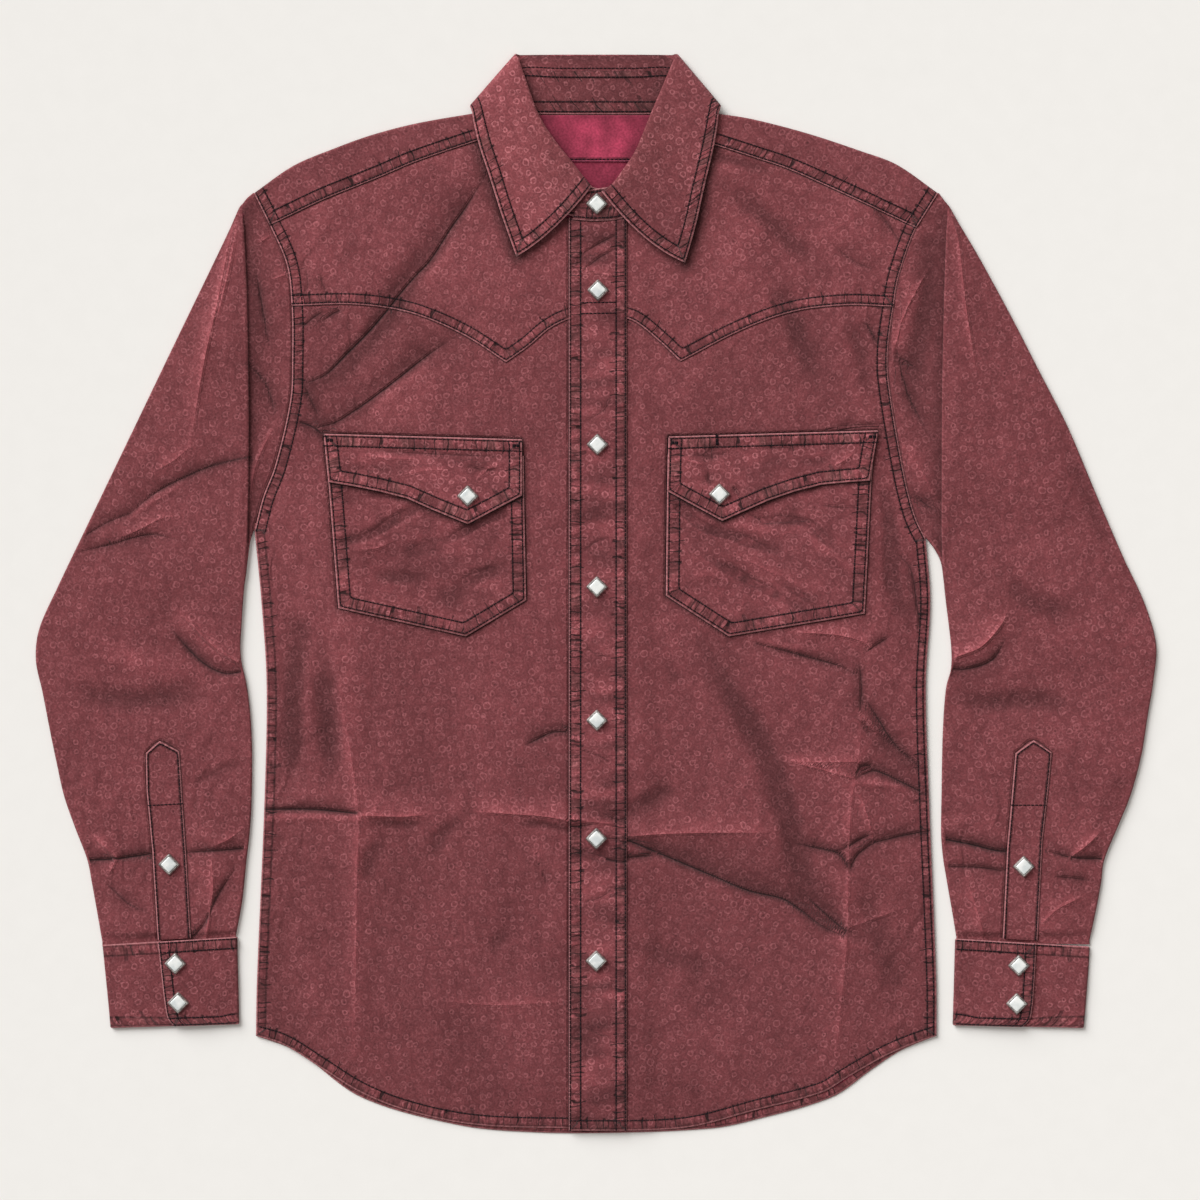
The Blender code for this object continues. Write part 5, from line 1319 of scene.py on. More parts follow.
@dataclass(frozen=True)
class Shirting:
    """A finish of the shirting: its dye, print, worn edges, and the painted light and shade of its puckers,
    creases and shaded places.

    Attributes:
        name: The material's name.
        dye: Linear colour of the cloth.
        ink: Linear colour of the rings.
        worn: Linear colour of an edge worn pale.
        grime: Linear colour of the stains in a welt.
        ring: How strong the print is.
    """

    name: str
    dye: Colour = (0.167, 0.0380, 0.0442)
    ink: Colour = (0.400, 0.132, 0.146)
    worn: Colour = (0.430, 0.180, 0.190)
    grime: Colour = (0.130, 0.052, 0.050)
    ring: float = 0.9

    def material(self, effects: dict[str, bpy.types.NodeTree]) -> bpy.types.Material:
        """The material: dye, then print, then the painted light and shade of creases, seams and shaded
        places.
        """
        graph = Finish(self.name)
        cloth = graph.add("UVMap", uv_map="cloth").outputs["UV"]
        rub, fold = graph.attribute("rub"), graph.attribute("fold")

        def effect(name: str, **inputs: Socket | str) -> Sequence[Socket]:
            """The outputs of an effect; an input given by name is stored at the piece's points."""
            node = graph.add("Group", node_tree=effects[name])
            for title, value in inputs.items():
                graph.feed(node.inputs[title], graph.attribute(value) if isinstance(value, str) else value)
            return node.outputs

        rings, grain = effect("ring_print", Cloth=cloth), effect("cloth_grain", Cloth=cloth)
        wear = effect("seam_wear", Edge="edge", Run="run", Welt="welt")
        rumple = effect("rumple", Place=graph.scaled(graph.place, 1.0 / MM), Amount="rumple")
        lines = effect("crease_line", Line="line", Press="press")
        # Painted shade and highlight: the fold attribute and the crease lines darken troughs, shaded places
        # and cloth under edges, and lighten crests.
        shade = graph.times(graph.ramp(fold, -2.4, 2.0, 0.55, 1.35), grain["Tone"], lines["Tone"])
        # Painted light and shade of the seams: pucker bands, tucks and the stitch rows.
        for mask, depth in (("Pucker", 0.24), ("Tuck", -0.80), ("Groove", -0.50)):
            shade = graph.times(shade, graph.plus(1.0, graph.times(wear[mask], depth)))
        shade = graph.times(shade, rumple["Tone"], graph.ramp(rub, 0.0, 1.0, 1.0, 1.12))
        deep, black = (tuple(share * part for part in self.dye) for share in (0.62, 0.3))
        inked = graph.times(rings["Ring"], graph.ramp(rub, 0.0, 1.0, 0.54 * self.ring, 0.82 * self.ring))
        stain = graph.times(wear["Grime"], graph.ramp(rub, 0.0, 1.0, 0.15, 0.45))
        colour = self.dye
        for amount, tint in ((graph.times(rings["Halo"], 0.42 * self.ring), deep), (inked, self.ink),
                             (graph.times(rings["Squiggle"], 0.30 * self.ring), self.ink),
                             (graph.times(rings["Dot"], 0.55 * self.ring), black), (stain, self.grime)):
            colour = graph.mix(amount, colour, tint)
        grey = graph.add("CombineColor", dict.fromkeys(range(3), shade)).outputs[0]
        colour = graph.mix(1.0, colour, grey, "MULTIPLY")
        colour = graph.mix(graph.times(wear["Pale"], 0.8), colour, self.worn)
        height = graph.times(grain["Height"], 0.05)
        for amount, depth in ((wear["Pucker"], 0.28), (wear["Tuck"], -0.45), (rumple["Height"], 1.0),
                              (lines["Height"], 0.42)):
            height = graph.plus(height, graph.times(amount, depth))
        return graph.close((height, 1.0, MM), Base_Color=colour, Sheen_Weight=0.12, Sheen_Roughness=0.5,
                           Roughness=graph.ramp(grain["Tone"], 0.8, 1.2, 0.92, 0.80), Specular_IOR_Level=0.25)


@dataclass(frozen=True)
class SewingThread:
    """Near-black polyester thread, with a twist along each stitch."""

    colour: Colour = (0.010, 0.006, 0.008)
    # A painted highlight on the top of each twist.
    light: float = 1.8  # how much lighter the top of each twist is

    def material(self) -> bpy.types.Material:
        """The material."""
        graph = Finish("sewing_thread")
        twist = graph.add("TexWave", {"Vector": graph.place, "Scale": 900.0, "Distortion": 3.0},
                          bands_direction="DIAGONAL").outputs["Fac"]
        colour = graph.mix(twist, self.colour, tuple(part * self.light for part in self.colour))
        return graph.close((twist, 0.5, 0.1 * MM), Base_Color=colour, Roughness=0.75, Specular_IOR_Level=0.12)


@dataclass(frozen=True)
class SnapMetal:
    """Darkened nickel plate, brighter where it is worn."""

    dark: Colour = (0.30, 0.28, 0.27)
    bright: Colour = (0.70, 0.68, 0.65)

    def material(self) -> bpy.types.Material:
        """The material."""
        graph = Finish("snap_metal")
        worn = graph.ramp(graph.noise(graph.place, 420.0, 4.0), 0.35, 0.65)
        pits = graph.noise(graph.place, 1500.0, 3.0)
        return graph.close((pits, 0.25, 0.1 * MM), Base_Color=graph.mix(worn, self.dark, self.bright),
                           Roughness=graph.ramp(worn, 0.0, 1.0, 0.55, 0.42), Metallic=1.0)


@dataclass(frozen=True)
class Pearl:
    """White pearl inlay, with soft drifting bands under a clear gloss."""

    white: Colour = (0.82, 0.83, 0.81)
    cool: Colour = (0.60, 0.64, 0.64)

    def material(self) -> bpy.types.Material:
        """The material."""
        graph = Finish("snap_pearl")
        drift = graph.ramp(graph.noise(graph.place, 140.0, 3.0), 0.35, 0.7)
        return graph.close(Base_Color=graph.mix(drift, self.white, self.cool), Coat_Weight=0.5,
                           Coat_Roughness=0.08, Roughness=graph.ramp(drift, 0.0, 1.0, 0.22, 0.34))


@dataclass(frozen=True)
class Paper:
    """Fine matt paper for the floor."""

    tints: tuple[Colour, Colour] = ((0.83, 0.815, 0.79), (0.86, 0.845, 0.82))

    def material(self) -> bpy.types.Material:
        """The material."""
        graph = Finish("matt_paper")
        fibres = graph.noise(graph.place, 60.0, 3.0)
        return graph.close(Base_Color=graph.mix(fibres, *self.tints), Roughness=0.9)


class Finishes:
    """Every material of the shirt, made once."""

    def __init__(self) -> None:
        """Builds the effects that cloth finishes share, then the materials."""
        kinds = (RingPrint, ClothGrain, SeamWear, Rumple, CreaseLine)
        effects = {made.name: made for made in (kind().group() for kind in kinds)}
        self.shirting = Shirting("washed_shirting").material(effects)
        self.inside = Shirting("crimson_inside", (0.360, 0.036, 0.080), (0.42, 0.06, 0.11), (0.5, 0.12, 0.2),
                               ring=0.25).material(effects)
        self.thread, self.metal, self.pearl = (kind().material() for kind in (SewingThread, SnapMetal, Pearl))


# Making objects.

# What each piece stores at its points, with the value that it has where nothing else is given.
# fold carries painted shade and highlight; line and press place the lines of painted shade and highlight
# along creases and edges.
FIELDS = {"edge": FAR, "run": 0.0, "welt": 1.0, "fold": 0.0, "rumple": 0.15, "rub": 0.0, "line": FAR,
          "press": 0.0}


@dataclass
class Workshop:
    """Makes the finished objects, and lays the print on each piece of cloth at its own angle and place."""

    finishes: Finishes
    count: int = 0  # pieces of cloth made so far
    turn: float = 0.37  # how much further the print is turned on each piece
    shift: tuple[float, float] = (137.0, 71.0)  # how much further it is moved
    sharp: float = 1.1  # angle from which an edge stays sharp

    def mesh(self, name: str, points: Array, faces: Sequence,
             materials: Sequence[bpy.types.Material]) -> bpy.types.Object:
        """An object from points in millimetres."""
        mesh = bpy.data.meshes.new(name)
        mesh.from_pydata((points * MM).tolist(), [], faces)
        for material in materials:
            mesh.materials.append(material)
        obj = bpy.data.objects.new(name, mesh)
        bpy.context.scene.collection.objects.link(obj)
        mesh.shade_smooth()
        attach(obj, "root")
        return obj

    def cloth(self, name: str, shells: Sequence[tuple[Shell, dict[str, Array]]], flat: tuple[float, float],
              area: float, inside: Sequence[str] = (), held: str = "laid", rests_on: Sequence[str] = (),
              slot: str = "shirting", turned: float = 0.0, rub: float = 0.0) -> None:
        """A cloth piece from one or more shells.

        Args:
            name: The piece, and the solid that it stands for.
            shells: Each shell with the fields of its grid.
            flat: Width and length of the cut, in metres. Not used.
            area: The cut's area, in square metres. Not used.
            inside: "outer" or "inner", for the faces that show the crimson side.
            held: How the cloth is held. Not used.
            rests_on: What it lies on. Not used.
            slot: The record's material slot. Not used.
            turned: How far from a sewn edge the crimson side is hidden by the turned hem.
            rub: How worn its print is, from 0 to 1.
        """
        points, faces, slots, start = [], [], [], 0
        values: dict[str, list] = {key: [] for key in FIELDS}
        for shell, fields in shells:
            points.append(shell.points)
            faces += [tuple(start + corner for corner in face) for face in shell.faces]
            rest = len(shell.faces) - shell.outer_faces
            hem = np.broadcast_to(fields.get("edge", FIELDS["edge"]), shell.outer.shape[:2])
            plain = (hem[:-1, :-1].ravel() < turned) | (not shell.lined and "outer" not in inside)
            slots += (~plain).astype(int).tolist() + [int("inner" in inside)] * rest
            for key, made in values.items():
                table = fields.get(key, rub if key == "rub" else FIELDS[key])
                made.append(np.broadcast_to(table, shell.outer.shape[:2]).ravel()[shell.source])
            start += len(shell.points)
        spots = np.vstack(points)
        obj = self.mesh(f"{name}_cloth", spots, faces, [self.finishes.shirting, self.finishes.inside])
        mesh = obj.data
        mesh.polygons.foreach_set("material_index", slots)
        for key, made in values.items():
            stored = mesh.attributes.new(key, "FLOAT", "POINT")
            stored.data.foreach_set("value", np.concatenate(made).astype(np.float32))
        self.count += 1
        sine, cosine = np.sin(self.turn * self.count), np.cos(self.turn * self.count)
        across = spots[:, 0] * cosine - spots[:, 1] * sine + self.shift[0] * self.count
        up = spots[:, 0] * sine + (spots[:, 1] + 0.5 * spots[:, 2]) * cosine + self.shift[1] * self.count
        corner = np.empty(len(mesh.loops), int)
        mesh.loops.foreach_get("vertex_index", corner)
        layer = mesh.uv_layers.new(name="cloth")
        layer.data.foreach_set("uv", np.stack([across, up], axis=1)[corner].astype(np.float32).ravel())
        mesh.set_sharp_from_angle(angle=self.sharp)
        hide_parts(name)
        log.info("%s: %d points, %d faces, %.4f m2 a side", name, len(spots), len(faces),
                 sum(polygon.area for polygon in mesh.polygons) / 2)

    def sew(self, piece: Sheet, flat: tuple[float, float], area: float, tone: Field | None = None,
            keep: Callable[[Array], Array] | None = None, extra: Sequence[Array] = (),
            **settings: object) -> None:
        """Makes a flat-cut piece and its stitches.

        Args:
            piece: The piece.
            flat: Width and length of the cut, in metres.
            area: The cut's area, in square metres.
            tone: How light it is, from place to place: painted shade and highlight, with unevenness where
                given.
            keep: Which points of a row of stitches are seen, where some aren't.
            extra: Paths of further stitches.
            settings: What else is said to cloth.
        """
        self.cloth(piece.name, [piece.shell(tone)], flat, area, **settings)
        self.thread(f"stitches_{piece.name}", [*piece.stitches(keep), *extra])

    def thread(self, name: str, paths: Sequence[Array]) -> None:
        """A row of stitches along each path, as one object.

        Each stitch is a four-sided spindle: two rings of four points, and at each end a tip that dips into
        the cloth.
        """
        starts, ends = [], []
        for path in paths:
            total = lengths(path)[-1]
            if total < STITCH:
                continue
            middle = np.arange(STITCH / 2, total, STITCH)
            starts.append(resampled(path, (middle - STITCH / 2).clip(0) / total))
            ends.append(resampled(path, (middle + STITCH / 2) / total))
        start, end = np.vstack(starts), np.vstack(ends)
        axis = end - start
        axis /= np.maximum(np.linalg.norm(axis, axis=1, keepdims=True), 1e-9)
        beside = np.cross(axis, (0.0, 0.0, 1.0))
        beside /= np.maximum(np.linalg.norm(beside, axis=1, keepdims=True), 1e-9)
        up = np.cross(beside, axis)
        middle, half = (start + end) / 2, STITCH / 2
        points = [middle - axis * half - up * 0.25]
        for along in (-0.7, 0.7):
            for b, u in ((1, 0), (0, 1), (-1, 0), (0, -1)):
                points.append(middle + axis * half * along + THREAD * (beside * b + up * u))
        points.append(middle + axis * half - up * 0.25)
        points = np.stack(points, axis=1)
        faces = [(0, 1 + (n + 1) % 4, 1 + n) for n in range(4)]
        faces += [(1 + n, 1 + (n + 1) % 4, 5 + (n + 1) % 4, 5 + n) for n in range(4)]
        faces += [(9, 5 + n, 5 + (n + 1) % 4) for n in range(4)]
        count = len(points)
        every = [tuple(10 * stitch + corner for corner in face) for stitch in range(count) for face in faces]
        obj = self.mesh(name, points.reshape(-1, 3), every, [self.finishes.thread])
        log.info("%s: %d stitches", name, count)


@dataclass
class Sheet:
    """A flat-cut piece on the layer below it.

    Attributes:
        name: The piece, and the solid that it stands for.
        plan: Its grid, seen from above.
        level: Height of its underside.
        seams: Its sewn edges.
        ridges: Edges that stand up or sink in: path, rise and reach.
        extra: Height added to its upper side alone.
        wall: Its thickness.
        rumple: How strong the fine wrinkles are, from 0 to 1.
        lines: Sharp creases on it, and painted shadow lines along edges that lie on it.
    """

    name: str
    plan: Array
    level: Field
    seams: list[Seam]
    ridges: list[tuple[Array, float, float]] = field(default_factory=list)
    extra: Field | None = None
    wall: float = CLOTH
    rumple: Field | None = None
    lines: Sequence[Crease] = ()

    def height(self, x: Array, y: Array) -> Array:
        """Height of the upper side."""
        rows = sorted({row for seam in self.seams for row in seam.rows})
        top = self.level(x, y)
        if self.seams:
            top = top + seam_thickness(seam_fields(x, y, self.seams), rows, self.wall)
        else:
            top = top + self.wall - 0.2  # without a welt it is thinner
        for path, rise, reach in self.ridges:
            top = top + rise * np.exp(-np.abs(nearest(x, y, path)[0]) / reach)
        return top + self.extra(x, y) if self.extra else top

    def shell(self, tone: Field | None = None) -> tuple[Shell, dict[str, Array]]:
        """The shell and its fields."""
        plan = facing_up(self.plan)
        x, y = plan[:, :, 0], plan[:, :, 1]
        rounded = rounding(rim_distance(plan), self.wall)
        top = self.height(x, y) - rounded
        low = lowest(self.level(x, y)) + 0.5 * rounded
        fields = seam_fields(x, y, self.seams)
        fields["fold"] = tone(x, y) if tone else np.zeros(x.shape)
        fields["rumple"] = self.rumple(x, y) if self.rumple else np.full(x.shape, FIELDS["rumple"])
        fields |= crease_lines(x, y, self.lines)
        return Shell(np.dstack([plan, top]), np.dstack([plan, low])), fields

    def stitches(self, keep: Callable[[Array], Array] | None = None) -> list[Array]:
        """The paths of its rows of stitches."""
        paths = []
        for seam in self.seams:
            for row in seam.rows:
                line = inset(seam.path, row)
                parts = [line] if keep is None else stretches(line, keep(line))
                paths += [self.on_top(part) for part in parts if len(part) > 2]
        return paths

    def on_top(self, line: Array) -> Array:
        """A line laid on the piece's upper side."""
        line = np.asarray(line, float)
        line = resampled(line, np.linspace(0.0, 1.0, max(3, round(lengths(line)[-1] / 1.5))))
        return np.column_stack([line, self.height(line[:, 0], line[:, 1]) + THREAD_LIFT])


# Sub-assemblies.


@dataclass
class FrontPanels:
    """Both fronts, their yokes and the placket."""

    workshop: Workshop
    drape: Drape
    step: float = 1.75
    cut: tuple[float, float] = (0.285, 0.63)
    yoke_cut: tuple[float, float] = (0.285, 0.19)

    def build(self) -> None:
        """Makes every piece of the front."""
        for side in SIDES:
            armhole = curve(ARMHOLE[side])
            yoke = np.vstack([curve(YOKE_SEAM[side]), curve(YOKE_CENTRE[side])[1:]])
            self.panel(side, yoke, part_of(armhole, YOKE_SEAM[side][0], ARMHOLE[side][-1])[::-1])
            self.yoke(side, yoke, part_of(armhole, SHOULDER_SEAM[side][0], YOKE_SEAM[side][0])[::-1])
        self.placket()

    def band(self, side: str, *heights: float) -> Crease:
        """The painted shadow line that the placket's edge lays on one front, through the given heights up the
        shirt.
        """
        x = PLACKET_EDGE + (0.0 if side == "right" else PLACKET_WIDTH)
        return shadow_line([(x, y) for y in heights])

    def panel(self, side: str, yoke: Array, lower: Array) -> None:
        """One front panel, whose top reaches in under the yoke."""
        hem = curve(FRONT_HEM[side])
        side_seam = curve(SIDE_SEAM[side])[::-1]
        outer = np.vstack([side_seam, lower[1:]])
        top = yoke + (0.0, TUCK)
        centre = np.array([hem[-1], top[-1]])
        across = stations(270.0, self.step, [share_of(top, YOKE_SEAM[side][-1])])
        up = stations(600.0, self.step, [share_of(outer, SIDE_SEAM[side][0])])
        plan = patch(hem, top, outer, centre, across, up)
        rows = (2.4, 7.2) if side == "left" else ()
        seams = [Seam(left_of(side, hem), (7.5,), 7.5), Seam(left_of(side, side_seam[::-1]), rows, 7.0),
                 Seam(left_of(side, lower[::-1]), (1.4, 8.0), 8.0)]
        corners = POCKET[side]
        # Painted shadow lines along the pocket's, flap's, placket's and yoke's edges.
        pocket = [shadow_line(corners[n : n + 2], -1.4) for n in range(len(corners) - 1)]
        lid = [shadow_line([FLAP[side][n] for n in pair], -1.5) for pair in ((0, 1), (-2, -1), (-1, 0))]
        lines = [*BODY_CREASES, *pocket, *lid, self.band(side, -402.0, -60.0, 279.0),
                 shadow_line(YOKE_SEAM[side]), shadow_line(YOKE_CENTRE[side])]
        ridges = [(yoke, -0.45, 2.5), (lower, 0.5, 9.0)]
        piece = Sheet(f"front_{side}", plan, self.drape.level(side), seams, ridges, rumple=body_rumple,
                      lines=lines)
        # Painted shade and highlight of the drape, and painted shadow beside the pocket and flap.
        self.workshop.sew(piece, self.cut, 0.158,
                          lambda x, y: self.drape.shade(x, y) - 1.1 * edge_shadow(x, y, [*pocket, *lid], 3.0),
                          inside=("inner",), rests_on=["back"])

    def yoke(self, side: str, yoke: Array, upper: Array) -> None:
        """One pointed front yoke, which laps over the panel."""
        shoulder = curve(SHOULDER_SEAM[side])
        top = np.vstack([shoulder + (0.0, TUCK), curve(FRONT_NECK[side])[1:] + (0.0, TUCK)])
        centre = np.array([yoke[-1], top[-1]])
        marks = [share_of(yoke, YOKE_SEAM[side][-1]), share_of(top, SHOULDER_SEAM[side][-1])]
        plan = patch(yoke, top, upper, centre, stations(285.0, self.step, marks, far=False),
                     stations(120.0, self.step * 0.85))
        seams = [Seam(left_of(side, yoke), (1.5, 7.8), 7.8),
                 Seam(left_of(side, upper[::-1]), (1.4, 8.0), 8.0)]
        ridges = [(yoke, 0.65, 6.0), (upper, 0.5, 9.0), (shoulder, -0.45, 2.5)]
        # Painted shadow lines along the shoulder seam, the collar's wings and the placket's edge.
        lines = [*BODY_CREASES, shadow_line(SHOULDER_SEAM[side]), *collar_edges(),
                 self.band(side, 200.0, 240.0, 279.0)]
        piece = Sheet(f"front_yoke_{side}", plan, self.drape.level(side), seams, ridges, rumple=body_rumple,
                      lines=lines)
        # Painted shade and highlight of the drape, lighter all over, and painted shadow under the collar's
        # wings.
        self.workshop.sew(piece, self.yoke_cut, 0.031,
                          lambda x, y: (self.drape.shade(x, y) + 0.45
                                        - 2.8 * edge_shadow(x, y, collar_edges(), 6.5)),
                          (lambda line: line[:, 0] < UNDERLAP_EDGE - 44) if side == "right" else
                          (lambda line: line[:, 0] > 23.0), inside=("inner",), rests_on=["back_yoke"])

    def placket(self) -> None:
        """The placket, one long band along the free edge of the left front."""
        right = PLACKET_EDGE + PLACKET_WIDTH
        low, high = PLACKET_ENDS
        edge, inner = (np.array([(x, low), (x, high)]) for x in (PLACKET_EDGE, right))
        bottom, top = (np.array([edge[n], inner[n]]) for n in (0, 1))
        plan = patch(bottom, top, edge, inner, stations(PLACKET_WIDTH, 1.9),
                     stations(high - low, 2.1, far=False))
        seams = [Seam(edge[::-1], (0.9, 8.8), 8.8), Seam(inner, (0.9, 7.8), 7.8), Seam(bottom, (7.5,), 7.5)]
        piece = Sheet("placket", plan, lambda x, y: self.drape.over(x, y) + LAYER, seams, [(top, -0.7, 2.0)],
                      extra=lambda x, y: (0.9 * crease_relief(x, y, PLACKET_CREASES)
                                          + 0.44 * swell(0.35 * x, y, 7.0, 11)),
                      # Painted shadow lines under the collar's wings and the stand's front.
                      lines=[*PLACKET_CREASES, *collar_edges(),
                             shadow_line([line[:2] for line in COLLAR_STAND[:3]])])
        cross = [piece.on_top(np.array([(-12.4, y), (13.8, y + 0.4)])) for y in (217.5, 209.4)]
        # Painted shade and highlight of the drape and the placket's creases, random unevenness, and painted
        # shadow under the collar's wings.
        self.workshop.sew(piece, (0.044, 0.69), 0.0295,
                          lambda x, y: (self.drape.shade(x, y) + 1.5 * crease_relief(x, y, PLACKET_CREASES)
                                        + 1.6 * swell(0.35 * x, y, 7.0, 17)
                                        - 2.2 * edge_shadow(x, y, collar_edges(), 6.0)),
                          extra=cross, held="folded", rests_on=["front_left"], rub=0.5)


@dataclass
class Pockets:
    """Two patch pockets with a pointed foot, each under a pointed flap."""

    workshop: Workshop
    drape: Drape
    step: float = 1.5

    def build(self) -> None:
        """Makes the pockets and the flaps."""
        for side in SIDES:
            self.pocket(side)
            self.flap(side)

    def tone(self, x: Array, y: Array, creases: Sequence[Crease]) -> Array:
        """The painted shade and highlight of a piece from its own creases and those of the front below, with
        random unevenness.
        """
        return (0.5 * self.drape.shade(x, y) + 1.9 * crease_relief(x, y, creases)
                + 0.8 * swell(0.6 * x, y, 10.0, 18))

    def pocket(self, side: str) -> None:
        """One pocket, gathered a little along its stitched edges."""
        path = np.array(POCKET[side])
        top_out, upper_out, low_out, tip, low_in, upper_in, top_in = path
        bottom, top = np.array([low_out, tip, low_in]), np.array([top_out, top_in])
        outer, inner = np.array([low_out, upper_out, top_out]), np.array([low_in, upper_in, top_in])
        across = stations(149.0, self.step, [share_of(bottom, tip)])
        plan = patch(bottom, top, outer, inner, across, stations(128.0, self.step, far=False))
        creases, level = POCKET_CREASES[side], self.drape.level(side)
        # Painted shadow lines under the flap's edges.
        lid = [shadow_line(FLAP[side][first:last], -1.7) for first, last in ((1, -3), (-4, -2), (-3, -1))]
        piece = Sheet(f"pocket_{side}", plan, lambda x, y: level(x, y) + LAYER,
                      [Seam(left_of(side, path), (2.0, 9.6), 9.6)],
                      extra=lambda x, y: (0.32 * swell(x, y, 13.0, 12) + 0.15 * swell(x, y, 6.0, 13)
                                          + 1.8 * crease_relief(x, y, creases)), lines=[*creases, *lid])
        # Painted shadow under the flap's lower edge.
        self.workshop.sew(piece, (0.152, 0.142), 0.0192,
                          lambda x, y: (self.tone(x, y, creases)
                                        - 2.4 * edge_shadow(x, y, [shadow_line(FLAP[side][1:-1])], 3.4)),
                          rub=0.3, rests_on=[f"front_{side}"])

    def flap(self, side: str) -> None:
        """One flap, with a tack in each upper corner."""
        path = np.array(FLAP[side])
        top_out, low_out, tip, low_in, top_in = path[[0, 1, -3, -2, -1]]
        bottom, top = path[1:-1], np.array([top_out, top_in])
        across = stations(150.0, self.step, [share_of(bottom, tip)])
        plan = patch(bottom, top, np.array([low_out, top_out]), np.array([low_in, top_in]), across,
                     stations(46.0, self.step * 0.8))
        creases, level = FLAP_CREASES[side], self.drape.level(side)
        seams = [Seam(left_of(side, path), (2.0, 9.6), 9.6), Seam(left_of(side, top[::-1]), (1.8, 9.0), 9.0)]
        piece = Sheet(f"pocket_flap_{side}", plan, lambda x, y: level(x, y) + 2 * LAYER, seams,
                      [(bottom, 0.8, 6.0)], lines=creases,
                      extra=lambda x, y: (0.30 * swell(0.5 * x, y, 9.0, 14)
                                          + 1.5 * crease_relief(x, y, creases)))
        tacks = []
        for corner, way in ((top_out, np.sign(top_in[0] - top_out[0])),
                            (top_in, np.sign(top_out[0] - top_in[0]))):
            for row in np.arange(3) * 0.7:
                tack = np.array([(way * 1.5, -4.2 - row), (way * 8.0, -4.2 - row)])
                tacks.append(piece.on_top(corner + tack))
        edge = top[np.argsort(top[:, 0])].T
        if side == "left":  # a mend at the flap's upper edge
            tacks += [piece.on_top(np.array([(x, 119.0), (x + 0.4, 111.5)])) for x in (88.6, 89.3, 90.0)]
        self.workshop.sew(piece, (0.154, 0.062), 0.0074, lambda x, y: self.tone(x, y, creases),
                          lambda line: line[:, 1] < np.interp(line[:, 0], *edge) - 0.6,
                          tacks, rub=0.9, held="folded", rests_on=[f"pocket_{side}"])


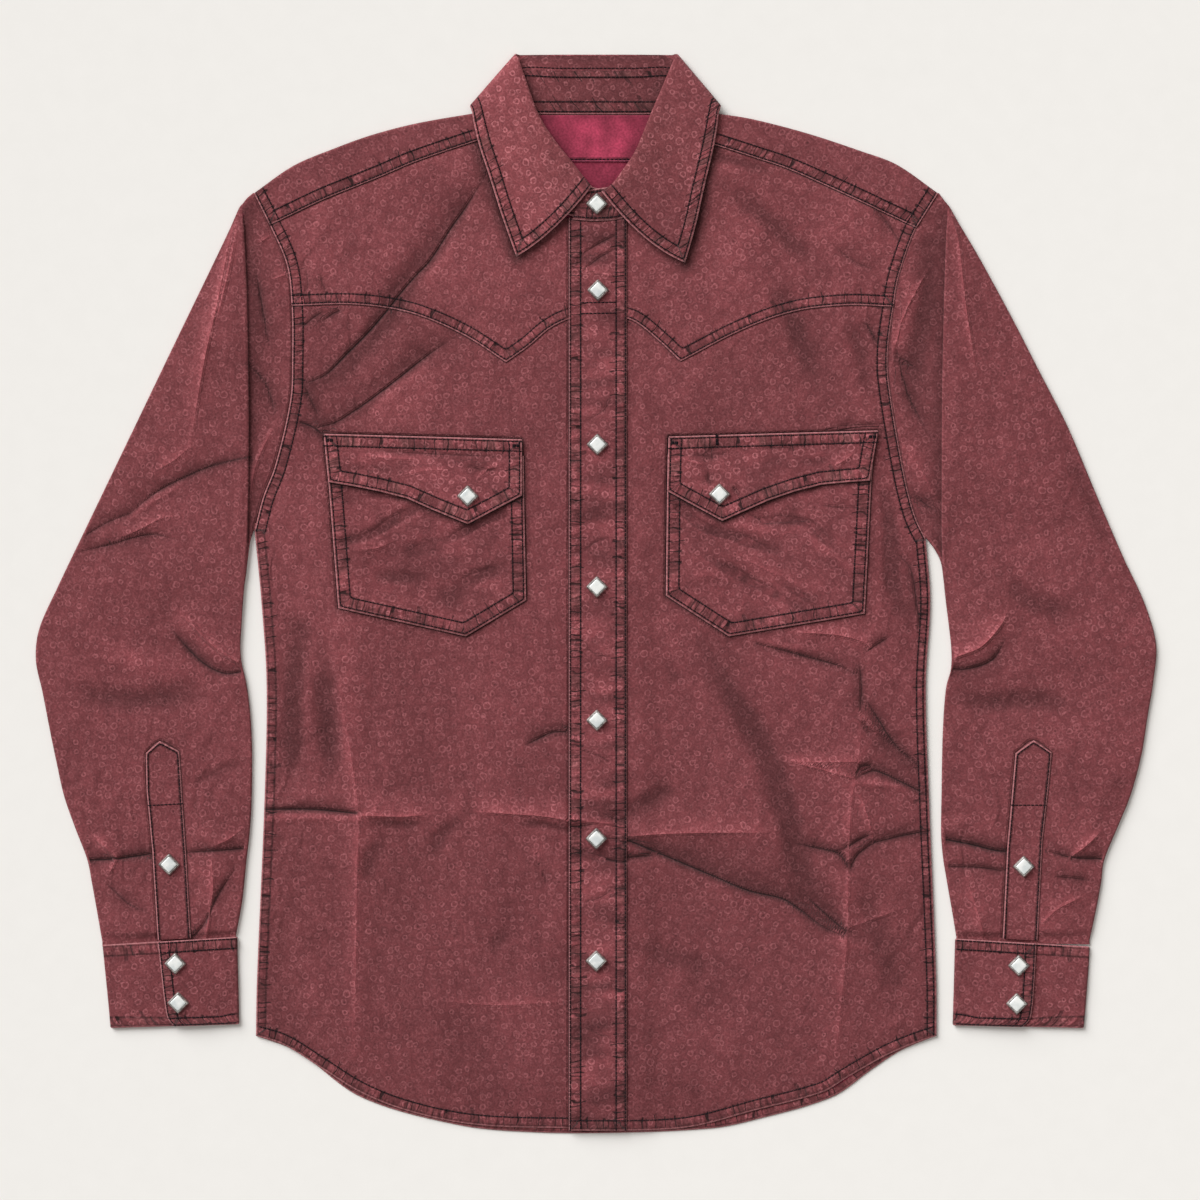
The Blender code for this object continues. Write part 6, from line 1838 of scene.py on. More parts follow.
@dataclass
class BackPanels:
    """The back panel on the ground, the back yoke that wraps over the shoulders, and the neck facing."""

    workshop: Workshop
    drape: Drape
    step: float = 6.0
    fold_step: float = 2.2
    lap: float = 0.7
    hem_turn: float = 5.2

    def build(self) -> None:
        """Makes the three pieces."""
        seam = np.vstack([curve(YOKE_SEAM["right"]), curve(YOKE_CENTRE["right"][:5])[1:],
                          curve(YOKE_CENTRE["left"][:5])[::-1][1:], curve(YOKE_SEAM["left"])[::-1][1:]])
        self.panel(seam)
        self.yoke(seam)
        self.facing()

    def panel(self, seam: Array) -> None:
        """The back panel, a flat sheet whose crimson inside faces up."""
        hem = curve(BACK_HEM)
        sides = {}
        for side in SIDES:
            lower = part_of(curve(ARMHOLE[side]), YOKE_SEAM[side][0], ARMHOLE[side][-1])[::-1]
            sides[side] = np.vstack([curve(SIDE_SEAM[side])[::-1], lower[1:]])
        across = stations(510.0, self.step)
        plan = patch(hem, seam - (0.0, SEAM), sides["right"], sides["left"], across,
                     stations(600.0, self.step))
        piece = Sheet("back", plan, lambda x, y: np.zeros(np.shape(x)), [Seam(hem, (7.0,), 7.0)])
        self.workshop.sew(piece, (0.54, 0.64), 0.31, inside=("outer",), turned=self.hem_turn)

    def yoke(self, seam: Array) -> None:
        """The back yoke: a flat sheet behind, and on each shoulder one that wraps over to the front."""
        shells, paths = [], []
        folds = {side: curve(SHOULDER_FOLD[side]) for side in SIDES}
        armholes = {side: part_of(curve(ARMHOLE[side]), ARMHOLE[side][0], YOKE_SEAM[side][0])[::-1]
                    for side in SIDES}
        neck = np.array([folds["right"][-1], (-60.0, NECK_SEAM_Y), (60.0, NECK_SEAM_Y), folds["left"][-1]])
        top = np.vstack([folds["right"], neck[1:-1], folds["left"][::-1]])
        top[:, 1] -= 2.2
        plan = patch(seam, top, armholes["right"], armholes["left"], stations(520.0, self.step),
                     stations(150.0, self.step))
        piece = Sheet("back_yoke", plan, collar_pad, [])
        shell, fields = piece.shell()
        shell.lined = True
        # Painted shade: the flat part is darkened all over, where it shows inside the neck.
        shells.append((shell, {"fold": fields["fold"] - 1.2}))
        for side in SIDES:
            grid = self.shoulder(side)
            normals = grid_normals(grid)
            outward = bool(np.abs(grid[-1, -1, 0]) > np.abs(grid[0, -1, 0]))
            fields = grid_seams(grid, [(1, True, 8.4), (0, outward, 8.0)])
            shells.append((Shell(grid, grid - 0.7 * normals, (5, 1)), fields))
            for axis, at_end, distance in ((1, True, 1.4), (1, True, 8.7), (0, outward, 1.4),
                                           (0, outward, 8.0)):
                row = inset_row(grid, axis, at_end, distance)
                row = row[3:-3] if axis == 1 else row[row[:, 2] > 2.5]
                row[:, 2] += THREAD_LIFT
                paths.append(row)
        self.workshop.cloth("back_yoke", shells, (0.53, 0.24), 0.108, held="folded")
        self.workshop.thread("stitches_back_yoke", paths)

    def shoulder(self, side: str) -> Array:
        """The outer side of one shoulder: from the ground round the fold, and down to the front seam."""
        shares = stations(185.0, self.fold_step, near=False, far=False)
        front, fold = (resampled(curve(table[side]), shares) for table in (SHOULDER_SEAM, SHOULDER_FOLD))
        inward = (front - fold) / np.linalg.norm(front - fold, axis=1)[:, None]
        pad = collar_pad(fold[:, 0], fold[:, 1])
        end = self.drape.under(front[:, 0], front[:, 1]) + CLOTH + self.lap
        crest = np.maximum(pad + 3.4, np.minimum(end, pad + 3.9))
        half = (crest - pad) / 2
        lines = [np.column_stack([fold + inward * (half + 6.0)[:, None], pad])]
        for angle in np.linspace(-np.pi / 2, np.pi / 2, 9):
            out = fold + inward * (half * (1.0 - np.cos(angle)))[:, None]
            lines.append(np.column_stack([out, pad + half * (1.0 + np.sin(angle))]))
        start = fold + inward * half[:, None]
        width = np.linalg.norm(front - start, axis=1).mean()
        for share in stations(width, 1.8, near=False)[1:]:
            spot = start + (front - start) * share
            cloth = self.drape.under(spot[:, 0], spot[:, 1]) + CLOTH + self.lap
            rise = crest + (end - crest) * share
            level = np.maximum(cloth, rise) - 0.45 * np.exp(-((1 - share) * width / 0.5))
            fields = {"edge": np.full(len(spot), (1 - share) * width), "run": lengths(front),
                      "welt": np.full(len(spot), 8.4)}
            level = (level + seam_thickness(fields, (1.4, 8.7), CLOTH) - CLOTH
                     + 0.12 * swell(spot[:, 0], spot[:, 1], 15.0, 15))
            lines.append(np.column_stack([spot, level]))
        return facing_up(np.array(lines).transpose(1, 0, 2))

    def facing(self) -> None:
        """The neck facing, a half-moon of the cloth's crimson side inside the neck."""
        spots = np.array(NECK_FACING)
        top, bottom = np.array([spots[0], spots[-1]]), np.array([spots[2], spots[3]])
        plan = patch(bottom, top, spots[[2, 1, 0]], spots[[3, 4, 5]], stations(110.0, 2.5),
                     stations(35.0, 2.0))
        height = COLLAR_WALL + SEAM + LAYER
        seam = Seam(spots[1:5], (1.6,), 2.4)
        piece = Sheet("neck_facing", plan, lambda x, y: np.full(np.shape(x), height), [seam],
                      extra=lambda x, y: 0.1 * swell(x, y, 12.0, 16))
        # Random unevenness, painted shade towards the neck seam, and painted shadow along the collar's fold.
        self.workshop.sew(piece, (0.125, 0.04), 0.0043,
                          lambda x, y: (0.9 * swell(1.4 * x, y, 11.0, 19)
                                        - 1.6 * np.exp((y - NECK_SEAM_Y) / 4.0)
                                        - 1.8 * edge_shadow(x, y, collar_fold(), 5.0)),
                          inside=("outer", "inner"), slot="shirting_inside")


@dataclass
class Sleeve:
    """One sleeve: a flattened tube from the armhole, pleated beside the body, to the cuff, with its placket.

    The outer surface is a grid. Its rows are rings that fan out from the armhole to the cuff, and its columns
    run round the tube: across on top, round the outer fold, back below, and round the underarm fold.
    """

    workshop: Workshop
    side: str
    step: float = 2.2
    edge_top: float = SLEEVE_EDGE_MID + CLOTH / 2
    seam_top: float = 2.25
    wall: float = 0.55
    middle_row: float = 60.0  # the ring whose width sets the distance between the grid's columns
    pleat_row: float = 8.6  # how far out the pleat's edge lies from the armhole ring, in dense rings
    pleat_depth: float = 7.0
    pleat_rise: float = 1.7
    pleat_shade: float = 2.3  # how much darker the cloth under the pleat's edge is
    shade_reach: float = 9.0
    cuff_width: float = 100.0
    depth: float = 1.8  # how much deeper the creases are pressed than their table says

    def __post_init__(self) -> None:
        """Smooths the table of rings."""
        self.rings = curve(SLEEVE_RINGS[self.side], 3.0)
        armhole = curve(ARMHOLE[self.side])
        shares = np.linspace(0.0, 1.0, 90)
        self.bow = resampled(armhole, shares) - (armhole[0] + (armhole[-1] - armhole[0]) * shares[:, None])
        self.bow_shares = shares

    def ring(self, number: Array, share: Array) -> Array:
        """Points of the rings seen from above: the chord between the two folds, bowed towards the armhole.

        Below ring 0 they go on under the body, and past the last ring under the cuff, a millimetre a number.
        """
        at = [np.interp(number, np.arange(len(self.rings)), self.rings[:, n]) for n in range(5)]
        outer, inner = np.stack(at[:2], -1), np.stack(at[2:4], -1)
        bow = np.stack([np.interp(share, self.bow_shares, self.bow[:, n]) for n in (0, 1)], -1)
        spot = outer + (inner - outer) * share[..., None] + bow * np.clip(at[4], 0.0, 1.0)[..., None]
        inward = 1.0 if self.side == "right" else -1.0
        spot[..., 0] += inward * np.maximum(-number, 0.0)
        spot[..., 1] -= np.maximum(number - (len(self.rings) - 1), 0.0)
        return spot

    def lift(self, number: Array) -> Array:
        """How far the middle of a ring's upper layer is raised."""
        return np.interp(number, np.arange(len(self.rings)), self.rings[:, 5])

    def profile(self) -> tuple[Array, Array, Array]:
        """The rows along the sleeve: ring number where it is plain, where it is pleated, and pleat height.

        In the pleat the rows run out under the sleeve, turn back to the visible fold, and turn out again.
        """
        last = len(self.rings) - 1
        edge = self.pleat_row
        spread = float(np.linalg.norm(self.ring(np.array([edge + 1.0]), np.array([0.5]))
                                      - self.ring(np.array([edge]), np.array([0.5]))))
        far = edge + self.pleat_depth / max(spread, 0.8)
        low, mid, high = self.seam_top, self.seam_top + 0.15, self.edge_top + self.pleat_rise
        strip = np.concatenate([[-1.6, -0.8], np.linspace(0.0, far, 26)])
        turn_out = [(far + 0.25 / spread, low + 0.02), (far + 0.3 / spread, low + 0.08)]
        back = np.linspace(far, edge, 6)
        turn_in = [(edge - 0.6 / spread, mid + 0.6), (edge - 0.9 / spread, mid + 1.3),
                   (edge - 0.7 / spread, mid + 2.1), (edge - 0.1 / spread, high - 0.2),
                   (edge + 1.4 / spread, high + 0.2)]
        away = np.concatenate([np.arange(edge + 3.0 / spread, last, 0.75), [last, last + 1.5, last + 3.5]])
        pleated = np.concatenate([strip, [t[0] for t in turn_out], back, [t[0] for t in turn_in], away])
        height = np.concatenate([np.full(len(strip), low), [t[1] for t in turn_out], np.full(len(back), mid),
                                 [t[1] for t in turn_in], np.full(len(away), np.nan)])
        first = len(pleated) - len(away)
        plain = pleated.copy()
        plain[2:first] = np.linspace(0.0, pleated[first], first - 2, endpoint=False)
        return plain, pleated, height

    def surface(self) -> tuple[Array, Array]:
        """The outer grid, and the painted shade and highlight of its creases, with painted shadow under the
        pleat's edge.
        """
        plain, pleated, height = self.profile()
        half = self.edge_top / 2
        outer_end, inner_end = (self.ring(np.array([self.middle_row]), np.array([share]))[0]
                                for share in (0.0, 1.0))
        margin = (half + 0.6) / self.cuff_width
        width = float(np.linalg.norm(outer_end - inner_end))
        top_share = np.linspace(margin, 1.0 - margin, round(width / self.step))
        top = self.columns(plain, pleated, height, top_share)
        below = np.linspace(1.0, 0.0, 16)[1:-1]
        numbers = np.broadcast_to(plain[:, None], (len(plain), len(below)))
        low = np.dstack([self.ring(numbers, np.broadcast_to(below[::-1][None], numbers.shape)),
                         np.full(numbers.shape, 0.02)])
        outer, inner = self.fold_points(plain, 0.0, half), self.fold_points(plain, 1.0, half)
        grid = np.concatenate([top[:, ::-1], outer, low, inner[:, ::-1]], axis=1)
        grid = np.concatenate([grid, grid[:, :1]], axis=1)
        count = top.shape[1]
        placket = np.array(SLEEVE_PLACKET[self.side], float)
        corners = ([4, 3, 2, 1], [1, 0, 8], [8, 7, 6, 5])
        # Painted shadow lines along the armhole and the sleeve placket's edges.
        edges = [shadow_line(ARMHOLE[self.side]), *(shadow_line(placket[stretch]) for stretch in corners)]
        lines = crease_lines(grid[:, :count, 0], grid[:, :count, 1], [*SLEEVE_CREASES[self.side], *edges])
        self.lines = {key: np.pad(value, ((0, 0), (0, grid.shape[1] - count)), mode="edge")
                      for key, value in lines.items()}
        self.lines["press"][:, count:] = 0.0
        tone = np.zeros(grid.shape[:2])
        spots = top[:, ::-1]
        relief = crease_relief(spots[:, :, 0], spots[:, :, 1], SLEEVE_CREASES[self.side])
        tone[:, : spots.shape[1]] = self.depth * relief
        pleat = int(np.isnan(height).argmax()) - 5
        fold = spots[pleat + 3]
        gap = nearest(spots[:, :, 0], spots[:, :, 1], fold[:, :2])[0]
        under = (np.arange(len(spots)) < pleat)[:, None] & (np.abs(gap) < 30.0)
        shade = self.pleat_shade * np.exp(-np.abs(gap) / self.shade_reach)
        tone[:, : spots.shape[1]] -= np.where(under, shade, 0.0)
        return grid, tone

    def base(self, number: Array) -> Array:
        """Height of the upper layer at a fold, a little lower under the body's edge and at the cuff."""
        ends = smooth(number / 4.0) * smooth((len(self.rings) - 1 - number) / 3.0)
        return self.seam_top + (self.edge_top - self.seam_top) * ends

    def columns(self, plain: Array, pleated: Array, height: Array, share: Array) -> Array:
        """The upper layer: plain next to the folds, pleated between them."""
        weight = smooth(np.minimum(share, 1.0 - share) / 0.09)[None]
        number = plain[:, None] * (1 - weight) + pleated[:, None] * weight
        spot = self.ring(number, np.broadcast_to(share[None], number.shape))
        x, y = spot[:, :, 0], spot[:, :, 1]
        rise = smooth(np.minimum(share, 1.0 - share) / 0.22)[None]
        uneven = 0.80 * swell(x, y, 48.0, 21) + 0.50 * swell(x, y, 21.0, 22) + 0.12 * swell(x, y, 9.0, 23)
        folds = fold_relief(x, y, SLEEVE_FOLDS)
        near_fold = smooth(np.minimum(share, 1.0 - share) / 0.045)[None]
        relief = self.depth * crease_relief(x, y, SLEEVE_CREASES[self.side]) * near_fold
        cloth = self.base(number) + rise * (self.lift(number) + folds + 0.5) + uneven * rise + relief
        sewn = smooth((len(self.rings) - 1 - number) / 3.0)
        cloth = np.maximum(1.9 + (cloth - 1.9) * sewn, 1.7)
        bent = np.where(np.isnan(height)[:, None], cloth, np.nan_to_num(height)[:, None])
        ease = smooth((np.arange(len(plain)) - np.isnan(height).argmax()) / 20.0)[:, None]
        high = self.edge_top + self.pleat_rise + 0.3
        strip = np.arange(len(plain))[:, None] < np.isnan(height).argmax() - 13
        bent = np.where(strip, self.seam_top + 0.6 * (relief + uneven) * smooth(pleated / 2.0)[:, None], bent)
        bent = np.where(np.isnan(height)[:, None], high + (cloth - high) * ease, bent)
        return np.dstack([spot, cloth * (1 - weight) + bent * weight])

    def fold_points(self, plain: Array, share: float, half: float) -> Array:
        """The half round at one fold, from the top down: its outside lies on the outline."""
        here = self.ring(plain, np.full(len(plain), share))
        there = self.ring(plain, np.full(len(plain), 1.0 - share))
        out = (here - there) / np.linalg.norm(here - there, axis=1)[:, None]
        radius = np.minimum(self.base(plain) / 2, half)[:, None]
        angles = np.linspace(np.pi / 2, -np.pi / 2, 9)
        turns = [np.column_stack([here - out * radius + out * radius * np.cos(angle),
                                  radius + radius * np.sin(angle) + 0.02]) for angle in angles]
        return np.stack(turns, axis=1)

    def build(self) -> None:
        """Makes the sleeve and its placket."""
        grid, tone = self.surface()
        high = grid[:, :, 2] > 3.0
        if grid_normals(grid)[:, :, 2][high].mean() < 0:
            grid, tone = grid[::-1], tone[::-1]
            self.lines = {key: value[::-1] for key, value in self.lines.items()}
        low = (np.exp(-(((grid[:, :, 1] + 175.0) / 75.0) ** 2))
               + 0.5 * np.exp(-(((grid[:, :, 1] - 60.0) / 70.0) ** 2)))
        fields = {"fold": tone, "rumple": 0.15 + 0.40 * low, **self.lines}
        shell = Shell(grid, grid - self.wall * grid_normals(grid), (1, 1))
        name = f"sleeve_{self.side}"
        self.workshop.cloth(name, [(shell, fields)], (0.40, 0.55), 0.185, inside=("inner",))
        self.placket(grid)

    def placket(self, grid: Array) -> None:
        """The pointed placket over the sleeve's slit."""
        spots = np.array(SLEEVE_PLACKET[self.side], float)
        tip, low_out, low_in, head_in = spots[0], spots[4], spots[5], spots[8]
        outer, inner = spots[[4, 3, 2, 1]], spots[[5, 6, 7, 8]]
        bottom, top = np.array([low_out, low_in]), np.array([spots[1], tip, head_in])
        across = stations(25.0, 1.6, [share_of(top, tip)])
        plan = patch(bottom, top, outer, inner, across, stations(145.0, 1.8, near=False))
        base = SLEEVE_EDGE_MID + 0.6 + CLOTH / 2 + SEAM + 0.2
        path = spots[[4, 3, 2, 1, 0, 8, 7, 6, 5]]
        path = path[::-1] if self.side == "right" else path
        upper = grid[grid[:, :, 2] > 3.0]

        def level(x: Array, y: Array) -> Array:
            """Height of the sleeve under the placket, read from its nearest points, smoothed."""
            near = upper[(upper[:, 1] < -95.0) & (np.abs(np.abs(upper[:, 0]) - 320.0) < 30.0)]
            flat_x, flat_y = np.ravel(x), np.ravel(y)
            out = np.empty(len(flat_x))
            for start in range(0, len(flat_x), 400):
                here = slice(start, start + 400)
                gap = (flat_x[here, None] - near[:, 0]) ** 2 + (flat_y[here, None] - near[:, 1]) ** 2
                weight = np.exp(-gap / 8.0)
                out[here] = (weight * near[:, 2]).sum(axis=1) / np.maximum(weight.sum(axis=1), 1e-12)
            return np.maximum(out.reshape(np.shape(x)) + 0.05, base - 1.6)

        piece = Sheet(f"sleeve_placket_{self.side}", plan, level, [Seam(path, (1.4,), 2.0)],
                      extra=lambda x, y: 0.12 * swell(x, y, 8.0, 24), wall=0.9)
        cross = np.vstack([resampled(edge, np.array([0.72])) for edge in (outer, inner)])
        self.workshop.sew(piece, (0.027, 0.150), 0.0038, extra=[piece.on_top(cross)], held="folded",
                          rests_on=[f"sleeve_{self.side}"])


@dataclass
class Cuff:
    """One cuff: a band round the wrist whose ends lap on top."""

    workshop: Workshop
    side: str
    wall: float = COLLAR_WALL

    def knots(self, line: Array) -> Array:
        """The bends of one line across, from the lap's free end round to the end below it."""
        half, layer = self.wall / 2, self.wall + SEAM
        left_x, left_y, right_x, right_y, lap = line
        near, far = (right_x, right_y), (left_x, left_y)
        if self.side == "left":
            near, far = far, near
        way = 1.0 if near[0] > far[0] else -1.0
        top, low = half + 2 * layer + 0.5, half + layer
        turn = np.linspace(np.pi / 2, -np.pi / 2, 7)
        bends = []
        for fold, out, angles, rise in ((near[0], -way, turn, 0.75), (far[0], way, turn[::-1], 0.35)):
            radius = (layer + rise) / 2
            bends.append(np.column_stack([fold + out * radius * (1 - np.cos(angles)),
                                          half + radius + radius * np.sin(angles)]))
        over = [(lap, top), (lap + way * 9.0, top + 0.15), (lap + way * (CUFF_UNDERLAP + 4.0), top),
                (lap + way * 30.0, low + 1.4), (lap + way * 40.0, low + 0.9)]
        under = [((far[0] + lap) / 2, low + 0.3), (lap, low), (lap + way * CUFF_UNDERLAP, low)]
        path = np.vstack([over, bends[0], [((near[0] + far[0]) / 2, half)], bends[1], under])
        share = (path[:, 0] - far[0]) / (near[0] - far[0])
        return np.column_stack([path[:, 0], far[1] + share * (near[1] - far[1]), path[:, 1]])

    def grid(self) -> Array:
        """The middle of the wall, with the same points between the same knots on every line across."""
        lines = resampled(curve(CUFF[self.side], 0.5), stations(65.0, 1.9))
        rows = [self.knots(line) for line in lines]
        gaps = np.linalg.norm(np.diff(rows[0], axis=0), axis=1)
        places = [np.linspace(0.0, 1.0, max(1, round(gap / 1.7)), endpoint=False) for gap in gaps]
        places[0] = np.array([0.0, *[offset for offset in GRADING if offset < gaps[0] - 0.3]]) / gaps[0]
        at = np.append(np.concatenate([number + place for number, place in enumerate(places)]), len(gaps))
        every = [np.column_stack([np.interp(at, np.arange(len(row)), row[:, n]) for n in range(3)])
                 for row in rows]
        return facing_up(np.array(every))

    def build(self) -> None:
        """Makes the cuff, puckered along its stitched edges."""
        middle = self.grid()
        normals = grid_normals(middle)
        fields = grid_seams(middle, [(0, False, 8.6), (0, True, 8.0), (1, False, 8.0)])
        fields["fold"] = 0.4 * ripple(middle, 15.0, 32) - 0.3
        puff = seam_thickness(fields, (1.4, 8.3), self.wall) - self.wall
        uneven = 0.16 * ripple(middle, 17.0, 31)
        up = (normals[:, :, 2] > 0.5)[..., None]
        round_off = rounding(rim_distance(middle), self.wall)[..., None]
        outer = middle + normals * (self.wall / 2 - round_off + np.where(up, (puff + uneven)[..., None], 0.0))
        inner = middle - normals * (self.wall / 2 - 0.5 * round_off)
        name = f"cuff_{self.side}"
        self.workshop.cloth(name, [(Shell(outer, inner, (4, 1)), fields)], (0.24, 0.13), 0.0158,
                            held="folded", rub=0.4)
        stitches = [(0, False, 1.4), (0, False, 8.6), (0, True, 1.4), (0, True, 8.0), (1, False, 1.5),
                    (1, False, 8.0)]
        paths = [inset_row(outer, *row) for row in stitches]
        shown = [row[(row[:, 2] > 3.2)] + (0.0, 0.0, THREAD_LIFT) for row in paths]
        self.workshop.thread(f"stitches_{name}", [row for row in shown if len(row) > 3])


@dataclass
class Collar:
    """The collar stand round the neck, and the fall, one leaf with two long points folded down over it."""

    workshop: Workshop
    step: float = 2.2
    fold_edge: float = 7.2  # how far below the fold the stand's upper seam lies at the back

    def build(self) -> None:
        """Makes the stand and the fall."""
        self.stand()
        self.fall()

    def strip(self, rows: Array, shares: Array, height: Array, bow: Array | float = 0.0) -> Array:
        """A grid between the two long edges of a band, from its lines across, their heights and their bow."""
        start, end = rows[:, 0:2], rows[:, 2:4]
        plan = start[:, None] + (end - start)[:, None] * shares[None, :, None]
        plan[:, :, 1] += 4.0 * bow * (shares * (1 - shares))[None]
        return np.dstack([plan, np.broadcast_to(height, plan.shape[:2])])

    def finish(self, name: str, middle: Array, wall: float, sides: Sequence, rows: Sequence[float],
               uneven: Array, flat: tuple[float, float], area: float, roll: Array | float = 0.0,
               stitches: Sequence[tuple[int, bool, float]] = (), floor: float = 0.02,
               back_only: int = 0) -> None:
        """Gives a strip its wall, its puckered edges and its stitches.

        Args:
            name: The piece, and the solid that it stands for.
            middle: The strip, in the middle of its wall.
            wall: The wall's thickness.
            sides: Its sewn sides, as in grid_seams.
            rows: How far in from an edge the stitches pull the cloth in.
            uneven: Height that its unevenness adds.
            flat: Width and length of the cut, in metres.
            area: The cut's area, in square metres.
            roll: How far its edge rolls down.
            stitches: Each row of stitches: grid axis, whether it is at the end, and how far in.
            floor: The least height of any point.
            back_only: How many of the rows of stitches show at the back alone.
        """
        normals = grid_normals(middle)
        fields = grid_seams(middle, sides)
        # Painted light and shade: lighter towards the wearer's right, where the collar's wing tilts towards
        # the light, darker in the hollows of its unevenness and lighter on its humps.
        fields["fold"] = -0.25 + 1.15 * smooth(-middle[:, :, 0] / 70.0) + 0.8 * uneven
        if back_only:
            # Painted shade: the stand's back darker, with painted shadow along the collar's fold.
            fields["fold"] = (fields["fold"] - 0.9
                              - 1.6 * edge_shadow(middle[:, :, 0], middle[:, :, 1], collar_fold(), 4.5))
            at_fold = side_distance(middle, 1, True) <= side_distance(middle, 1, False)
            shifted(fields, at_fold & (middle[:, :, 1] > COLLAR_BACK), self.fold_edge)
        puff = seam_thickness(fields, rows, wall) - wall + uneven
        round_off = rounding(rim_distance(middle), wall)
        outer, inner = (middle + way * normals * (wall / 2 - round_off + puff * smooth(
            (way * normals[:, :, 2] - 0.3) / 0.4))[..., None] for way in (1.0, -1.0))
        for side in (outer, inner):
            side[:, :, 2] = np.maximum(side[:, :, 2] - roll, floor)
        self.workshop.cloth(name, [(Shell(outer, inner, (4, 4)), fields)], flat, area, held="folded", rub=1.0)
        top = np.where(normals[:, :, 2:] > 0.0, outer, inner)
        carried = np.dstack([top, *(side_distance(middle, *side[:2]) for side in sides)])
        shown = []
        for number, (axis, at_end, distance) in enumerate(stitches):
            row = inset_row(carried, axis, at_end, distance, middle)
            others = [3 + n for n, side in enumerate(sides) if side[:2] != (axis, at_end)]
            clear = (row[:, others] > distance - 0.3).all(axis=1)
            at_back = row[:, 1] > COLLAR_BACK
            in_front = (row[:, 2] > 2.8) & ~(at_back & (back_only > 0))
            shown += stretches(row[:, :3] + (0.0, 0.0, THREAD_LIFT),
                               clear & (at_back if number < back_only else in_front))
        self.workshop.thread(f"stitches_{name}", shown)

    def stand(self) -> None:
        """The stand: a band from the neck seam up, lying flat at the back and lapped in front."""
        shares = stations(38.0, 1.8)
        rows = curve(COLLAR_STAND, self.step)
        middle = facing_up(self.strip(rows, shares, rows[:, 4:5]))
        uneven = 0.15 * ripple(middle, 14.0, 41)
        stitches = [(1, False, 1.9), (1, False, 9.2), (1, True, 9.4), (1, True, 16.0), (1, False, 2.4),
                    (1, True, 2.4)]
        sides = [(1, False, 9.2), (1, True, 9.2)]
        self.finish("collar_stand", middle, CLOTH, sides, (2.4,), uneven, (0.44, 0.045), 0.0165,
                    stitches=stitches, back_only=4)

    def fall(self) -> None:
        """The fall: from the folded edge to the cut edge, with a soft roll along the fold."""
        shares = stations(62.0, 1.8)
        rows = curve(COLLAR_FALL, self.step)
        at_fold, at_cut, bow = rows[:, 4:5], rows[:, 5:6], rows[:, 6:7]
        middle = self.strip(rows, shares, at_fold + (at_cut - at_fold) * shares, bow)
        middle[:, :, 2] = np.maximum(middle[:, :, 2], COLLAR_WALL / 2 + 0.01)
        cut_edges = np.minimum.reduce([side_distance(middle, 1, True), side_distance(middle, 0, False),
                                       side_distance(middle, 0, True)])
        raised = smooth((middle[:, :, 2] - 4.5) / 1.0)
        middle[:, :, 2] += 1.3 * np.exp(-cut_edges / 14.0) * shares[None] * raised
        ends = side_distance(middle, 1, False)
        roll = 1.5 * np.exp(-ends / 2.0) * smooth((middle[:, :, 2] - 5.0) / 2.0)
        uneven = 0.22 * ripple(middle, 24.0, 42) + 0.10 * ripple(middle, 9.0, 43)
        sides = [(1, True, 9.0), (0, False, 9.0), (0, True, 9.0)]
        stitches = [(1, True, 2.0), (1, True, 9.0), (0, False, 2.0), (0, False, 9.0), (0, True, 2.0),
                    (0, True, 9.0)]
        self.finish("collar_fall", middle, COLLAR_WALL, sides, (2.0, 9.0), uneven, (0.46, 0.075), 0.029, roll,
                    stitches)


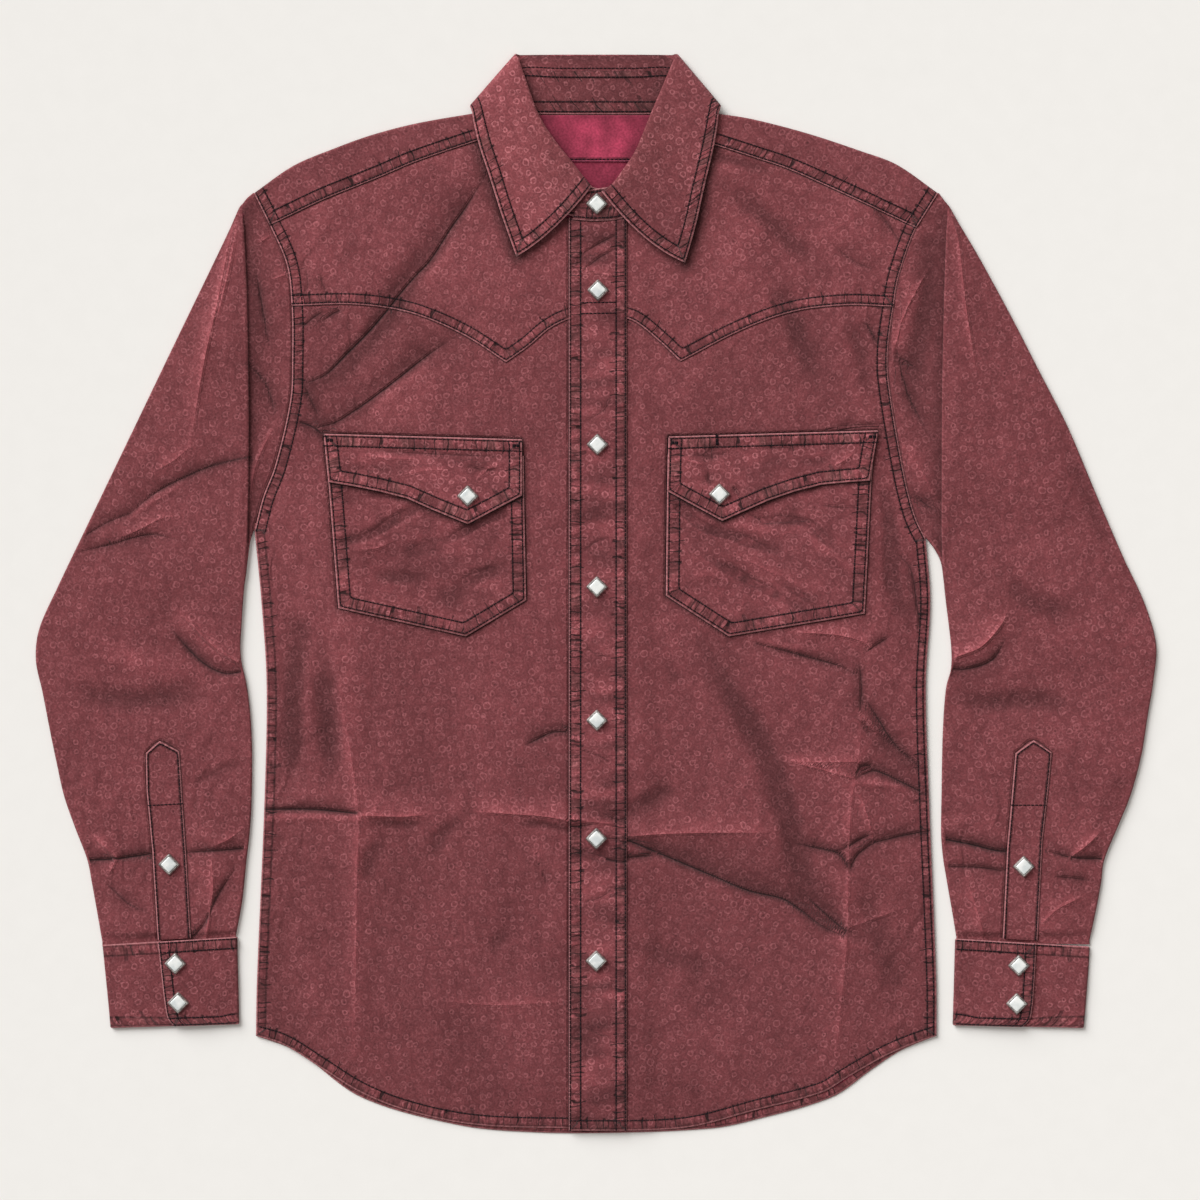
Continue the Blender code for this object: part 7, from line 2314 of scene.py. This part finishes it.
@dataclass
class SnapCap:
    """A diamond snap cap: a bevelled metal rim and the domed pearl set in it."""

    workshop: Workshop
    snap: Snap
    side: float = SNAP_SIDE
    pearl: float = PEARL_SIDE
    corner: float = 0.35
    sides: int = 40

    def diamond(self, side: float, corner: float) -> Array:
        """A square of one side length standing on a point, its corners rounded: angle to radius."""
        angle = np.linspace(0.0, 2 * np.pi, self.sides, endpoint=False)
        power = 2.0 + 26.0 / (1.0 + corner * 3.0)
        square = np.stack([np.cos(angle), np.sin(angle)], axis=1)
        reach = (np.abs(square[:, 0]) ** power + np.abs(square[:, 1]) ** power) ** (-1.0 / power)
        flat = square * reach[:, None] * side / 2
        turn = np.sqrt(0.5)
        return np.stack([(flat[:, 0] - flat[:, 1]) * turn, (flat[:, 0] + flat[:, 1]) * turn], axis=1)

    def lathe(self, profile: Sequence[tuple[float, float]]) -> tuple[Array, list]:
        """A closed form: a diamond for each (side, height) of a profile, with a point at each end."""
        rings = [np.column_stack([self.diamond(side, self.corner), np.full(self.sides, height)])
                 for side, height in profile[1:-1]]
        points = np.vstack([[(0.0, 0.0, profile[0][1])], *rings, [(0.0, 0.0, profile[-1][1])]])
        count, n = self.sides, np.arange(self.sides)
        follow = (n + 1) % count
        faces = [(0, int(1 + b), int(1 + a)) for a, b in zip(n, follow)]
        for ring in range(len(rings) - 1):
            low = 1 + ring * count
            faces += [(int(low + a), int(low + b), int(low + count + b), int(low + count + a))
                      for a, b in zip(n, follow)]
        low, tip = 1 + (len(rings) - 1) * count, len(points) - 1
        faces += [(int(low + a), int(low + b), tip) for a, b in zip(n, follow)]
        return points, faces

    def build(self) -> None:
        """Makes the rim and the pearl where the solid snap is."""
        base = float(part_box(f"snap_rim_{self.snap.name}")[0][2]) / MM
        s, p = self.side, self.pearl
        rim = [(0, base - 0.5), (s - 2.0, base - 0.5), (s - 0.7, base - 0.3), (s, base + 0.2),
               (s, base + 0.8), (s - 0.3, base + 1.2), (s - 1.2, base + 1.8), (p + 1.3, base + 2.3),
               (p + 0.8, base + 2.3), (p + 0.4, base + 2.0), (p + 0.3, base + 1.3), (0, base + 1.3)]
        dome = [(0, base + 1.4), (p, base + 1.4), (p + 0.1, base + 2.0), (p - 0.2, base + 2.42),
                (p - 0.9, base + 2.64), (p - 2.0, base + 2.74), (p * 0.5, base + 2.78), (0, base + 2.8)]
        for kind, profile, material in (("rim", rim, self.workshop.finishes.metal),
                                        ("pearl", dome, self.workshop.finishes.pearl)):
            points, faces = self.lathe(profile)
            name = f"snap_{kind}_{self.snap.name}"
            obj = self.workshop.mesh(f"{name}_cap", points + (self.snap.x, self.snap.y, 0.0), faces,
                                     [material])
            obj.data.set_sharp_from_angle(angle=0.9)
            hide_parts(name)


@dataclass
class Studio:
    """The pale floor, the soft lights and the camera straight above."""

    floor_half: float = 4.0
    floor_level: float = -0.0002
    camera_spot: tuple[float, float, float] = (0.0019, -0.0049, 3.0)
    lens: float = 120.0
    key_spot: tuple[float, float, float] = (-1.55, 1.75, 1.42)
    key_strength: float = 3.95
    key_softness: float = 0.80
    fill_spot: tuple[float, float, float] = (0.6, -0.4, 3.6)
    fill_size: float = 3.0
    fill_power: float = 18.0
    sky: float = 0.28
    sky_colour: tuple[float, float, float, float] = (1.0, 0.955, 0.895, 1.0)

    def build(self) -> None:
        """Makes the floor, the lights, the sky and the camera."""
        self.floor()
        self.lights()
        world = bpy.data.worlds.new("studio")
        world.use_nodes = True
        sky = world.node_tree.nodes["Background"]
        sky.inputs["Color"].default_value = self.sky_colour
        sky.inputs["Strength"].default_value = self.sky
        bpy.context.scene.world = world
        bpy.context.scene.view_settings.view_transform = "Standard"
        camera = bpy.data.cameras.new("camera")
        camera.lens, camera.sensor_width = self.lens, 36.0
        bpy.context.scene.camera = self.place("camera", camera)
        bpy.context.scene.camera.location = self.camera_spot

    def place(self, name: str, data: bpy.types.ID) -> bpy.types.Object:
        """A new object in the scene."""
        obj = bpy.data.objects.new(name, data)
        bpy.context.scene.collection.objects.link(obj)
        return obj

    def floor(self) -> None:
        """A level floor of fine matt paper."""
        half, level = self.floor_half, self.floor_level
        mesh = bpy.data.meshes.new("floor")
        corners = [(-half, -half, level), (half, -half, level), (half, half, level), (-half, half, level)]
        mesh.from_pydata(corners, [], [(0, 1, 2, 3)])
        mesh.materials.append(Paper().material())
        self.place("floor", mesh)

    def lights(self) -> None:
        """The main light, a broad lamp far off, and a weak broad one from above, both facing the shirt."""
        key = bpy.data.lights.new("key", "SUN")
        key.energy, key.angle = self.key_strength, self.key_softness
        fill = bpy.data.lights.new("fill", "AREA")
        fill.size, fill.energy = self.fill_size, self.fill_power
        for lamp, spot in ((key, self.key_spot), (fill, self.fill_spot)):
            holder = self.place(lamp.name, lamp)
            holder.location = spot
            holder.rotation_euler = (-Vector(spot)).to_track_quat("-Z", "Y").to_euler()


def main() -> None:
    """Builds the shirt from the ground up and dresses it."""
    workshop = Workshop(Finishes())
    drape = Drape()
    log.info("drape ready")
    BackPanels(workshop, drape).build()
    FrontPanels(workshop, drape).build()
    Pockets(workshop, drape).build()
    for side in SIDES:
        Sleeve(workshop, side).build()
        Cuff(workshop, side).build()
    Collar(workshop).build()
    for snap in SNAPS:
        SnapCap(workshop, snap).build()
    Studio().build()


if __name__ == "__main__":
    main()
